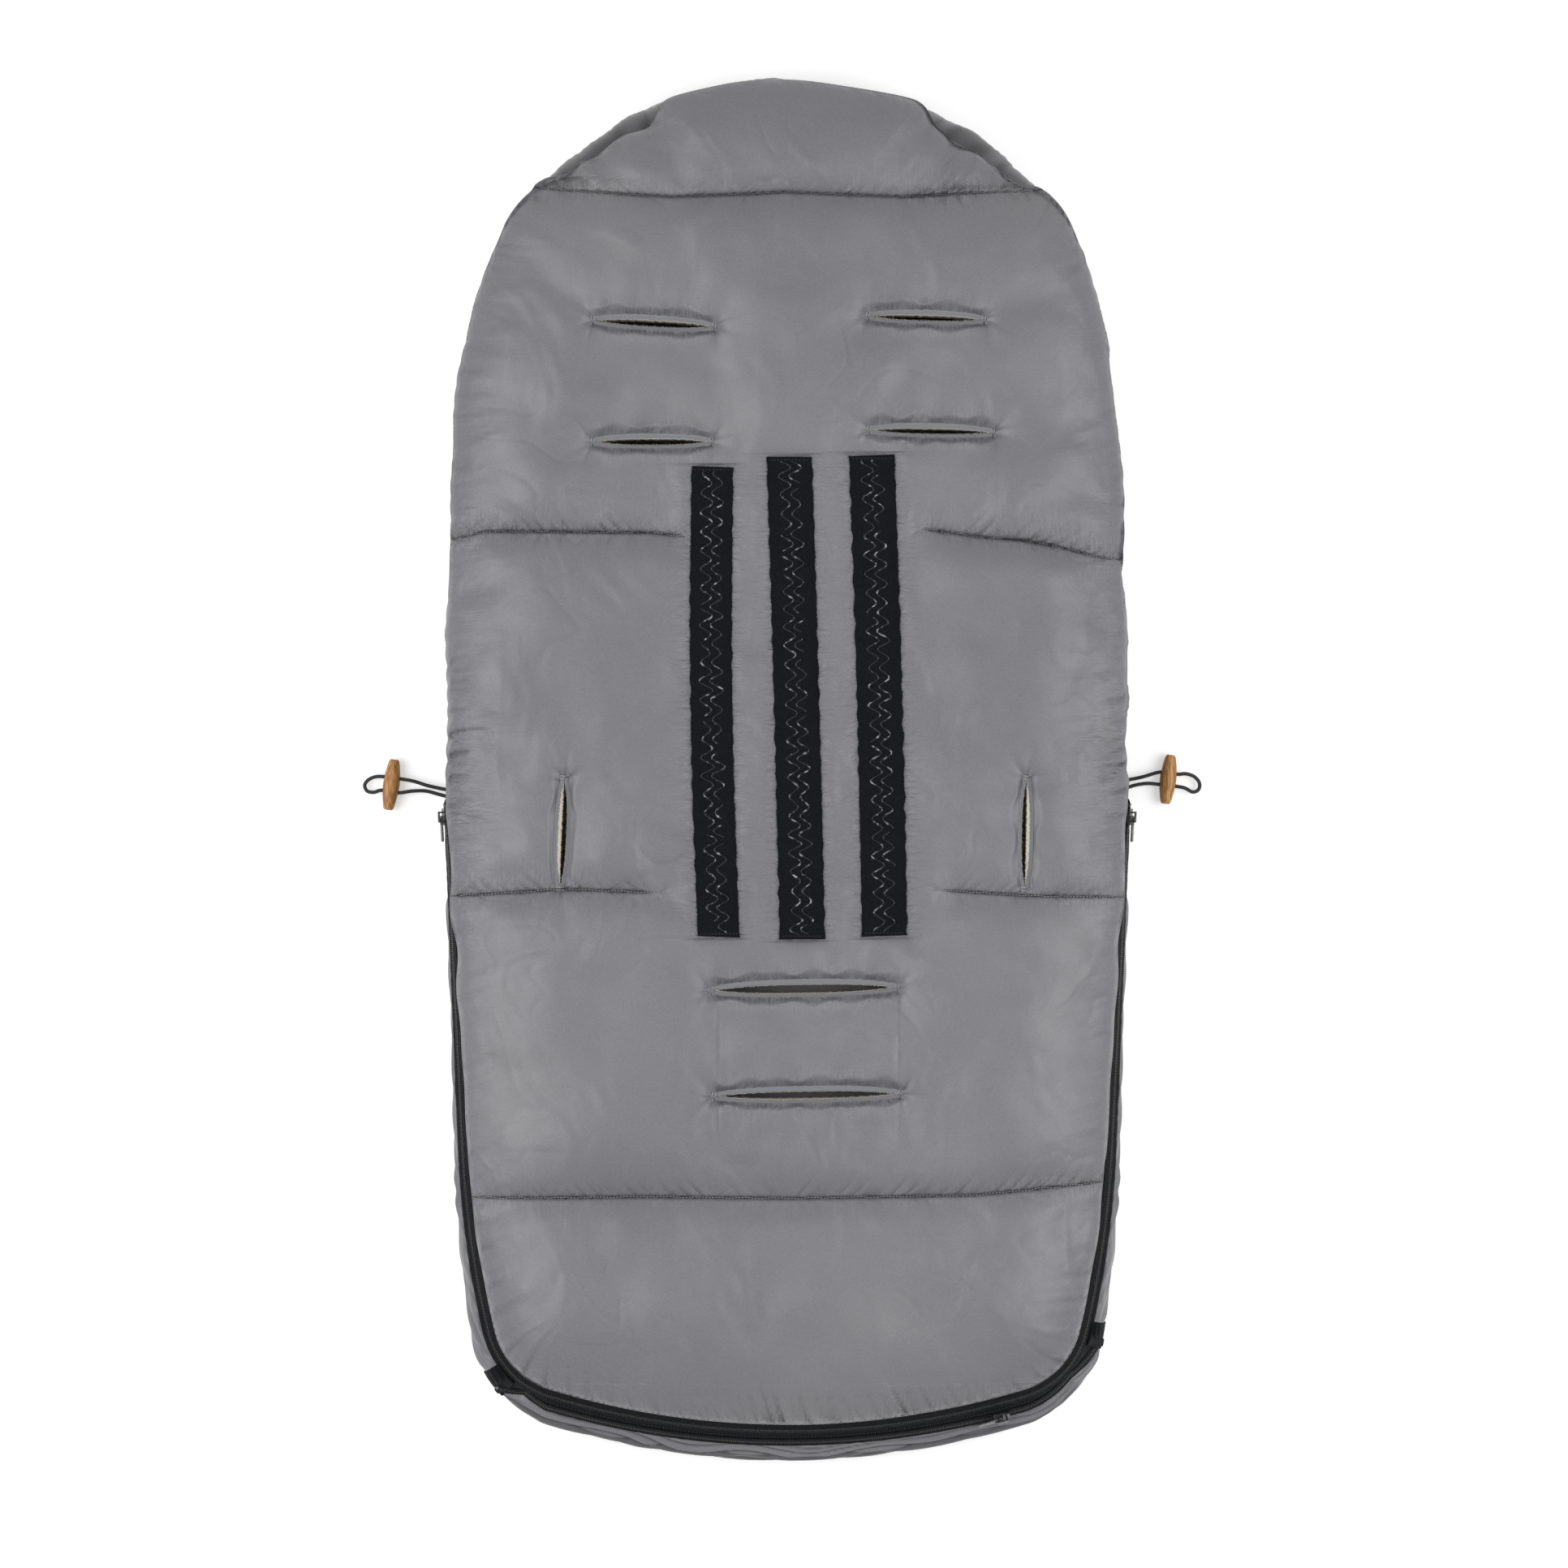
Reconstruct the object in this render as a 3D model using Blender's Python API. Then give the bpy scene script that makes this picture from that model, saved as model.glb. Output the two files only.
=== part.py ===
"""A padded stroller footmuff, lying on its front cover with its back panel up.

Metres, +Z up, +X to the right and +Y towards the head end, as seen from above. The origin is on the floor
under the middle of the footmuff. Two quilted panels are joined by a long zip. The back panel carries the
harness slots, the grip tapes and the hood wall with its drawcord. The cover is the shallow tub under it.
"""
import math

import bmesh
import bpy
import numpy as np
from mathutils import Matrix, Vector

# The zip line seen from above: a straight side, a long side curve, a corner arc and the foot arc.
ZIP_TOP_X = 0.2465
ZIP_TOP_Y = -0.0235
SIDE_END_X = 0.2340
SIDE_END_Y = -0.2750
SIDE_CURVE_RADIUS = 0.72
CORNER_START_DEG = 13.3
CORNER_RADIUS = 0.064
FOOT_LINE_Y = -0.4765

# Heights. The seam plane is where both fabrics of the back panel meet the zip or the hood wall.
SEAM_Z = 0.0635
BACK_BULGE_Z = 0.0790
BACK_TOP_Z = 0.1015
HEAD_PUFF = 0.0030
COVER_BULGE_Z = 0.0240
CROWN_WIDTH = 0.042
WALL_BULGE_Z = 0.042
CORD_Z = 0.00525

# Cloth and padding
SHELL_THICK = 0.0010
LINING_THICK = 0.0012
LAYER_GAP = 0.0004
CHANNEL_DEPTH = 0.0075
CHANNEL_WIDTH = 0.0130
SEAM_INSET = 0.0040
COVER_PADDING = 0.0180
COVER_CHANNEL = 0.0050
COVER_CURVE = 0.0320

# Zip sizes, measured from the middle of the chain across the zip
COIL_INNER = 0.0011
COIL_OUTER = 0.0028
COIL_HALF_THICK = 0.0011
TAPE_INNER = 0.0031
TAPE_HALF_THICK = 0.0004
TAPE_OUTER = 0.0075
TAPE_SHORT = 0.0052
FABRIC_EDGE = 0.0083
FOOT_EDGE = 0.0068
BACK_COIL_START_Y = -0.0415
FOOT_ZIP_TILT_DEG = 26.4
FOOT_ZIP_OFFSET = 0.0095
FOOT_ZIP_DROP = 0.0110
FOOT_ZIP_END = {-1: 2.55, 1: 2.08}

# Quilting seams across the back panel: place along Y, and how far from the middle the seam starts
SEAMS = [(0.4150, 0.0), (0.1710, 0.075), (-0.0875, 0.105), (-0.3050, 0.0)]

# The outer edge of the hood wall and of the back panel above the zip, right half, from the zip to the crown
SIDE_POINTS = [(0.2462, -0.019), (0.2450, 0.030), (0.2455, 0.100), (0.2420, 0.180), (0.2385, 0.250),
               (0.2305, 0.310), (0.2160, 0.363)]
WALL_POINTS = SIDE_POINTS + [(0.1980, 0.402), (0.1725, 0.430), (0.1370, 0.458), (0.0995, 0.479), (0.0530, 0.493)]
PANEL_POINTS = SIDE_POINTS + [(0.1985, 0.400), (0.1790, 0.4185), (0.1520, 0.437), (0.1270, 0.452),
                              (0.1050, 0.466), (0.0850, 0.480), (0.0500, 0.492)]
WALL_CROWN_Y = 0.5000
PANEL_CROWN_Y = 0.4985

# Harness slots: name, middle X and Y, length, and whether the slot runs along Y
SLOT_OPENING = 0.0068
SLOT_EDGE = 0.0015
SLOTS = [
    ("shoulder_slot_edge_upper_left", -0.0957, 0.3205, 0.083, False),
    ("shoulder_slot_edge_upper_right", 0.0995, 0.3245, 0.079, False),
    ("shoulder_slot_edge_lower_left", -0.0968, 0.2358, 0.081, False),
    ("shoulder_slot_edge_lower_right", 0.1030, 0.2434, 0.085, False),
    ("waist_slot_edge_left", -0.1612, -0.0445, 0.076, True),
    ("waist_slot_edge_right", 0.1708, -0.0445, 0.076, True),
    ("crotch_slot_edge_upper", 0.0120, -0.1562, 0.130, False),
    ("crotch_slot_edge_lower", 0.0143, -0.2322, 0.130, False),
]

# Grip tapes: name, middle X at the top, middle X at the bottom, top Y, bottom Y and width
GRIP_TAPES = [
    ("left_grip_tape", -0.0540, -0.0500, 0.2176, -0.1182, 0.030),
    ("middle_grip_tape", 0.0025, 0.0105, 0.2246, -0.1205, 0.032),
    ("right_grip_tape", 0.0620, 0.0710, 0.2258, -0.1182, 0.032),
]
GRIP_TAPE_THICK = 0.0012

# Sliders and pull tabs
SLIDER_PARK_Y = -0.0330
SLIDER_HALF_LENGTH = 0.0060
SLIDER_HALF_WIDTH = 0.0046
PLATE_INNER = 0.0016
PLATE_OUTER = 0.0028
PULL_AXIS_HEIGHT = 0.0041
PULL_LENGTH = 0.0180
FOOT_SLIDER_PARK_DEG = 14.7

# Hood hem tunnel and the elastic cord
CORD_DIAMETER = 0.0027
HEM_HALF_WIDTH = 0.0060
HEM_HEIGHT = 0.0105
HEM_START_Y = -0.004
HEM_END_Y = 0.003
LEFT_CORD_ROUTE = [
    (-0.2393, -0.0046, 0.0053), (-0.2396, -0.0085, 0.0053), (-0.2418, -0.0121, 0.0053),
    (-0.2460, -0.0137, 0.0054), (-0.2520, -0.0129, 0.0055), (-0.2627, -0.0105, 0.0058),
    (-0.2726, -0.0074, 0.0062), (-0.2814, -0.0058, 0.0064), (-0.2884, -0.0049, 0.0064),
    (-0.2953, -0.0040, 0.0064), (-0.3010, -0.0042, 0.0058), (-0.3062, -0.0066, 0.0046),
    (-0.3086, -0.0104, 0.0038), (-0.3068, -0.0145, 0.0044), (-0.3020, -0.0155, 0.0056),
    (-0.2966, -0.0140, 0.0064), (-0.2896, -0.0149, 0.0064), (-0.2827, -0.0158, 0.0064),
    (-0.2740, -0.0146, 0.0062), (-0.2640, -0.0145, 0.0058), (-0.2550, -0.0168, 0.0055),
    (-0.2486, -0.0184, 0.0054), (-0.2436, -0.0187, 0.0053),
]
RIGHT_CORD_ROUTE = [
    (0.2393, 0.0024, 0.0053), (0.2396, -0.0015, 0.0053), (0.2418, -0.0051, 0.0053),
    (0.2460, -0.0066, 0.0054), (0.2520, -0.0058, 0.0055), (0.2603, -0.0040, 0.0060),
    (0.2716, -0.0008, 0.0064), (0.2786, -0.0015, 0.0064), (0.2855, -0.0023, 0.0064),
    (0.2915, -0.0020, 0.0060), (0.2976, -0.0042, 0.0048), (0.3012, -0.0088, 0.0038),
    (0.3004, -0.0136, 0.0042), (0.2960, -0.0152, 0.0054), (0.2905, -0.0124, 0.0062),
    (0.2845, -0.0112, 0.0064), (0.2776, -0.0105, 0.0064), (0.2706, -0.0096, 0.0064),
    (0.2627, -0.0090, 0.0060), (0.2540, -0.0103, 0.0055), (0.2480, -0.0122, 0.0054),
    (0.2432, -0.0128, 0.0053),
]

# Toggles: middle, tilt from Y towards +X, length, and the distance between the two holes
TOGGLE_RADIUS = 0.0061
TOGGLE_HOLE = 0.0039
TOGGLES = [
    ("left_toggle", (-0.2890, -0.0099, 0.0064), 7.3, 0.0372, 0.0100),
    ("right_toggle", (0.2781, -0.0060, 0.0064), 6.6, 0.0360, 0.0090),
]

# The line the back panel folds over when the sides are unzipped
HINGE = (0.0, -0.4865, 0.0500)

COLOURS = {
    "shell_fabric": ((0.215, 0.212, 0.222), 0.42),
    "lining_fleece": ((0.68, 0.63, 0.50), 0.95),
    "wadding": ((0.86, 0.86, 0.84), 0.98),
    "black_tape": ((0.012, 0.013, 0.016), 0.70),
    "zip_coil": ((0.010, 0.011, 0.012), 0.35),
    "slider_metal": ((0.020, 0.020, 0.022), 0.30),
    "stitching": ((0.30, 0.30, 0.31), 0.75),
    "elastic_cord": ((0.012, 0.013, 0.014), 0.60),
    "toggle_wood": ((0.52, 0.27, 0.085), 0.50),
}

for old in list(bpy.data.objects):
    bpy.data.objects.remove(old)


def material_for(piece, slot):
    """Give the piece its own material in the slot's colour."""
    colour, roughness = COLOURS[slot]
    finish = bpy.data.materials.new(piece.name + "_" + slot)
    finish.use_nodes = True
    shader = finish.node_tree.nodes["Principled BSDF"]
    shader.inputs["Base Color"].default_value = (*colour, 1.0)
    shader.inputs["Roughness"].default_value = roughness
    shader.inputs["Metallic"].default_value = 0.8 if slot == "slider_metal" else 0.0
    piece.data.materials.append(finish)


def piece_from(name, slot, points, faces, origin=(0.0, 0.0, 0.0)):
    """One closed body from world points and faces, welded, with its faces turned outwards."""
    mesh = bpy.data.meshes.new(name)
    builder = bmesh.new()
    corners = [builder.verts.new(Vector(point) - Vector(origin)) for point in points]
    for face in faces:
        if len(set(face)) == len(face):
            builder.faces.new([corners[index] for index in face])
    bmesh.ops.remove_doubles(builder, verts=builder.verts, dist=1e-6)
    bmesh.ops.dissolve_degenerate(builder, edges=builder.edges, dist=1e-7)
    bmesh.ops.triangulate(builder, faces=builder.faces)
    bmesh.ops.recalc_face_normals(builder, faces=builder.faces)
    builder.to_mesh(mesh)
    builder.free()
    piece = bpy.data.objects.new(name, mesh)
    piece.location = origin
    bpy.context.scene.collection.objects.link(piece)
    if slot:
        material_for(piece, slot)
    return piece


def hidden(cutter):
    """Keep a cutting or joining shape out of the model."""
    cutter.hide_render = True
    cutter.display_type = "WIRE"
    return cutter


def combine(piece, other, operation):
    """Cut or join the piece with another closed shape."""
    step = piece.modifiers.new(operation.lower() + "_" + other.name, "BOOLEAN")
    step.operation = operation
    step.solver = "EXACT"
    step.object = hidden(other)


def slab(name, slot, top, bottom, open_last_column=False):
    """A closed body between two grids of points with the same rows and columns."""
    rows, columns = len(top), len(top[0])
    count = rows * columns
    points = [point for row in top for point in row] + [point for row in bottom for point in row]
    faces = []
    for row in range(rows - 1):
        for column in range(columns - 1):
            first = row * columns + column
            quad = (first, first + 1, first + columns + 1, first + columns)
            faces.append(quad)
            faces.append(tuple(count + index for index in reversed(quad)))
    border = [(0, column) for column in range(columns)]
    edge_runs = [border, [(rows - 1, column) for column in range(columns)], [(row, 0) for row in range(rows)]]
    if not open_last_column:
        edge_runs.append([(row, columns - 1) for row in range(rows)])
    for run in edge_runs:
        for (row_a, column_a), (row_b, column_b) in zip(run, run[1:]):
            first = row_a * columns + column_a
            second = row_b * columns + column_b
            faces.append((first, second, count + second, count + first))
    return piece_from(name, slot, points, faces)


def sweep(name, slot, rings):
    """A closed body along a row of rings, each a closed outline of points, with flat ends."""
    size = len(rings[0])
    points = [point for ring in rings for point in ring]
    faces = [tuple(range(size)), tuple(range(len(points) - size, len(points)))]
    for ring in range(len(rings) - 1):
        for corner in range(size):
            following = (corner + 1) % size
            start = ring * size
            faces.append((start + corner, start + following, start + size + following, start + size + corner))
    return piece_from(name, slot, points, faces)


def hollow_sweep(name, slot, outer, inner):
    """A tunnel with open ends between rows of outer and inner rings."""
    size = len(outer[0])
    count = size * len(outer)
    points = [point for ring in outer for point in ring] + [point for ring in inner for point in ring]
    faces = []
    for ring in range(len(outer) - 1):
        for corner in range(size):
            following = (corner + 1) % size
            start = ring * size
            quad = (start + corner, start + following, start + size + following, start + size + corner)
            faces.append(quad)
            faces.append(tuple(count + index for index in reversed(quad)))
    for start in (0, count - size):
        for corner in range(size):
            following = (corner + 1) % size
            faces.append((start + corner, start + following, count + start + following, count + start + corner))
    return piece_from(name, slot, points, faces)


def smooth_through(points, steps):
    """Points on a smooth curve that passes through the given ones."""
    knots = np.array([points[0]] + list(points) + [points[-1]], dtype=float)
    knots[0] = 2.0 * knots[1] - knots[2]
    knots[-1] = 2.0 * knots[-2] - knots[-3]
    curve = []
    for index in range(1, len(knots) - 2):
        before, start, end, after = knots[index - 1:index + 3]
        for t in np.linspace(0.0, 1.0, steps, endpoint=False):
            curve.append(0.5 * (2.0 * start + (end - before) * t
                                + (2.0 * before - 5.0 * start + 4.0 * end - after) * t ** 2
                                + (3.0 * start - before - 3.0 * end + after) * t ** 3))
    curve.append(knots[-2])
    return np.array(curve)


def even_points(curve, count):
    """The curve again as a number of evenly spaced points."""
    lengths = np.concatenate([[0.0], np.cumsum(np.linalg.norm(np.diff(curve, axis=0), axis=1))])
    wanted = np.linspace(0.0, lengths[-1], count)
    return np.stack([np.interp(wanted, lengths, curve[:, axis]) for axis in range(curve.shape[1])], axis=1)


def outward(curve):
    """Outward normals of a curve in plan that runs clockwise, from the left up and over to the right."""
    along = np.gradient(curve, axis=0)
    along /= np.linalg.norm(along, axis=1)[:, None]
    return np.stack([-along[:, 1], along[:, 0]], axis=1)


def full_outline(points, crown_y):
    """Both halves of an outline above the zip, from the left end over the crown to the right end."""
    left = [(-x, y) for x, y in points]
    return smooth_through(left + [(0.0, crown_y)] + points[::-1], 10)


# The zip line

SIDE_TILT = math.atan2(ZIP_TOP_X - SIDE_END_X, ZIP_TOP_Y - SIDE_END_Y)
CORNER_START = math.radians(CORNER_START_DEG)
SIDE_CURVE_X = SIDE_END_X - SIDE_CURVE_RADIUS * math.cos(SIDE_TILT)
SIDE_CURVE_Y = SIDE_END_Y + SIDE_CURVE_RADIUS * math.sin(SIDE_TILT)
CORNER_X = SIDE_CURVE_X + (SIDE_CURVE_RADIUS - CORNER_RADIUS) * math.cos(CORNER_START)
CORNER_Y = SIDE_CURVE_Y - (SIDE_CURVE_RADIUS - CORNER_RADIUS) * math.sin(CORNER_START)
# The foot arc touches the corner arc and the foot line: its middle lies on X = 0.
CORNER_LOW_Y = FOOT_LINE_Y + CORNER_RADIUS
FOOT_CENTRE_Y = (CORNER_X ** 2 + CORNER_Y ** 2 - CORNER_LOW_Y ** 2) / (2.0 * (CORNER_Y - CORNER_LOW_Y))
FOOT_RADIUS = FOOT_CENTRE_Y - FOOT_LINE_Y
FOOT_START = math.atan2(FOOT_CENTRE_Y - CORNER_Y, CORNER_X)


def zip_place(along, side):
    """Point and outward normal of the zip line. along is 0 at the top, 1 where the straight side ends,
    2 at the corner, 3 where the foot arc starts and 4 in its middle. side is 1 right and -1 left."""
    if along <= 1.0:
        angle = SIDE_TILT
        x = ZIP_TOP_X + (SIDE_END_X - ZIP_TOP_X) * along
        y = ZIP_TOP_Y + (SIDE_END_Y - ZIP_TOP_Y) * along
    elif along <= 2.0:
        angle = SIDE_TILT + (CORNER_START - SIDE_TILT) * (along - 1.0)
        x = SIDE_CURVE_X + SIDE_CURVE_RADIUS * math.cos(angle)
        y = SIDE_CURVE_Y - SIDE_CURVE_RADIUS * math.sin(angle)
    elif along <= 3.0:
        angle = CORNER_START + (FOOT_START - CORNER_START) * (along - 2.0)
        x = CORNER_X + CORNER_RADIUS * math.cos(angle)
        y = CORNER_Y - CORNER_RADIUS * math.sin(angle)
    else:
        angle = FOOT_START + (math.pi / 2.0 - FOOT_START) * (along - 3.0)
        x = FOOT_RADIUS * math.cos(angle)
        y = FOOT_CENTRE_Y - FOOT_RADIUS * math.sin(angle)
    return (side * x, y), (side * math.cos(angle), -math.sin(angle))


def by_leg(along, values):
    """A value that changes evenly between the five marks of the zip line."""
    return float(np.interp(along, [0.0, 1.0, 2.0, 3.0, 4.0], values))


def at(along, side, offset, height):
    """The world point beside the zip line: offset outwards from it, at a height."""
    (x, y), (normal_x, normal_y) = zip_place(along, side)
    return (x + normal_x * offset, y + normal_y * offset, height)


def zip_direction(along):
    """Across the main zip, from the back panel to the cover, as outward and upward parts."""
    tilt = math.radians(by_leg(along, [15.0, 15.0, 33.0, 45.0, 45.0]))
    return (math.sin(tilt), -math.cos(tilt))


def chain(along):
    """The middle of the main zip's chain: on the zip line, below the seam plane."""
    return (0.0, SEAM_Z + zip_direction(along)[1] * FABRIC_EDGE)


def cover_bulge(along):
    """How far the cover swells outside the zip line."""
    return by_leg(along, [0.0015, 0.0065, 0.0140, 0.0220, 0.0237])


def has_foot_zip(along, side):
    return along >= FOOT_ZIP_END[side] - 0.0501


def foot_chain(along, side):
    """The middle of the foot zip's chain, which leaves the main zip at both corners."""
    end = FOOT_ZIP_END[side]
    t = min(max((along - end) / (3.0 - end), 0.0), 1.0)
    low = chain(3.0)[1] - FOOT_ZIP_DROP
    offset = float(np.interp(t, [0.0, 0.45, 1.0], [cover_bulge(end) - 0.0020, 0.0058, FOOT_ZIP_OFFSET]))
    height = float(np.interp(t, [0.0, 0.45, 1.0], [0.0340, 0.0450, low]))
    return (offset, height)


def foot_direction():
    tilt = math.radians(FOOT_ZIP_TILT_DEG)
    return (math.sin(tilt), -math.cos(tilt))


def step_from(place, direction, distance):
    return (place[0] + direction[0] * distance, place[1] + direction[1] * distance)


def strip_ring(along, side, start, end, half_thick):
    """The four corners of a flat strip's section between two places beside the zip line."""
    across = (end[0] - start[0], end[1] - start[1])
    length = math.hypot(*across)
    thick = (-across[1] / length * half_thick, across[0] / length * half_thick)
    corners = [(start[0] + thick[0], start[1] + thick[1]), (end[0] + thick[0], end[1] + thick[1]),
               (end[0] - thick[0], end[1] - thick[1]), (start[0] - thick[0], start[1] - thick[1])]
    return [at(along, side, offset, height) for offset, height in corners]


FOOT_ARC = [3.0, 3.25, 3.5, 3.75]
SIDE_MARKS = [0.0, 0.5, 1.0, 1.5, 2.0]
CORNER_MARKS = {-1: [2.25, 2.48, 2.50, 2.55, 2.75], 1: [2.01, 2.03, 2.08, 2.25, 2.5, 2.75]}


def whole_line(side_marks, first=0.0):
    """Stations from the left top, round the foot, to the right top, as (along, side)."""
    halves = {}
    for side in (-1, 1):
        marks = [mark for mark in side_marks + CORNER_MARKS[side] + FOOT_ARC if mark > first]
        halves[side] = [first] + marks
    left = [(mark, -1) for mark in halves[-1]]
    right = [(mark, 1) for mark in halves[1]]
    return left + [(4.0, 1)] + right[::-1]


def main_zip_strip(name, slot, stations, start, end, half_thick):
    """A strip of the main zip: start and end are signed distances across it from the chain's middle."""
    rings = []
    for along, side in stations:
        last = end(along, side) if callable(end) else end
        middle = chain(along)
        direction = zip_direction(along)
        rings.append(strip_ring(along, side, step_from(middle, direction, start),
                                step_from(middle, direction, last), half_thick))
    return sweep(name, slot, rings)


def front_tape_edge(along, side):
    return TAPE_SHORT if has_foot_zip(along, side) else TAPE_OUTER


def foot_zip_strip(name, slot, start, end, half_thick):
    """A strip of the foot zip, with distances across it from its own chain."""
    rings = []
    for along, side in FOOT_ZIP_LINE:
        middle = foot_chain(along, side)
        direction = foot_direction()
        rings.append(strip_ring(along, side, step_from(middle, direction, start),
                                step_from(middle, direction, end), half_thick))
    return sweep(name, slot, rings)


FOOT_ZIP_LINE = ([(mark, -1) for mark in CORNER_MARKS[-1] if mark >= FOOT_ZIP_END[-1]]
                 + [(mark, -1) for mark in FOOT_ARC] + [(4.0, 1)]
                 + [(mark, 1) for mark in FOOT_ARC[::-1]]
                 + [(mark, 1) for mark in CORNER_MARKS[1][::-1] if mark >= FOOT_ZIP_END[1]])


def make_main_zip():
    """The long zip: its back half, and its front half as two sides and the foot stretch."""
    pieces = {"back": [], "cover": []}
    back_line = whole_line(SIDE_MARKS[1:])
    coil_first = (BACK_COIL_START_Y - ZIP_TOP_Y) / (SIDE_END_Y - ZIP_TOP_Y)
    coil_line = whole_line(SIDE_MARKS[1:], coil_first)
    pieces["back"].append(main_zip_strip("main_zip_back_tape", "black_tape", back_line,
                                         -TAPE_OUTER, -TAPE_INNER, TAPE_HALF_THICK))
    pieces["back"].append(main_zip_strip("main_zip_back_coil", "zip_coil", coil_line,
                                         -COIL_OUTER, -COIL_INNER, COIL_HALF_THICK))
    foot_line = [(mark, -1) for mark in FOOT_ARC] + [(4.0, 1)] + [(mark, 1) for mark in FOOT_ARC[::-1]]
    pieces["back"].append(main_zip_strip("main_zip_front_tape_foot", "black_tape", foot_line,
                                         TAPE_INNER, TAPE_SHORT, TAPE_HALF_THICK))
    pieces["back"].append(main_zip_strip("main_zip_front_coil_foot", "zip_coil", foot_line,
                                         COIL_INNER, COIL_OUTER, COIL_HALF_THICK))
    for word, side in (("left", -1), ("right", 1)):
        line = [(mark, side) for mark in SIDE_MARKS + CORNER_MARKS[side] + [2.994]]
        coil = [(0.012, side)] + line[1:]
        pieces["cover"].append(main_zip_strip("main_zip_front_tape_" + word, "black_tape", line,
                                              TAPE_INNER, front_tape_edge, TAPE_HALF_THICK))
        pieces["cover"].append(main_zip_strip("main_zip_front_coil_" + word, "zip_coil", coil,
                                              COIL_INNER, COIL_OUTER, COIL_HALF_THICK))
    return pieces


def make_foot_zip():
    """The second zip across the foot, with the black gusset between it and the main zip."""
    pieces = [
        foot_zip_strip("foot_zip_upper_tape", "black_tape", -TAPE_SHORT, -TAPE_INNER, TAPE_HALF_THICK),
        foot_zip_strip("foot_zip_upper_coil", "zip_coil", -COIL_OUTER, -COIL_INNER, COIL_HALF_THICK),
        foot_zip_strip("foot_zip_lower_coil", "zip_coil", COIL_INNER, COIL_OUTER, COIL_HALF_THICK),
        foot_zip_strip("foot_zip_lower_tape", "black_tape", TAPE_INNER, 0.0062, TAPE_HALF_THICK),
    ]
    rings = []
    for along, side in FOOT_ZIP_LINE:
        start = step_from(chain(along), zip_direction(along), TAPE_SHORT + 0.0004)
        end = step_from(foot_chain(along, side), foot_direction(), -TAPE_SHORT - 0.0004)
        across = (end[0] - start[0], end[1] - start[1])
        length = math.hypot(*across)
        across = (across[0] / length, across[1] / length)
        rings.append(strip_ring(along, side, step_from(start, across, 0.0003),
                                step_from(end, across, -0.0003), TAPE_HALF_THICK))
    pieces.append(sweep("foot_gusset", "black_tape", rings))
    return pieces


def box_points(frame, low, high):
    """Corners of a box given in a local frame."""
    corners = [(x, y, z) for z in (low[2], high[2]) for y in (low[1], high[1]) for x in (low[0], high[0])]
    return [frame @ Vector(corner) for corner in corners]


BOX_FACES = [(0, 1, 3, 2), (4, 6, 7, 5), (0, 4, 5, 1), (2, 3, 7, 6), (0, 2, 6, 4), (1, 5, 7, 3)]


def local_box(name, slot, frame, low, high):
    return piece_from(name, slot, box_points(frame, low, high), BOX_FACES, frame.to_translation())


def zip_frame(middle, along_direction, normal, direction):
    """A frame on the chain: X along the chain, Z out of the zip's outer face, Y across the zip."""
    out, up = direction
    z_axis = Vector((-normal[0] * up, -normal[1] * up, out)).normalized()
    x_axis = Vector(along_direction).normalized()
    y_axis = z_axis.cross(x_axis).normalized()
    x_axis = y_axis.cross(z_axis)
    frame = Matrix((x_axis, y_axis, z_axis)).transposed().to_4x4()
    frame.translation = Vector(middle)
    return frame


def make_slider(name, frame):
    """A slider: two plates joined by a post between the coils, side flanges, and a bridge for the pull."""
    length, width = SLIDER_HALF_LENGTH, SLIDER_HALF_WIDTH
    body = local_box(name, "slider_metal", frame, (-length, -width, PLATE_INNER), (length, width, PLATE_OUTER))
    lap = 0.0005
    parts = [
        ("lower_plate", (-length, -width, -PLATE_OUTER), (length, width, -PLATE_INNER)),
        ("post", (length - 0.0018, -0.0004, -PLATE_INNER - lap), (length - 0.0003, 0.0004, PLATE_INNER + lap)),
        ("bridge_front", (0.0027, -0.0010, PLATE_OUTER - lap), (0.0038, 0.0010, 0.0060)),
        ("bridge_rear", (-0.0038, -0.0010, PLATE_OUTER - lap), (-0.0027, 0.0010, 0.0060)),
        ("bridge_top", (-0.0040, -0.0012, 0.0053), (0.0040, 0.0012, 0.0065)),
    ]
    for side, word in ((-1, "a"), (1, "b")):
        inner, outer = sorted((side * 0.0036, side * (width - 0.0002)))
        parts.append(("flange_up_" + word, (0.0002 - length, inner, 0.0009), (length - 0.002, outer, PLATE_INNER + lap)))
        parts.append(("flange_low_" + word, (0.0002 - length, inner, -PLATE_INNER - lap),
                      (length - 0.002, outer, -0.0009)))
    for word, low, high in parts:
        combine(body, local_box(name + "_" + word, None, frame, low, high), "UNION")
    return body


def make_pull(name, frame):
    """A pull tab whose end bar turns under the slider's bridge. It lies along -X of the slider's frame."""
    hub = frame @ Matrix.Translation((0.0, 0.0, PULL_AXIS_HEIGHT))
    outer = [(0.0008, -0.0026), (0.0008, 0.0026), (-PULL_LENGTH + 0.001, 0.0026), (-PULL_LENGTH, 0.0016),
             (-PULL_LENGTH, -0.0016), (-PULL_LENGTH + 0.001, -0.0026)]
    inner = [(-0.0007, -0.0015), (-0.0007, 0.0015), (-0.0054, 0.0015), (-0.0058, 0.0011),
             (-0.0058, -0.0011), (-0.0054, -0.0015)]
    rings = [[[tuple(hub @ Vector((x, y, z))) for x, y in outline] for z in (-0.0006, 0.0006)]
             for outline in (outer, inner)]
    body = hollow_sweep(name, "slider_metal", rings[0], rings[1])
    set_origin(body, hub.to_translation())
    return body


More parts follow.
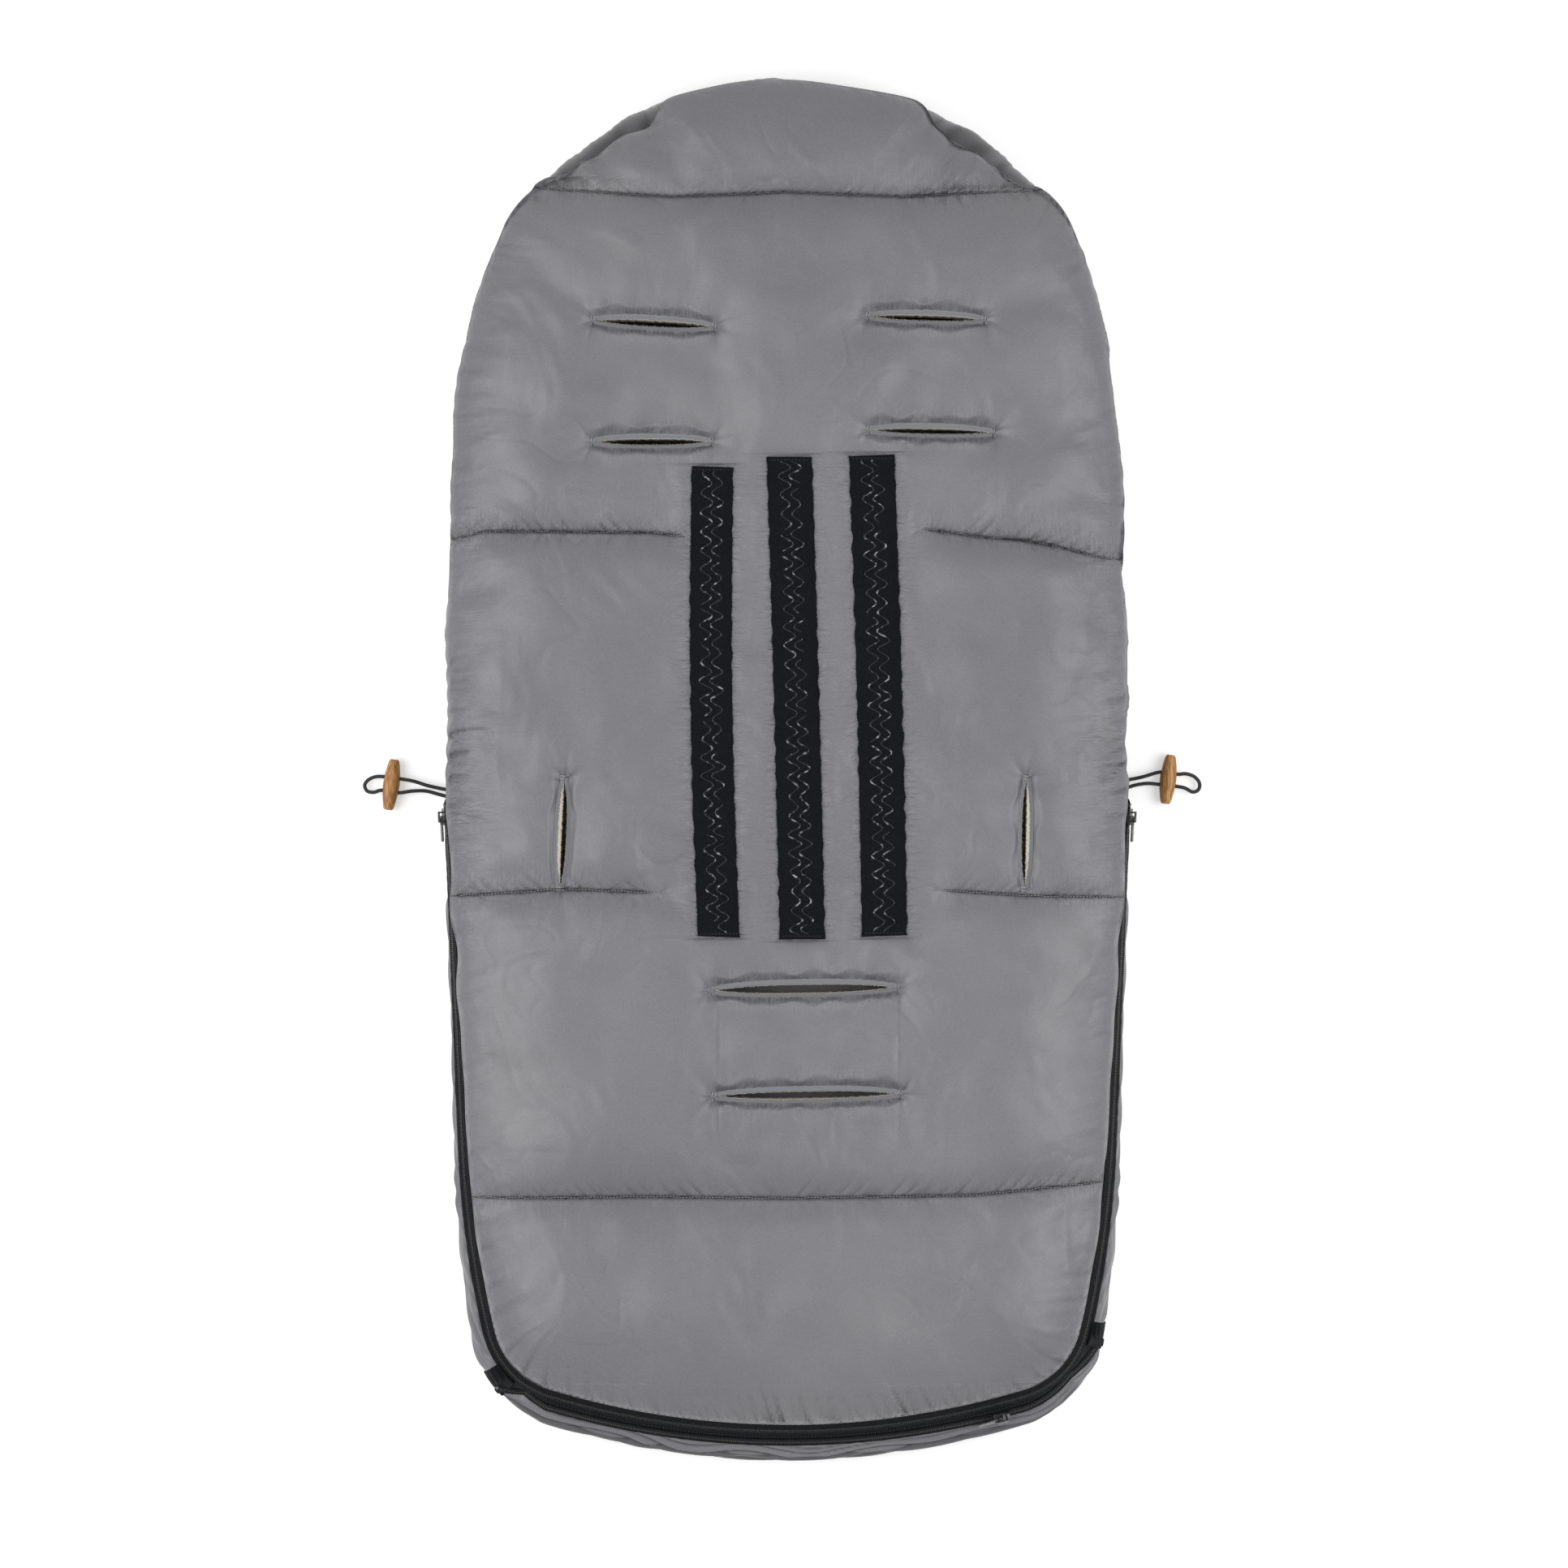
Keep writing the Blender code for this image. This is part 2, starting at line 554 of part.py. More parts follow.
def make_sliders():
    """Both side sliders at the top of the main zip, and the foot slider at the right end of the foot arc."""
    sliders, pulls = {}, {}
    along = (SLIDER_PARK_Y - ZIP_TOP_Y) / (SIDE_END_Y - ZIP_TOP_Y)
    for word, side in (("left", -1), ("right", 1)):
        offset, height = chain(along)
        middle = at(along, side, offset, height)
        up_the_side = Vector(at(0.0, side, offset, height)) - Vector(middle)
        frame = zip_frame(middle, up_the_side, zip_place(along, side)[1], zip_direction(along))
        sliders[word] = make_slider(word + "_zip_slider", frame)
        pulls[word] = make_pull(word + "_zip_pull", frame)
    angle = math.radians(FOOT_SLIDER_PARK_DEG)
    normal = (math.sin(angle), -math.cos(angle))
    offset, height = foot_chain(3.5, 1)
    radius = FOOT_RADIUS + offset
    middle = (normal[0] * radius, FOOT_CENTRE_Y + normal[1] * radius, height)
    frame = zip_frame(middle, (math.cos(angle), math.sin(angle), 0.0), normal, foot_direction())
    sliders["foot"] = make_slider("foot_zip_slider", frame)
    pulls["foot"] = make_pull("foot_zip_pull", frame)
    return sliders, pulls


def make_zip_stops():
    """Small blocks that keep the sliders on: at the cover's zip tops, and at both ends of the foot zip."""
    for word, side in (("left", -1), ("right", 1)):
        middle = chain(0.0)
        direction = zip_direction(0.0)
        start = step_from(middle, direction, COIL_INNER)
        end = step_from(middle, direction, COIL_OUTER)
        rings = [strip_ring(mark, side, start, end, COIL_HALF_THICK) for mark in (0.0015, 0.0105)]
        sweep("main_zip_top_stop_" + word, "slider_metal", rings)
        last = FOOT_ZIP_END[side]
        middle = foot_chain(last, side)
        start = step_from(middle, foot_direction(), -COIL_OUTER)
        end = step_from(middle, foot_direction(), COIL_OUTER)
        rings = [strip_ring(mark, side, start, end, COIL_HALF_THICK) for mark in (last - 0.045, last - 0.010)]
        sweep("foot_zip_end_stop_" + word, "slider_metal", rings)


# The cover

def cover_places(along, side):
    """The cover's outer section: rim, swell, floor edge, as (offset, height)."""
    swell = cover_bulge(along)
    if has_foot_zip(along, side):
        rim = step_from(foot_chain(along, side), foot_direction(), FOOT_EDGE)
    else:
        rim = step_from(chain(along), zip_direction(along), FABRIC_EDGE)
    return rim, (swell, COVER_BULGE_Z), swell - COVER_CURVE


def cover_row(station, rim_in, wall_in, floor_in, high_rim, angles, sewn):
    """One section of a cover layer, from the rim under the swell to the middle. The layer lies inside the
    outer surface by the given distances at its rim, its swell and its floor."""
    along, side = station
    rim, swell, floor_edge = cover_places(along, side)
    if high_rim and has_foot_zip(along, side):
        rim = step_from(chain(along), zip_direction(along), TAPE_SHORT + 0.0006)
    seam = sewn if station_is_seam(along) else 0.0
    row = []
    for angle in angles:
        turn = math.radians(angle)
        start = rim[0] - rim_in
        end = swell[0] - wall_in
        row.append((start + (end - start) * math.sin(turn), swell[1] + (rim[1] - swell[1]) * math.cos(turn)))
    for angle in (35.0, 65.0, 90.0):
        turn = math.radians(angle)
        reach = swell[0] - wall_in - floor_edge
        drop = swell[1] - floor_in - seam
        row.append((floor_edge + reach * math.cos(turn), swell[1] - drop * math.sin(turn)))
    points = [at(along, side, offset, height) for offset, height in row]
    low = points[-1]
    middle = (0.0, max(zip_place(along, side)[0][1], SPINE_END_Y), low[2])
    points.append(tuple(0.5 * (a + b) for a, b in zip(low, middle)))
    points.append(middle)
    return points


SPINE_END_Y = -0.3200
SEAM_MARKS = (0.2545, 1.230)
COVER_SIDE = [0.0, 0.2247, 0.2545, 0.2843, 0.64, 1.0, 1.172, 1.230, 1.288, 1.6, 2.0]
COVER_LINE = ([(mark, -1) for mark in COVER_SIDE + CORNER_MARKS[-1] + FOOT_ARC] + [(4.0, 1)]
              + [(mark, 1) for mark in (COVER_SIDE + CORNER_MARKS[1] + FOOT_ARC)[::-1]])


def station_is_seam(along):
    return any(abs(along - mark) < 1e-6 for mark in SEAM_MARKS)


def cover_layer(name, slot, outside, inside, high_rim=False, angles=(0.0, 50.0, 90.0), sewn=(0.0, 0.0)):
    top = [cover_row(station, *outside, high_rim, angles, sewn[0]) for station in COVER_LINE]
    bottom = [cover_row(station, *inside, high_rim, angles, sewn[1]) for station in COVER_LINE]
    return slab(name, slot, top, bottom, open_last_column=True)


def make_cover():
    """Outer fabric, padding and lining of the cover, and the folded edge across its top."""
    skin = SHELL_THICK
    padding = COVER_PADDING
    lining = LINING_THICK
    gap = LAYER_GAP
    outer = (0.0, 0.0, 0.0)
    shell_in = (skin, skin, skin)
    padding_out = (skin + gap, skin + gap, skin + gap)
    padding_in = (skin + 3.0 * gap, padding, padding)
    lining_out = (skin + gap, padding + gap, padding + gap)
    lining_in = (skin + gap + lining, padding + gap + lining, padding + gap + lining)
    channel = COVER_CHANNEL
    pieces = [
        cover_layer("cover_shell", "shell_fabric", outer, shell_in, sewn=(channel, channel)),
        cover_layer("cover_wadding", "wadding", padding_out, padding_in, angles=(50.0, 90.0), sewn=(channel, 0.0)),
        cover_layer("cover_lining", "lining_fleece", lining_out, lining_in, high_rim=True),
    ]
    outline = []
    for side in (-1, 1):
        outer_row = cover_row((0.0, side), *outer, False, (0.0, 50.0, 90.0), 0.0)
        inner_row = cover_row((0.0, side), *lining_in, True, (0.0, 50.0, 90.0), 0.0)
        outline.append((outer_row, inner_row))
    (left_outer, left_inner), (right_outer, right_inner) = outline
    ring = left_outer + right_outer[-2::-1] + right_inner + left_inner[-2::-1]
    edge = [[(x, ZIP_TOP_Y + shift, z) for x, y, z in ring] for shift in (0.0021, 0.0036)]
    pieces.append(edge_band("cover_top_edge", "shell_fabric", edge, len(left_outer)))
    return pieces


def edge_band(name, slot, rings, half):
    """The band across the cover's top, as two grids between its outer and its inner line."""
    count = 2 * half - 1
    top = [ring[:count] for ring in rings]
    bottom = [ring[count:][::-1] for ring in rings]
    return slab(name, slot, top, bottom)


# The back panel

WALL_CURVE = full_outline(WALL_POINTS, WALL_CROWN_Y)
PANEL_CURVE = full_outline(PANEL_POINTS, PANEL_CROWN_Y)


RIM_OFFSETS = [-FABRIC_EDGE * zip_direction(mark)[0] for mark in (0.0, 1.0, 2.0, 3.0, 4.0)]
BULGE_OFFSETS = [-0.0020, -0.0022, -0.0038, -0.0050, -0.0050]


def panel_edge():
    """The panel's right edge with falling Y: points on its outer line, on its seam, and outward normals."""
    middle = len(PANEL_CURVE) // 2
    rows = []
    for point, normal in zip(PANEL_CURVE[middle:], outward(PANEL_CURVE)[middle:]):
        if point[1] > ZIP_TOP_Y + 0.004:
            rows.append([*point, *(point - normal * SEAM_INSET), *normal])
    for along in np.linspace(0.0, 4.0, 241):
        x, y, _ = at(along, 1, by_leg(along, BULGE_OFFSETS), 0.0)
        rim_x, rim_y, _ = at(along, 1, by_leg(along, RIM_OFFSETS), 0.0)
        rows.append([x, y, rim_x, rim_y, *zip_place(along, 1)[1]])
    return np.array(rows)


PANEL_EDGE = panel_edge()
BULGE_EDGE = PANEL_EDGE[:, 0:2]


def edge_at(y, inset):
    """The panel's outer line and its seam at a row, both moved in by the inset."""
    x, _, rim_x, rim_y, out_x, out_y = [float(np.interp(-y, -PANEL_EDGE[:, 1], column)) for column in PANEL_EDGE.T]
    return (x - out_x * inset, y - out_y * inset), (rim_x - out_x * inset, rim_y - out_y * inset)


def edge_distance(x, y):
    """Distance in plan from a point to the panel's outer edge."""
    near = np.hypot(BULGE_EDGE[:, 0] - abs(x), BULGE_EDGE[:, 1] - y)
    return float(near.min())


def back_height(x, y, sunk):
    """The quilted outer surface: rounded towards the edges, sewn down at the seams, fuller at the head."""
    near = min(edge_distance(x, y) / CROWN_WIDTH, 1.0)
    rise = (BACK_TOP_Z - BACK_BULGE_Z) * math.sqrt(1.0 - (1.0 - near) ** 2)
    head = HEAD_PUFF * max(0.0, 1.0 - abs(y - 0.455) / 0.035) * near
    sewn = 0.0
    for seam_y, starts_at in SEAMS:
        reach = min(max((abs(x) - starts_at) / 0.02, 0.0), 1.0) if starts_at else 1.0
        sewn = max(sewn, reach * math.exp(-((y - seam_y) / CHANNEL_WIDTH) ** 2))
    return BACK_BULGE_Z + rise + head - CHANNEL_DEPTH * sewn * near - sunk


BACK_ROWS = [0.4965, 0.4880, 0.4740, 0.4560, 0.4380, 0.4240, 0.4150, 0.4060, 0.3800, 0.3300, 0.2800, 0.2300,
             0.1800, 0.1710, 0.1620, 0.1100, 0.0400, -0.0300, -0.0785, -0.0875, -0.0965, -0.1500,
             -0.2050, -0.2600, -0.2960, -0.3050, -0.3140, -0.3500, -0.3900, -0.4180, -0.4380, -0.4530,
             -0.4640, -0.4700]
BACK_COLUMNS = [0.0, 0.35, 0.68, 0.89, 1.0]


def signed_columns(columns):
    return [-value for value in columns[:0:-1]] + columns


def back_surface(inset, sunk):
    """Grid of the quilted surface inside an inset edge, with the drawn-in side down to the seam plane."""
    grid = []
    for index, y in enumerate(BACK_ROWS):
        outer = edge_at(y, 0.0)[0][0]
        side, seam = edge_at(y, inset)
        level = side[1] if index in (0, len(BACK_ROWS) - 1) else y
        row = [(part * outer, level, back_height(part * outer, y, sunk)) for part in signed_columns(BACK_COLUMNS)]
        row[0] = (-side[0], side[1], row[0][2])
        row[-1] = (side[0], side[1], row[-1][2])
        grid.append([(-seam[0], seam[1], SEAM_Z)] + row + [(seam[0], seam[1], SEAM_Z)])
    ends = []
    for row in (grid[0], grid[-1]):
        narrow = row[-1][0] / row[-2][0]
        ends.append([(x * (narrow if 0 < index < len(row) - 1 else 0.97), row[0][1], SEAM_Z)
                     for index, (x, y, z) in enumerate(row)])
    for end in ends:
        for last, inner in ((0, 1), (-1, -2)):
            end[last] = end[inner]
    return [ends[0]] + grid + [ends[1]]


def make_back_shell():
    """The outer fabric as one skin, with the harness slots cut out."""
    return slab("back_shell", "shell_fabric", back_surface(0.0, 0.0), back_surface(SHELL_THICK, SHELL_THICK))


WADDINGS = {"head_wadding": (0.4880, 0.4240), "body_wadding": (0.4060, -0.2960), "foot_wadding": (-0.3140, -0.4640)}
WADDING_INSET = 0.0070
WADDING_SUNK = 0.0026
LINING_TOP_Z = 0.0714


def make_wadding(name):
    """The padding of one chamber, between the full quilting seams."""
    first, last = WADDINGS[name]
    top = []
    bottom = []
    for y in BACK_ROWS:
        if y > first + 1e-6 or y < last - 1e-6:
            continue
        outer = edge_at(y, 0.0)[0][0]
        side = edge_at(y, WADDING_INSET)[0]
        inner = BACK_COLUMNS[-2] * outer
        fill = min((outer - side[0]) / (outer - inner), 1.0)
        height = BACK_BULGE_Z + (back_height(inner, y, 0.0) - BACK_BULGE_Z) * fill - WADDING_SUNK
        at_end = y in (BACK_ROWS[1], BACK_ROWS[-2])
        level = side[1] if at_end else y
        reach = side[0] if at_end else outer
        row = [(part * reach, level, back_height(part * reach, level, WADDING_SUNK))
               for part in signed_columns(BACK_COLUMNS)]
        row[0] = (-side[0], side[1], height)
        row[-1] = (side[0], side[1], height)
        top.append(row)
        bottom.append([(x, level, LINING_TOP_Z + LAYER_GAP) for x, level, z in row])
    return slab(name, "wadding", top, bottom)


def make_back_lining():
    """The fleece inner face: flat over the middle, its edge turned down into the seam."""
    rows = [0.4860, 0.4740, 0.4560, 0.4240, 0.3800, 0.3000, 0.1700, 0.0000, -0.1600, -0.3000, -0.3800, -0.4180,
            -0.4380, -0.4530, -0.4620]
    top = []
    bottom = []
    for thick, grid in ((0.0, top), (LINING_THICK, bottom)):
        for y in rows:
            flat = edge_at(y, 0.0130)[0]
            seam = edge_at(y, SHELL_THICK + 0.0014 + thick)[1]
            middle = [(part * flat[0], flat[1], LINING_TOP_Z - thick) for part in signed_columns([0.0, 0.5, 1.0])]
            grid.append([(-seam[0], seam[1], SEAM_Z + 0.0004)] + middle + [(seam[0], seam[1], SEAM_Z + 0.0004)])
    return slab("back_lining", "lining_fleece", top, bottom)


def lens(centre_x, centre_y, half_length, half_width, upright, height):
    """The outline of a slot: pointed at both ends and full in the middle."""
    places = [-1.0, -0.88, -0.62, -0.25, 0.25, 0.62, 0.88, 1.0]
    upper = [(place * half_length, half_width * (1.0 - abs(place) ** 3)) for place in places]
    lower = [(x, -y) for x, y in upper[-2:0:-1]]
    outline = []
    for x, y in upper + lower:
        if upright:
            x, y = -y, x
        outline.append((centre_x + x, centre_y + y, height))
    return outline


def make_slots(skins):
    """Cut every slot through the panel's layers, and give each one its stitched edge."""
    low, high = LINING_TOP_Z - LINING_THICK - 0.0004, BACK_TOP_Z + 0.0004
    edges = []
    for name, x, y, length, upright in SLOTS:
        outer = [lens(x, y, length / 2.0 + SLOT_EDGE, SLOT_OPENING / 2.0 + SLOT_EDGE, upright, z)
                 for z in (low, high)]
        inner = [lens(x, y, length / 2.0, SLOT_OPENING / 2.0, upright, z) for z in (low, high)]
        edges.append(hollow_sweep(name, "stitching", outer, inner))
        room = SLOT_EDGE + 0.0004
        cut = [lens(x, y, length / 2.0 + room + 0.0012, SLOT_OPENING / 2.0 + room, upright, z)
               for z in (0.060, 0.115)]
        cutter = sweep(name + "_cutter", None, cut)
        for skin in skins:
            combine(skin, cutter, "DIFFERENCE")
    return edges


def make_grip_tapes():
    """Three flat tapes sewn on the middle of the back."""
    tapes = []
    low = BACK_TOP_Z + 0.0003
    for name, top_x, bottom_x, top_y, bottom_y, width in GRIP_TAPES:
        corners = [(top_x - width / 2.0, top_y), (top_x + width / 2.0, top_y),
                   (bottom_x + width / 2.0, bottom_y), (bottom_x - width / 2.0, bottom_y)]
        rings = [[(x, y, z) for x, y in corners] for z in (low, low + GRIP_TAPE_THICK)]
        tapes.append(sweep(name, "black_tape", rings))
    return tapes


# The hood

def hood_stations(count):
    """Even stations on the hood wall's outer edge, with normals and the nearest place on the panel's seam."""
    points = even_points(WALL_CURVE, count)
    normals = outward(points)
    seam = PANEL_CURVE - outward(PANEL_CURVE) * (SEAM_INSET + 0.0008)
    tops = [seam[int(np.argmin(np.hypot(*(seam - point).T)))] for point in points]
    return points, normals, tops


def hem_inset(y):
    """How far the drawcord pulls the hood's edge in, more towards the crown."""
    return float(np.interp(y, [0.0, 0.08, 0.30, 0.42], [0.0068, 0.0180, 0.0210, 0.0290]))


def make_hood_wall(name, slot, start, thick):
    """One layer of the side wall, from the panel's seam down to the hem."""
    points, normals, tops = hood_stations(37)
    grids = []
    for depth in (start, start + thick):
        grid = []
        for point, normal, top in zip(points, normals, tops):
            hem = hem_inset(point[1])
            row = [(*(top - normal * depth), SEAM_Z - 0.0014)]
            row.append((*(point - normal * (depth + 0.0006)), WALL_BULGE_Z + 0.010))
            row.append((*(point - normal * depth), WALL_BULGE_Z - 0.006))
            row.append((*(point - normal * (hem * 0.45 + depth)), 0.0215))
            row.append((*(point - normal * (hem - 0.002 + depth)), HEM_HEIGHT + 0.0006))
            grid.append(row)
        grids.append(grid)
    return slab(name, slot, grids[0], grids[1])


def hem_path():
    """The middle of the hem tunnel in plan, from its left to its right end."""
    points = even_points(WALL_CURVE, 121)
    normals = outward(points)
    middle = np.array([point - normal * hem_inset(point[1]) for point, normal in zip(points, normals)])
    keep = [(x, y) for x, y in middle if y > (HEM_START_Y if x < 0 else HEM_END_Y)]
    first = (-width_at_height(middle, HEM_START_Y), HEM_START_Y)
    last = (width_at_height(middle, HEM_END_Y), HEM_END_Y)
    return even_points(np.array([first] + keep + [last]), 33)


def width_at_height(curve, y):
    """Half width of a symmetrical curve at a place near its lower end."""
    right = curve[len(curve) // 2:][::-1]
    return float(np.interp(y, right[:, 1], right[:, 0]))


def make_hood_hem():
    """The folded tunnel, flat where it lies on the floor, and the drawcord inside it."""
    path = hem_path()
    normals = outward(path)
    half, height, wall = HEM_HALF_WIDTH, HEM_HEIGHT, 0.0011
    outer_section = [(-0.6 * half, 0.0), (0.6 * half, 0.0), (half, height / 2.0),
                     (0.6 * half, height), (-0.6 * half, height), (-half, height / 2.0)]
    inner_section = [(offset * (half - wall) / half, wall + level * (height - 2.0 * wall) / height)
                     for offset, level in outer_section]
    outer = [[(*(p + n * offset), level) for offset, level in outer_section] for p, n in zip(path, normals)]
    inner = [[(*(p + n * offset), level) for offset, level in inner_section] for p, n in zip(path, normals)]
    hem = hollow_sweep("hood_hem", "shell_fabric", outer, inner)
    cord = cord_tube("hem_drawcord", [(x, y, CORD_Z) for x, y in path], 1)
    return hem, cord


def cord_tube(name, points, roundness):
    """A round cord with closed ends along the points."""
    data = bpy.data.curves.new(name, "CURVE")
    data.dimensions = "3D"
    data.bevel_depth = CORD_DIAMETER / 2.0
    data.bevel_resolution = roundness
    data.use_fill_caps = True
    spline = data.splines.new("POLY")
    spline.points.add(len(points) - 1)
    for knot, point in zip(spline.points, points):
        knot.co = (*point, 1.0)
    piece = bpy.data.objects.new(name, data)
    bpy.context.scene.collection.objects.link(piece)
    material_for(piece, "elastic_cord")
    return piece


def make_cord_loop(name, route):
    """A free stretch of the drawcord: out of the tunnel, through the toggle, round and back."""
    curve = smooth_through(route, 12)
    length = float(np.linalg.norm(np.diff(curve, axis=0), axis=1).sum())
    count = int(round(length / (2.0 * CORD_DIAMETER))) + 1
    print(name, "length", round(length, 4))
    return cord_tube(name, [tuple(point) for point in even_points(curve, count)], 2)


def make_toggle(name, middle, tilt, length, holes):
    """A turned wooden barrel that lies on its side, with two cross holes for the cord."""
    turn = math.radians(tilt)
    axis = Vector((math.sin(turn), math.cos(turn), 0.0))
    side = Vector((math.cos(turn), -math.sin(turn), 0.0))
    up = Vector((0.0, 0.0, 1.0))
    profile = [(-0.5, 0.45), (-0.47, 0.62), (-0.40, 0.72), (-0.20, 0.90), (0.0, 1.0),
               (0.20, 0.90), (0.40, 0.72), (0.47, 0.62), (0.5, 0.45)]
    rings = []
    for place, width in profile:
        ring = []
        for corner in range(12):
            angle = 2.0 * math.pi * (corner + 0.5) / 12.0
            offset = side * math.cos(angle) + up * math.sin(angle)
            ring.append(tuple(Vector(middle) + axis * (place * length) + offset * (width * TOGGLE_RADIUS)))
        rings.append(ring)
    body = sweep(name, "toggle_wood", rings)
    for word, shift in (("upper", holes / 2.0), ("lower", -holes / 2.0)):
        rings = []
        for reach in (-0.010, 0.010):
            centre = Vector(middle) + axis * shift + side * reach
            ring = []
            for corner in range(10):
                angle = 2.0 * math.pi * corner / 10.0
                offset = axis * math.cos(angle) + up * math.sin(angle)
                ring.append(tuple(centre + offset * (TOGGLE_HOLE / 2.0)))
            rings.append(ring)
        combine(body, sweep(name + "_hole_" + word, None, rings), "DIFFERENCE")
    return body


def carried_by(empty_name, place, pieces):
    """Parent the pieces to an empty that stands on their joint's axis."""
    empty = bpy.data.objects.new(empty_name, None)
    empty.location = place
    bpy.context.scene.collection.objects.link(empty)
    for piece in pieces:
        piece.parent = empty
        piece.matrix_parent_inverse = Matrix.Translation(place).inverted()
    return empty


def set_origin(piece, place):
    """Move a piece's origin without moving the piece."""
    shift = Vector(place) - piece.location
    piece.data.transform(Matrix.Translation(-shift))
    piece.location = place


back_shell = make_back_shell()
back_lining = make_back_lining()
waddings = [make_wadding(name) for name in WADDINGS]
back_pieces = [back_shell, back_lining] + waddings
back_pieces += make_slots([back_shell, back_lining, waddings[1]])
back_pieces += make_grip_tapes()
back_pieces.append(make_hood_wall("hood_wall_shell", "shell_fabric", 0.0, SHELL_THICK))
back_pieces.append(make_hood_wall("hood_wall_lining", "lining_fleece", SHELL_THICK + LAYER_GAP, LINING_THICK))
back_pieces += make_hood_hem()
back_pieces.append(make_cord_loop("left_cord_loop", LEFT_CORD_ROUTE))
back_pieces.append(make_cord_loop("right_cord_loop", RIGHT_CORD_ROUTE))

main_zip = make_main_zip()
back_pieces += main_zip["back"]
make_cover()
make_foot_zip()
make_zip_stops()
sliders, pulls = make_sliders()

for toggle_name, toggle_middle, toggle_tilt, toggle_length, toggle_holes in TOGGLES:
    toggle = make_toggle(toggle_name, toggle_middle, toggle_tilt, toggle_length, toggle_holes)
    set_origin(toggle, toggle_middle)

carried_by("back_hinge_line", HINGE, back_pieces)
carried_by("foot_arc_centre", (0.0, FOOT_CENTRE_Y, 0.0), [sliders["foot"]])
print("foot arc centre", round(FOOT_CENTRE_Y, 5), "radius", round(FOOT_RADIUS, 5))
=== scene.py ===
# A padded stroller footmuff that lies on its cover with the back panel up. Metres, +Z up, +Y to the head end.
import math

import bpy
import bmesh
import numpy as np
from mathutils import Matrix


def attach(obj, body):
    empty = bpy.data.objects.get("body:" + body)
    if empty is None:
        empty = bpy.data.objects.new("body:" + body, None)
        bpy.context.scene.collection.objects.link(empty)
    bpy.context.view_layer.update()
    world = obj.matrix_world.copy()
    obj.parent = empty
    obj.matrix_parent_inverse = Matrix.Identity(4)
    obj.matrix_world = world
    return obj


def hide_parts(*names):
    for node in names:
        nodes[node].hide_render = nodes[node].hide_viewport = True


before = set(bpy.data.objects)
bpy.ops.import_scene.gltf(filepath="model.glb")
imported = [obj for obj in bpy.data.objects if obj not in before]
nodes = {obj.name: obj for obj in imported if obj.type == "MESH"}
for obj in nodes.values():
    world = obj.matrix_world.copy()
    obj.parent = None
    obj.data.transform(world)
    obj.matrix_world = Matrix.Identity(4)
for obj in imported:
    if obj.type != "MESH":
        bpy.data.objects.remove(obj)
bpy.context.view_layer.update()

pi = math.pi


# Curves and noise.

def softNoise(x, y, size, seed, waves=26):
    # A sum of plane waves with random directions and wavelengths near size; mostly between -1.5 and 1.5.
    rng = np.random.default_rng(seed)
    turn = rng.uniform(0.0, 2.0 * pi, waves)
    rate = 2.0 * pi / (size * rng.uniform(0.7, 1.5, waves))
    phase = rng.uniform(0.0, 2.0 * pi, waves)
    total = np.zeros(np.broadcast(x, y).shape)
    for a, k, p in zip(turn, rate, phase):
        total += np.cos((x * np.cos(a) + y * np.sin(a)) * k + p)
    return total / math.sqrt(waves) * 1.2


def lineNoise(s, size, seed, waves=7):
    # The same along a line: cosines with wavelengths near size.
    rng = np.random.default_rng(seed)
    rate = 2.0 * pi / (size * rng.uniform(0.75, 1.45, waves))
    phase = rng.uniform(0.0, 2.0 * pi, waves)
    return sum(np.cos(s * k + p) for k, p in zip(rate, phase)) / math.sqrt(waves) * 1.2


def pleats(s, size, seed):
    # Rounded ridges with sharp valleys between them: the absolute value of a line noise of double length.
    return np.abs(lineNoise(s, size * 2.0, seed)) ** 0.8 - 0.6


def easeStep(t):
    # Smooth step from 0 to 1: 3t^2 - 2t^3 of the clipped value.
    t = np.clip(t, 0.0, 1.0)
    return t * t * (3.0 - 2.0 * t)


def bell(distance, width):
    # 1 at no distance, 1/e at the width: e to the minus square.
    return np.exp(-(distance / width) ** 2)


def faded(distance, length):
    # 1 at no distance, 1/e at the length: e to the minus distance.
    return np.exp(-np.abs(distance) / length)


def fullTurn(count):
    # Angles round a circle, without the last.
    return np.linspace(0.0, 2.0 * pi, count, endpoint=False)


def throughPoints(knots, steps):
    # Catmull-Rom through the knots along axis 0; every other axis is carried along.
    knots = np.asarray(knots, float)
    padded = np.concatenate([[2 * knots[0] - knots[1]], knots, [2 * knots[-1] - knots[-2]]])
    t = np.linspace(0.0, 1.0, steps, endpoint=False).reshape((-1,) + (1,) * (knots.ndim - 1))
    parts = []
    for i in range(1, len(padded) - 2):
        a, b, c, d = padded[i - 1:i + 3]
        parts.append(0.5 * (2 * b + (c - a) * t + (2 * a - 5 * b + 4 * c - d) * t ** 2
                            + (3 * b - a - 3 * c + d) * t ** 3))
    parts.append(padded[-2][None])
    return np.concatenate(parts)


def runLength(points):
    # Distance along a polyline, from 0 at its first point.
    return np.concatenate([[0.0], np.cumsum(np.linalg.norm(np.diff(points, axis=0), axis=1))])


def evenly(points, count):
    # The same line as evenly spaced points.
    run = runLength(points)
    wanted = np.linspace(0.0, run[-1], count)
    return np.stack([np.interp(wanted, run, points[:, i]) for i in range(points.shape[1])], axis=1)


def outwardOf(line):
    # Normals to the right of a plan line, which is outwards where it runs anticlockwise.
    along = np.gradient(line[:, :2], axis=0)
    along /= np.linalg.norm(along, axis=1)[:, None]
    return np.stack([along[:, 1], -along[:, 0]], axis=1)


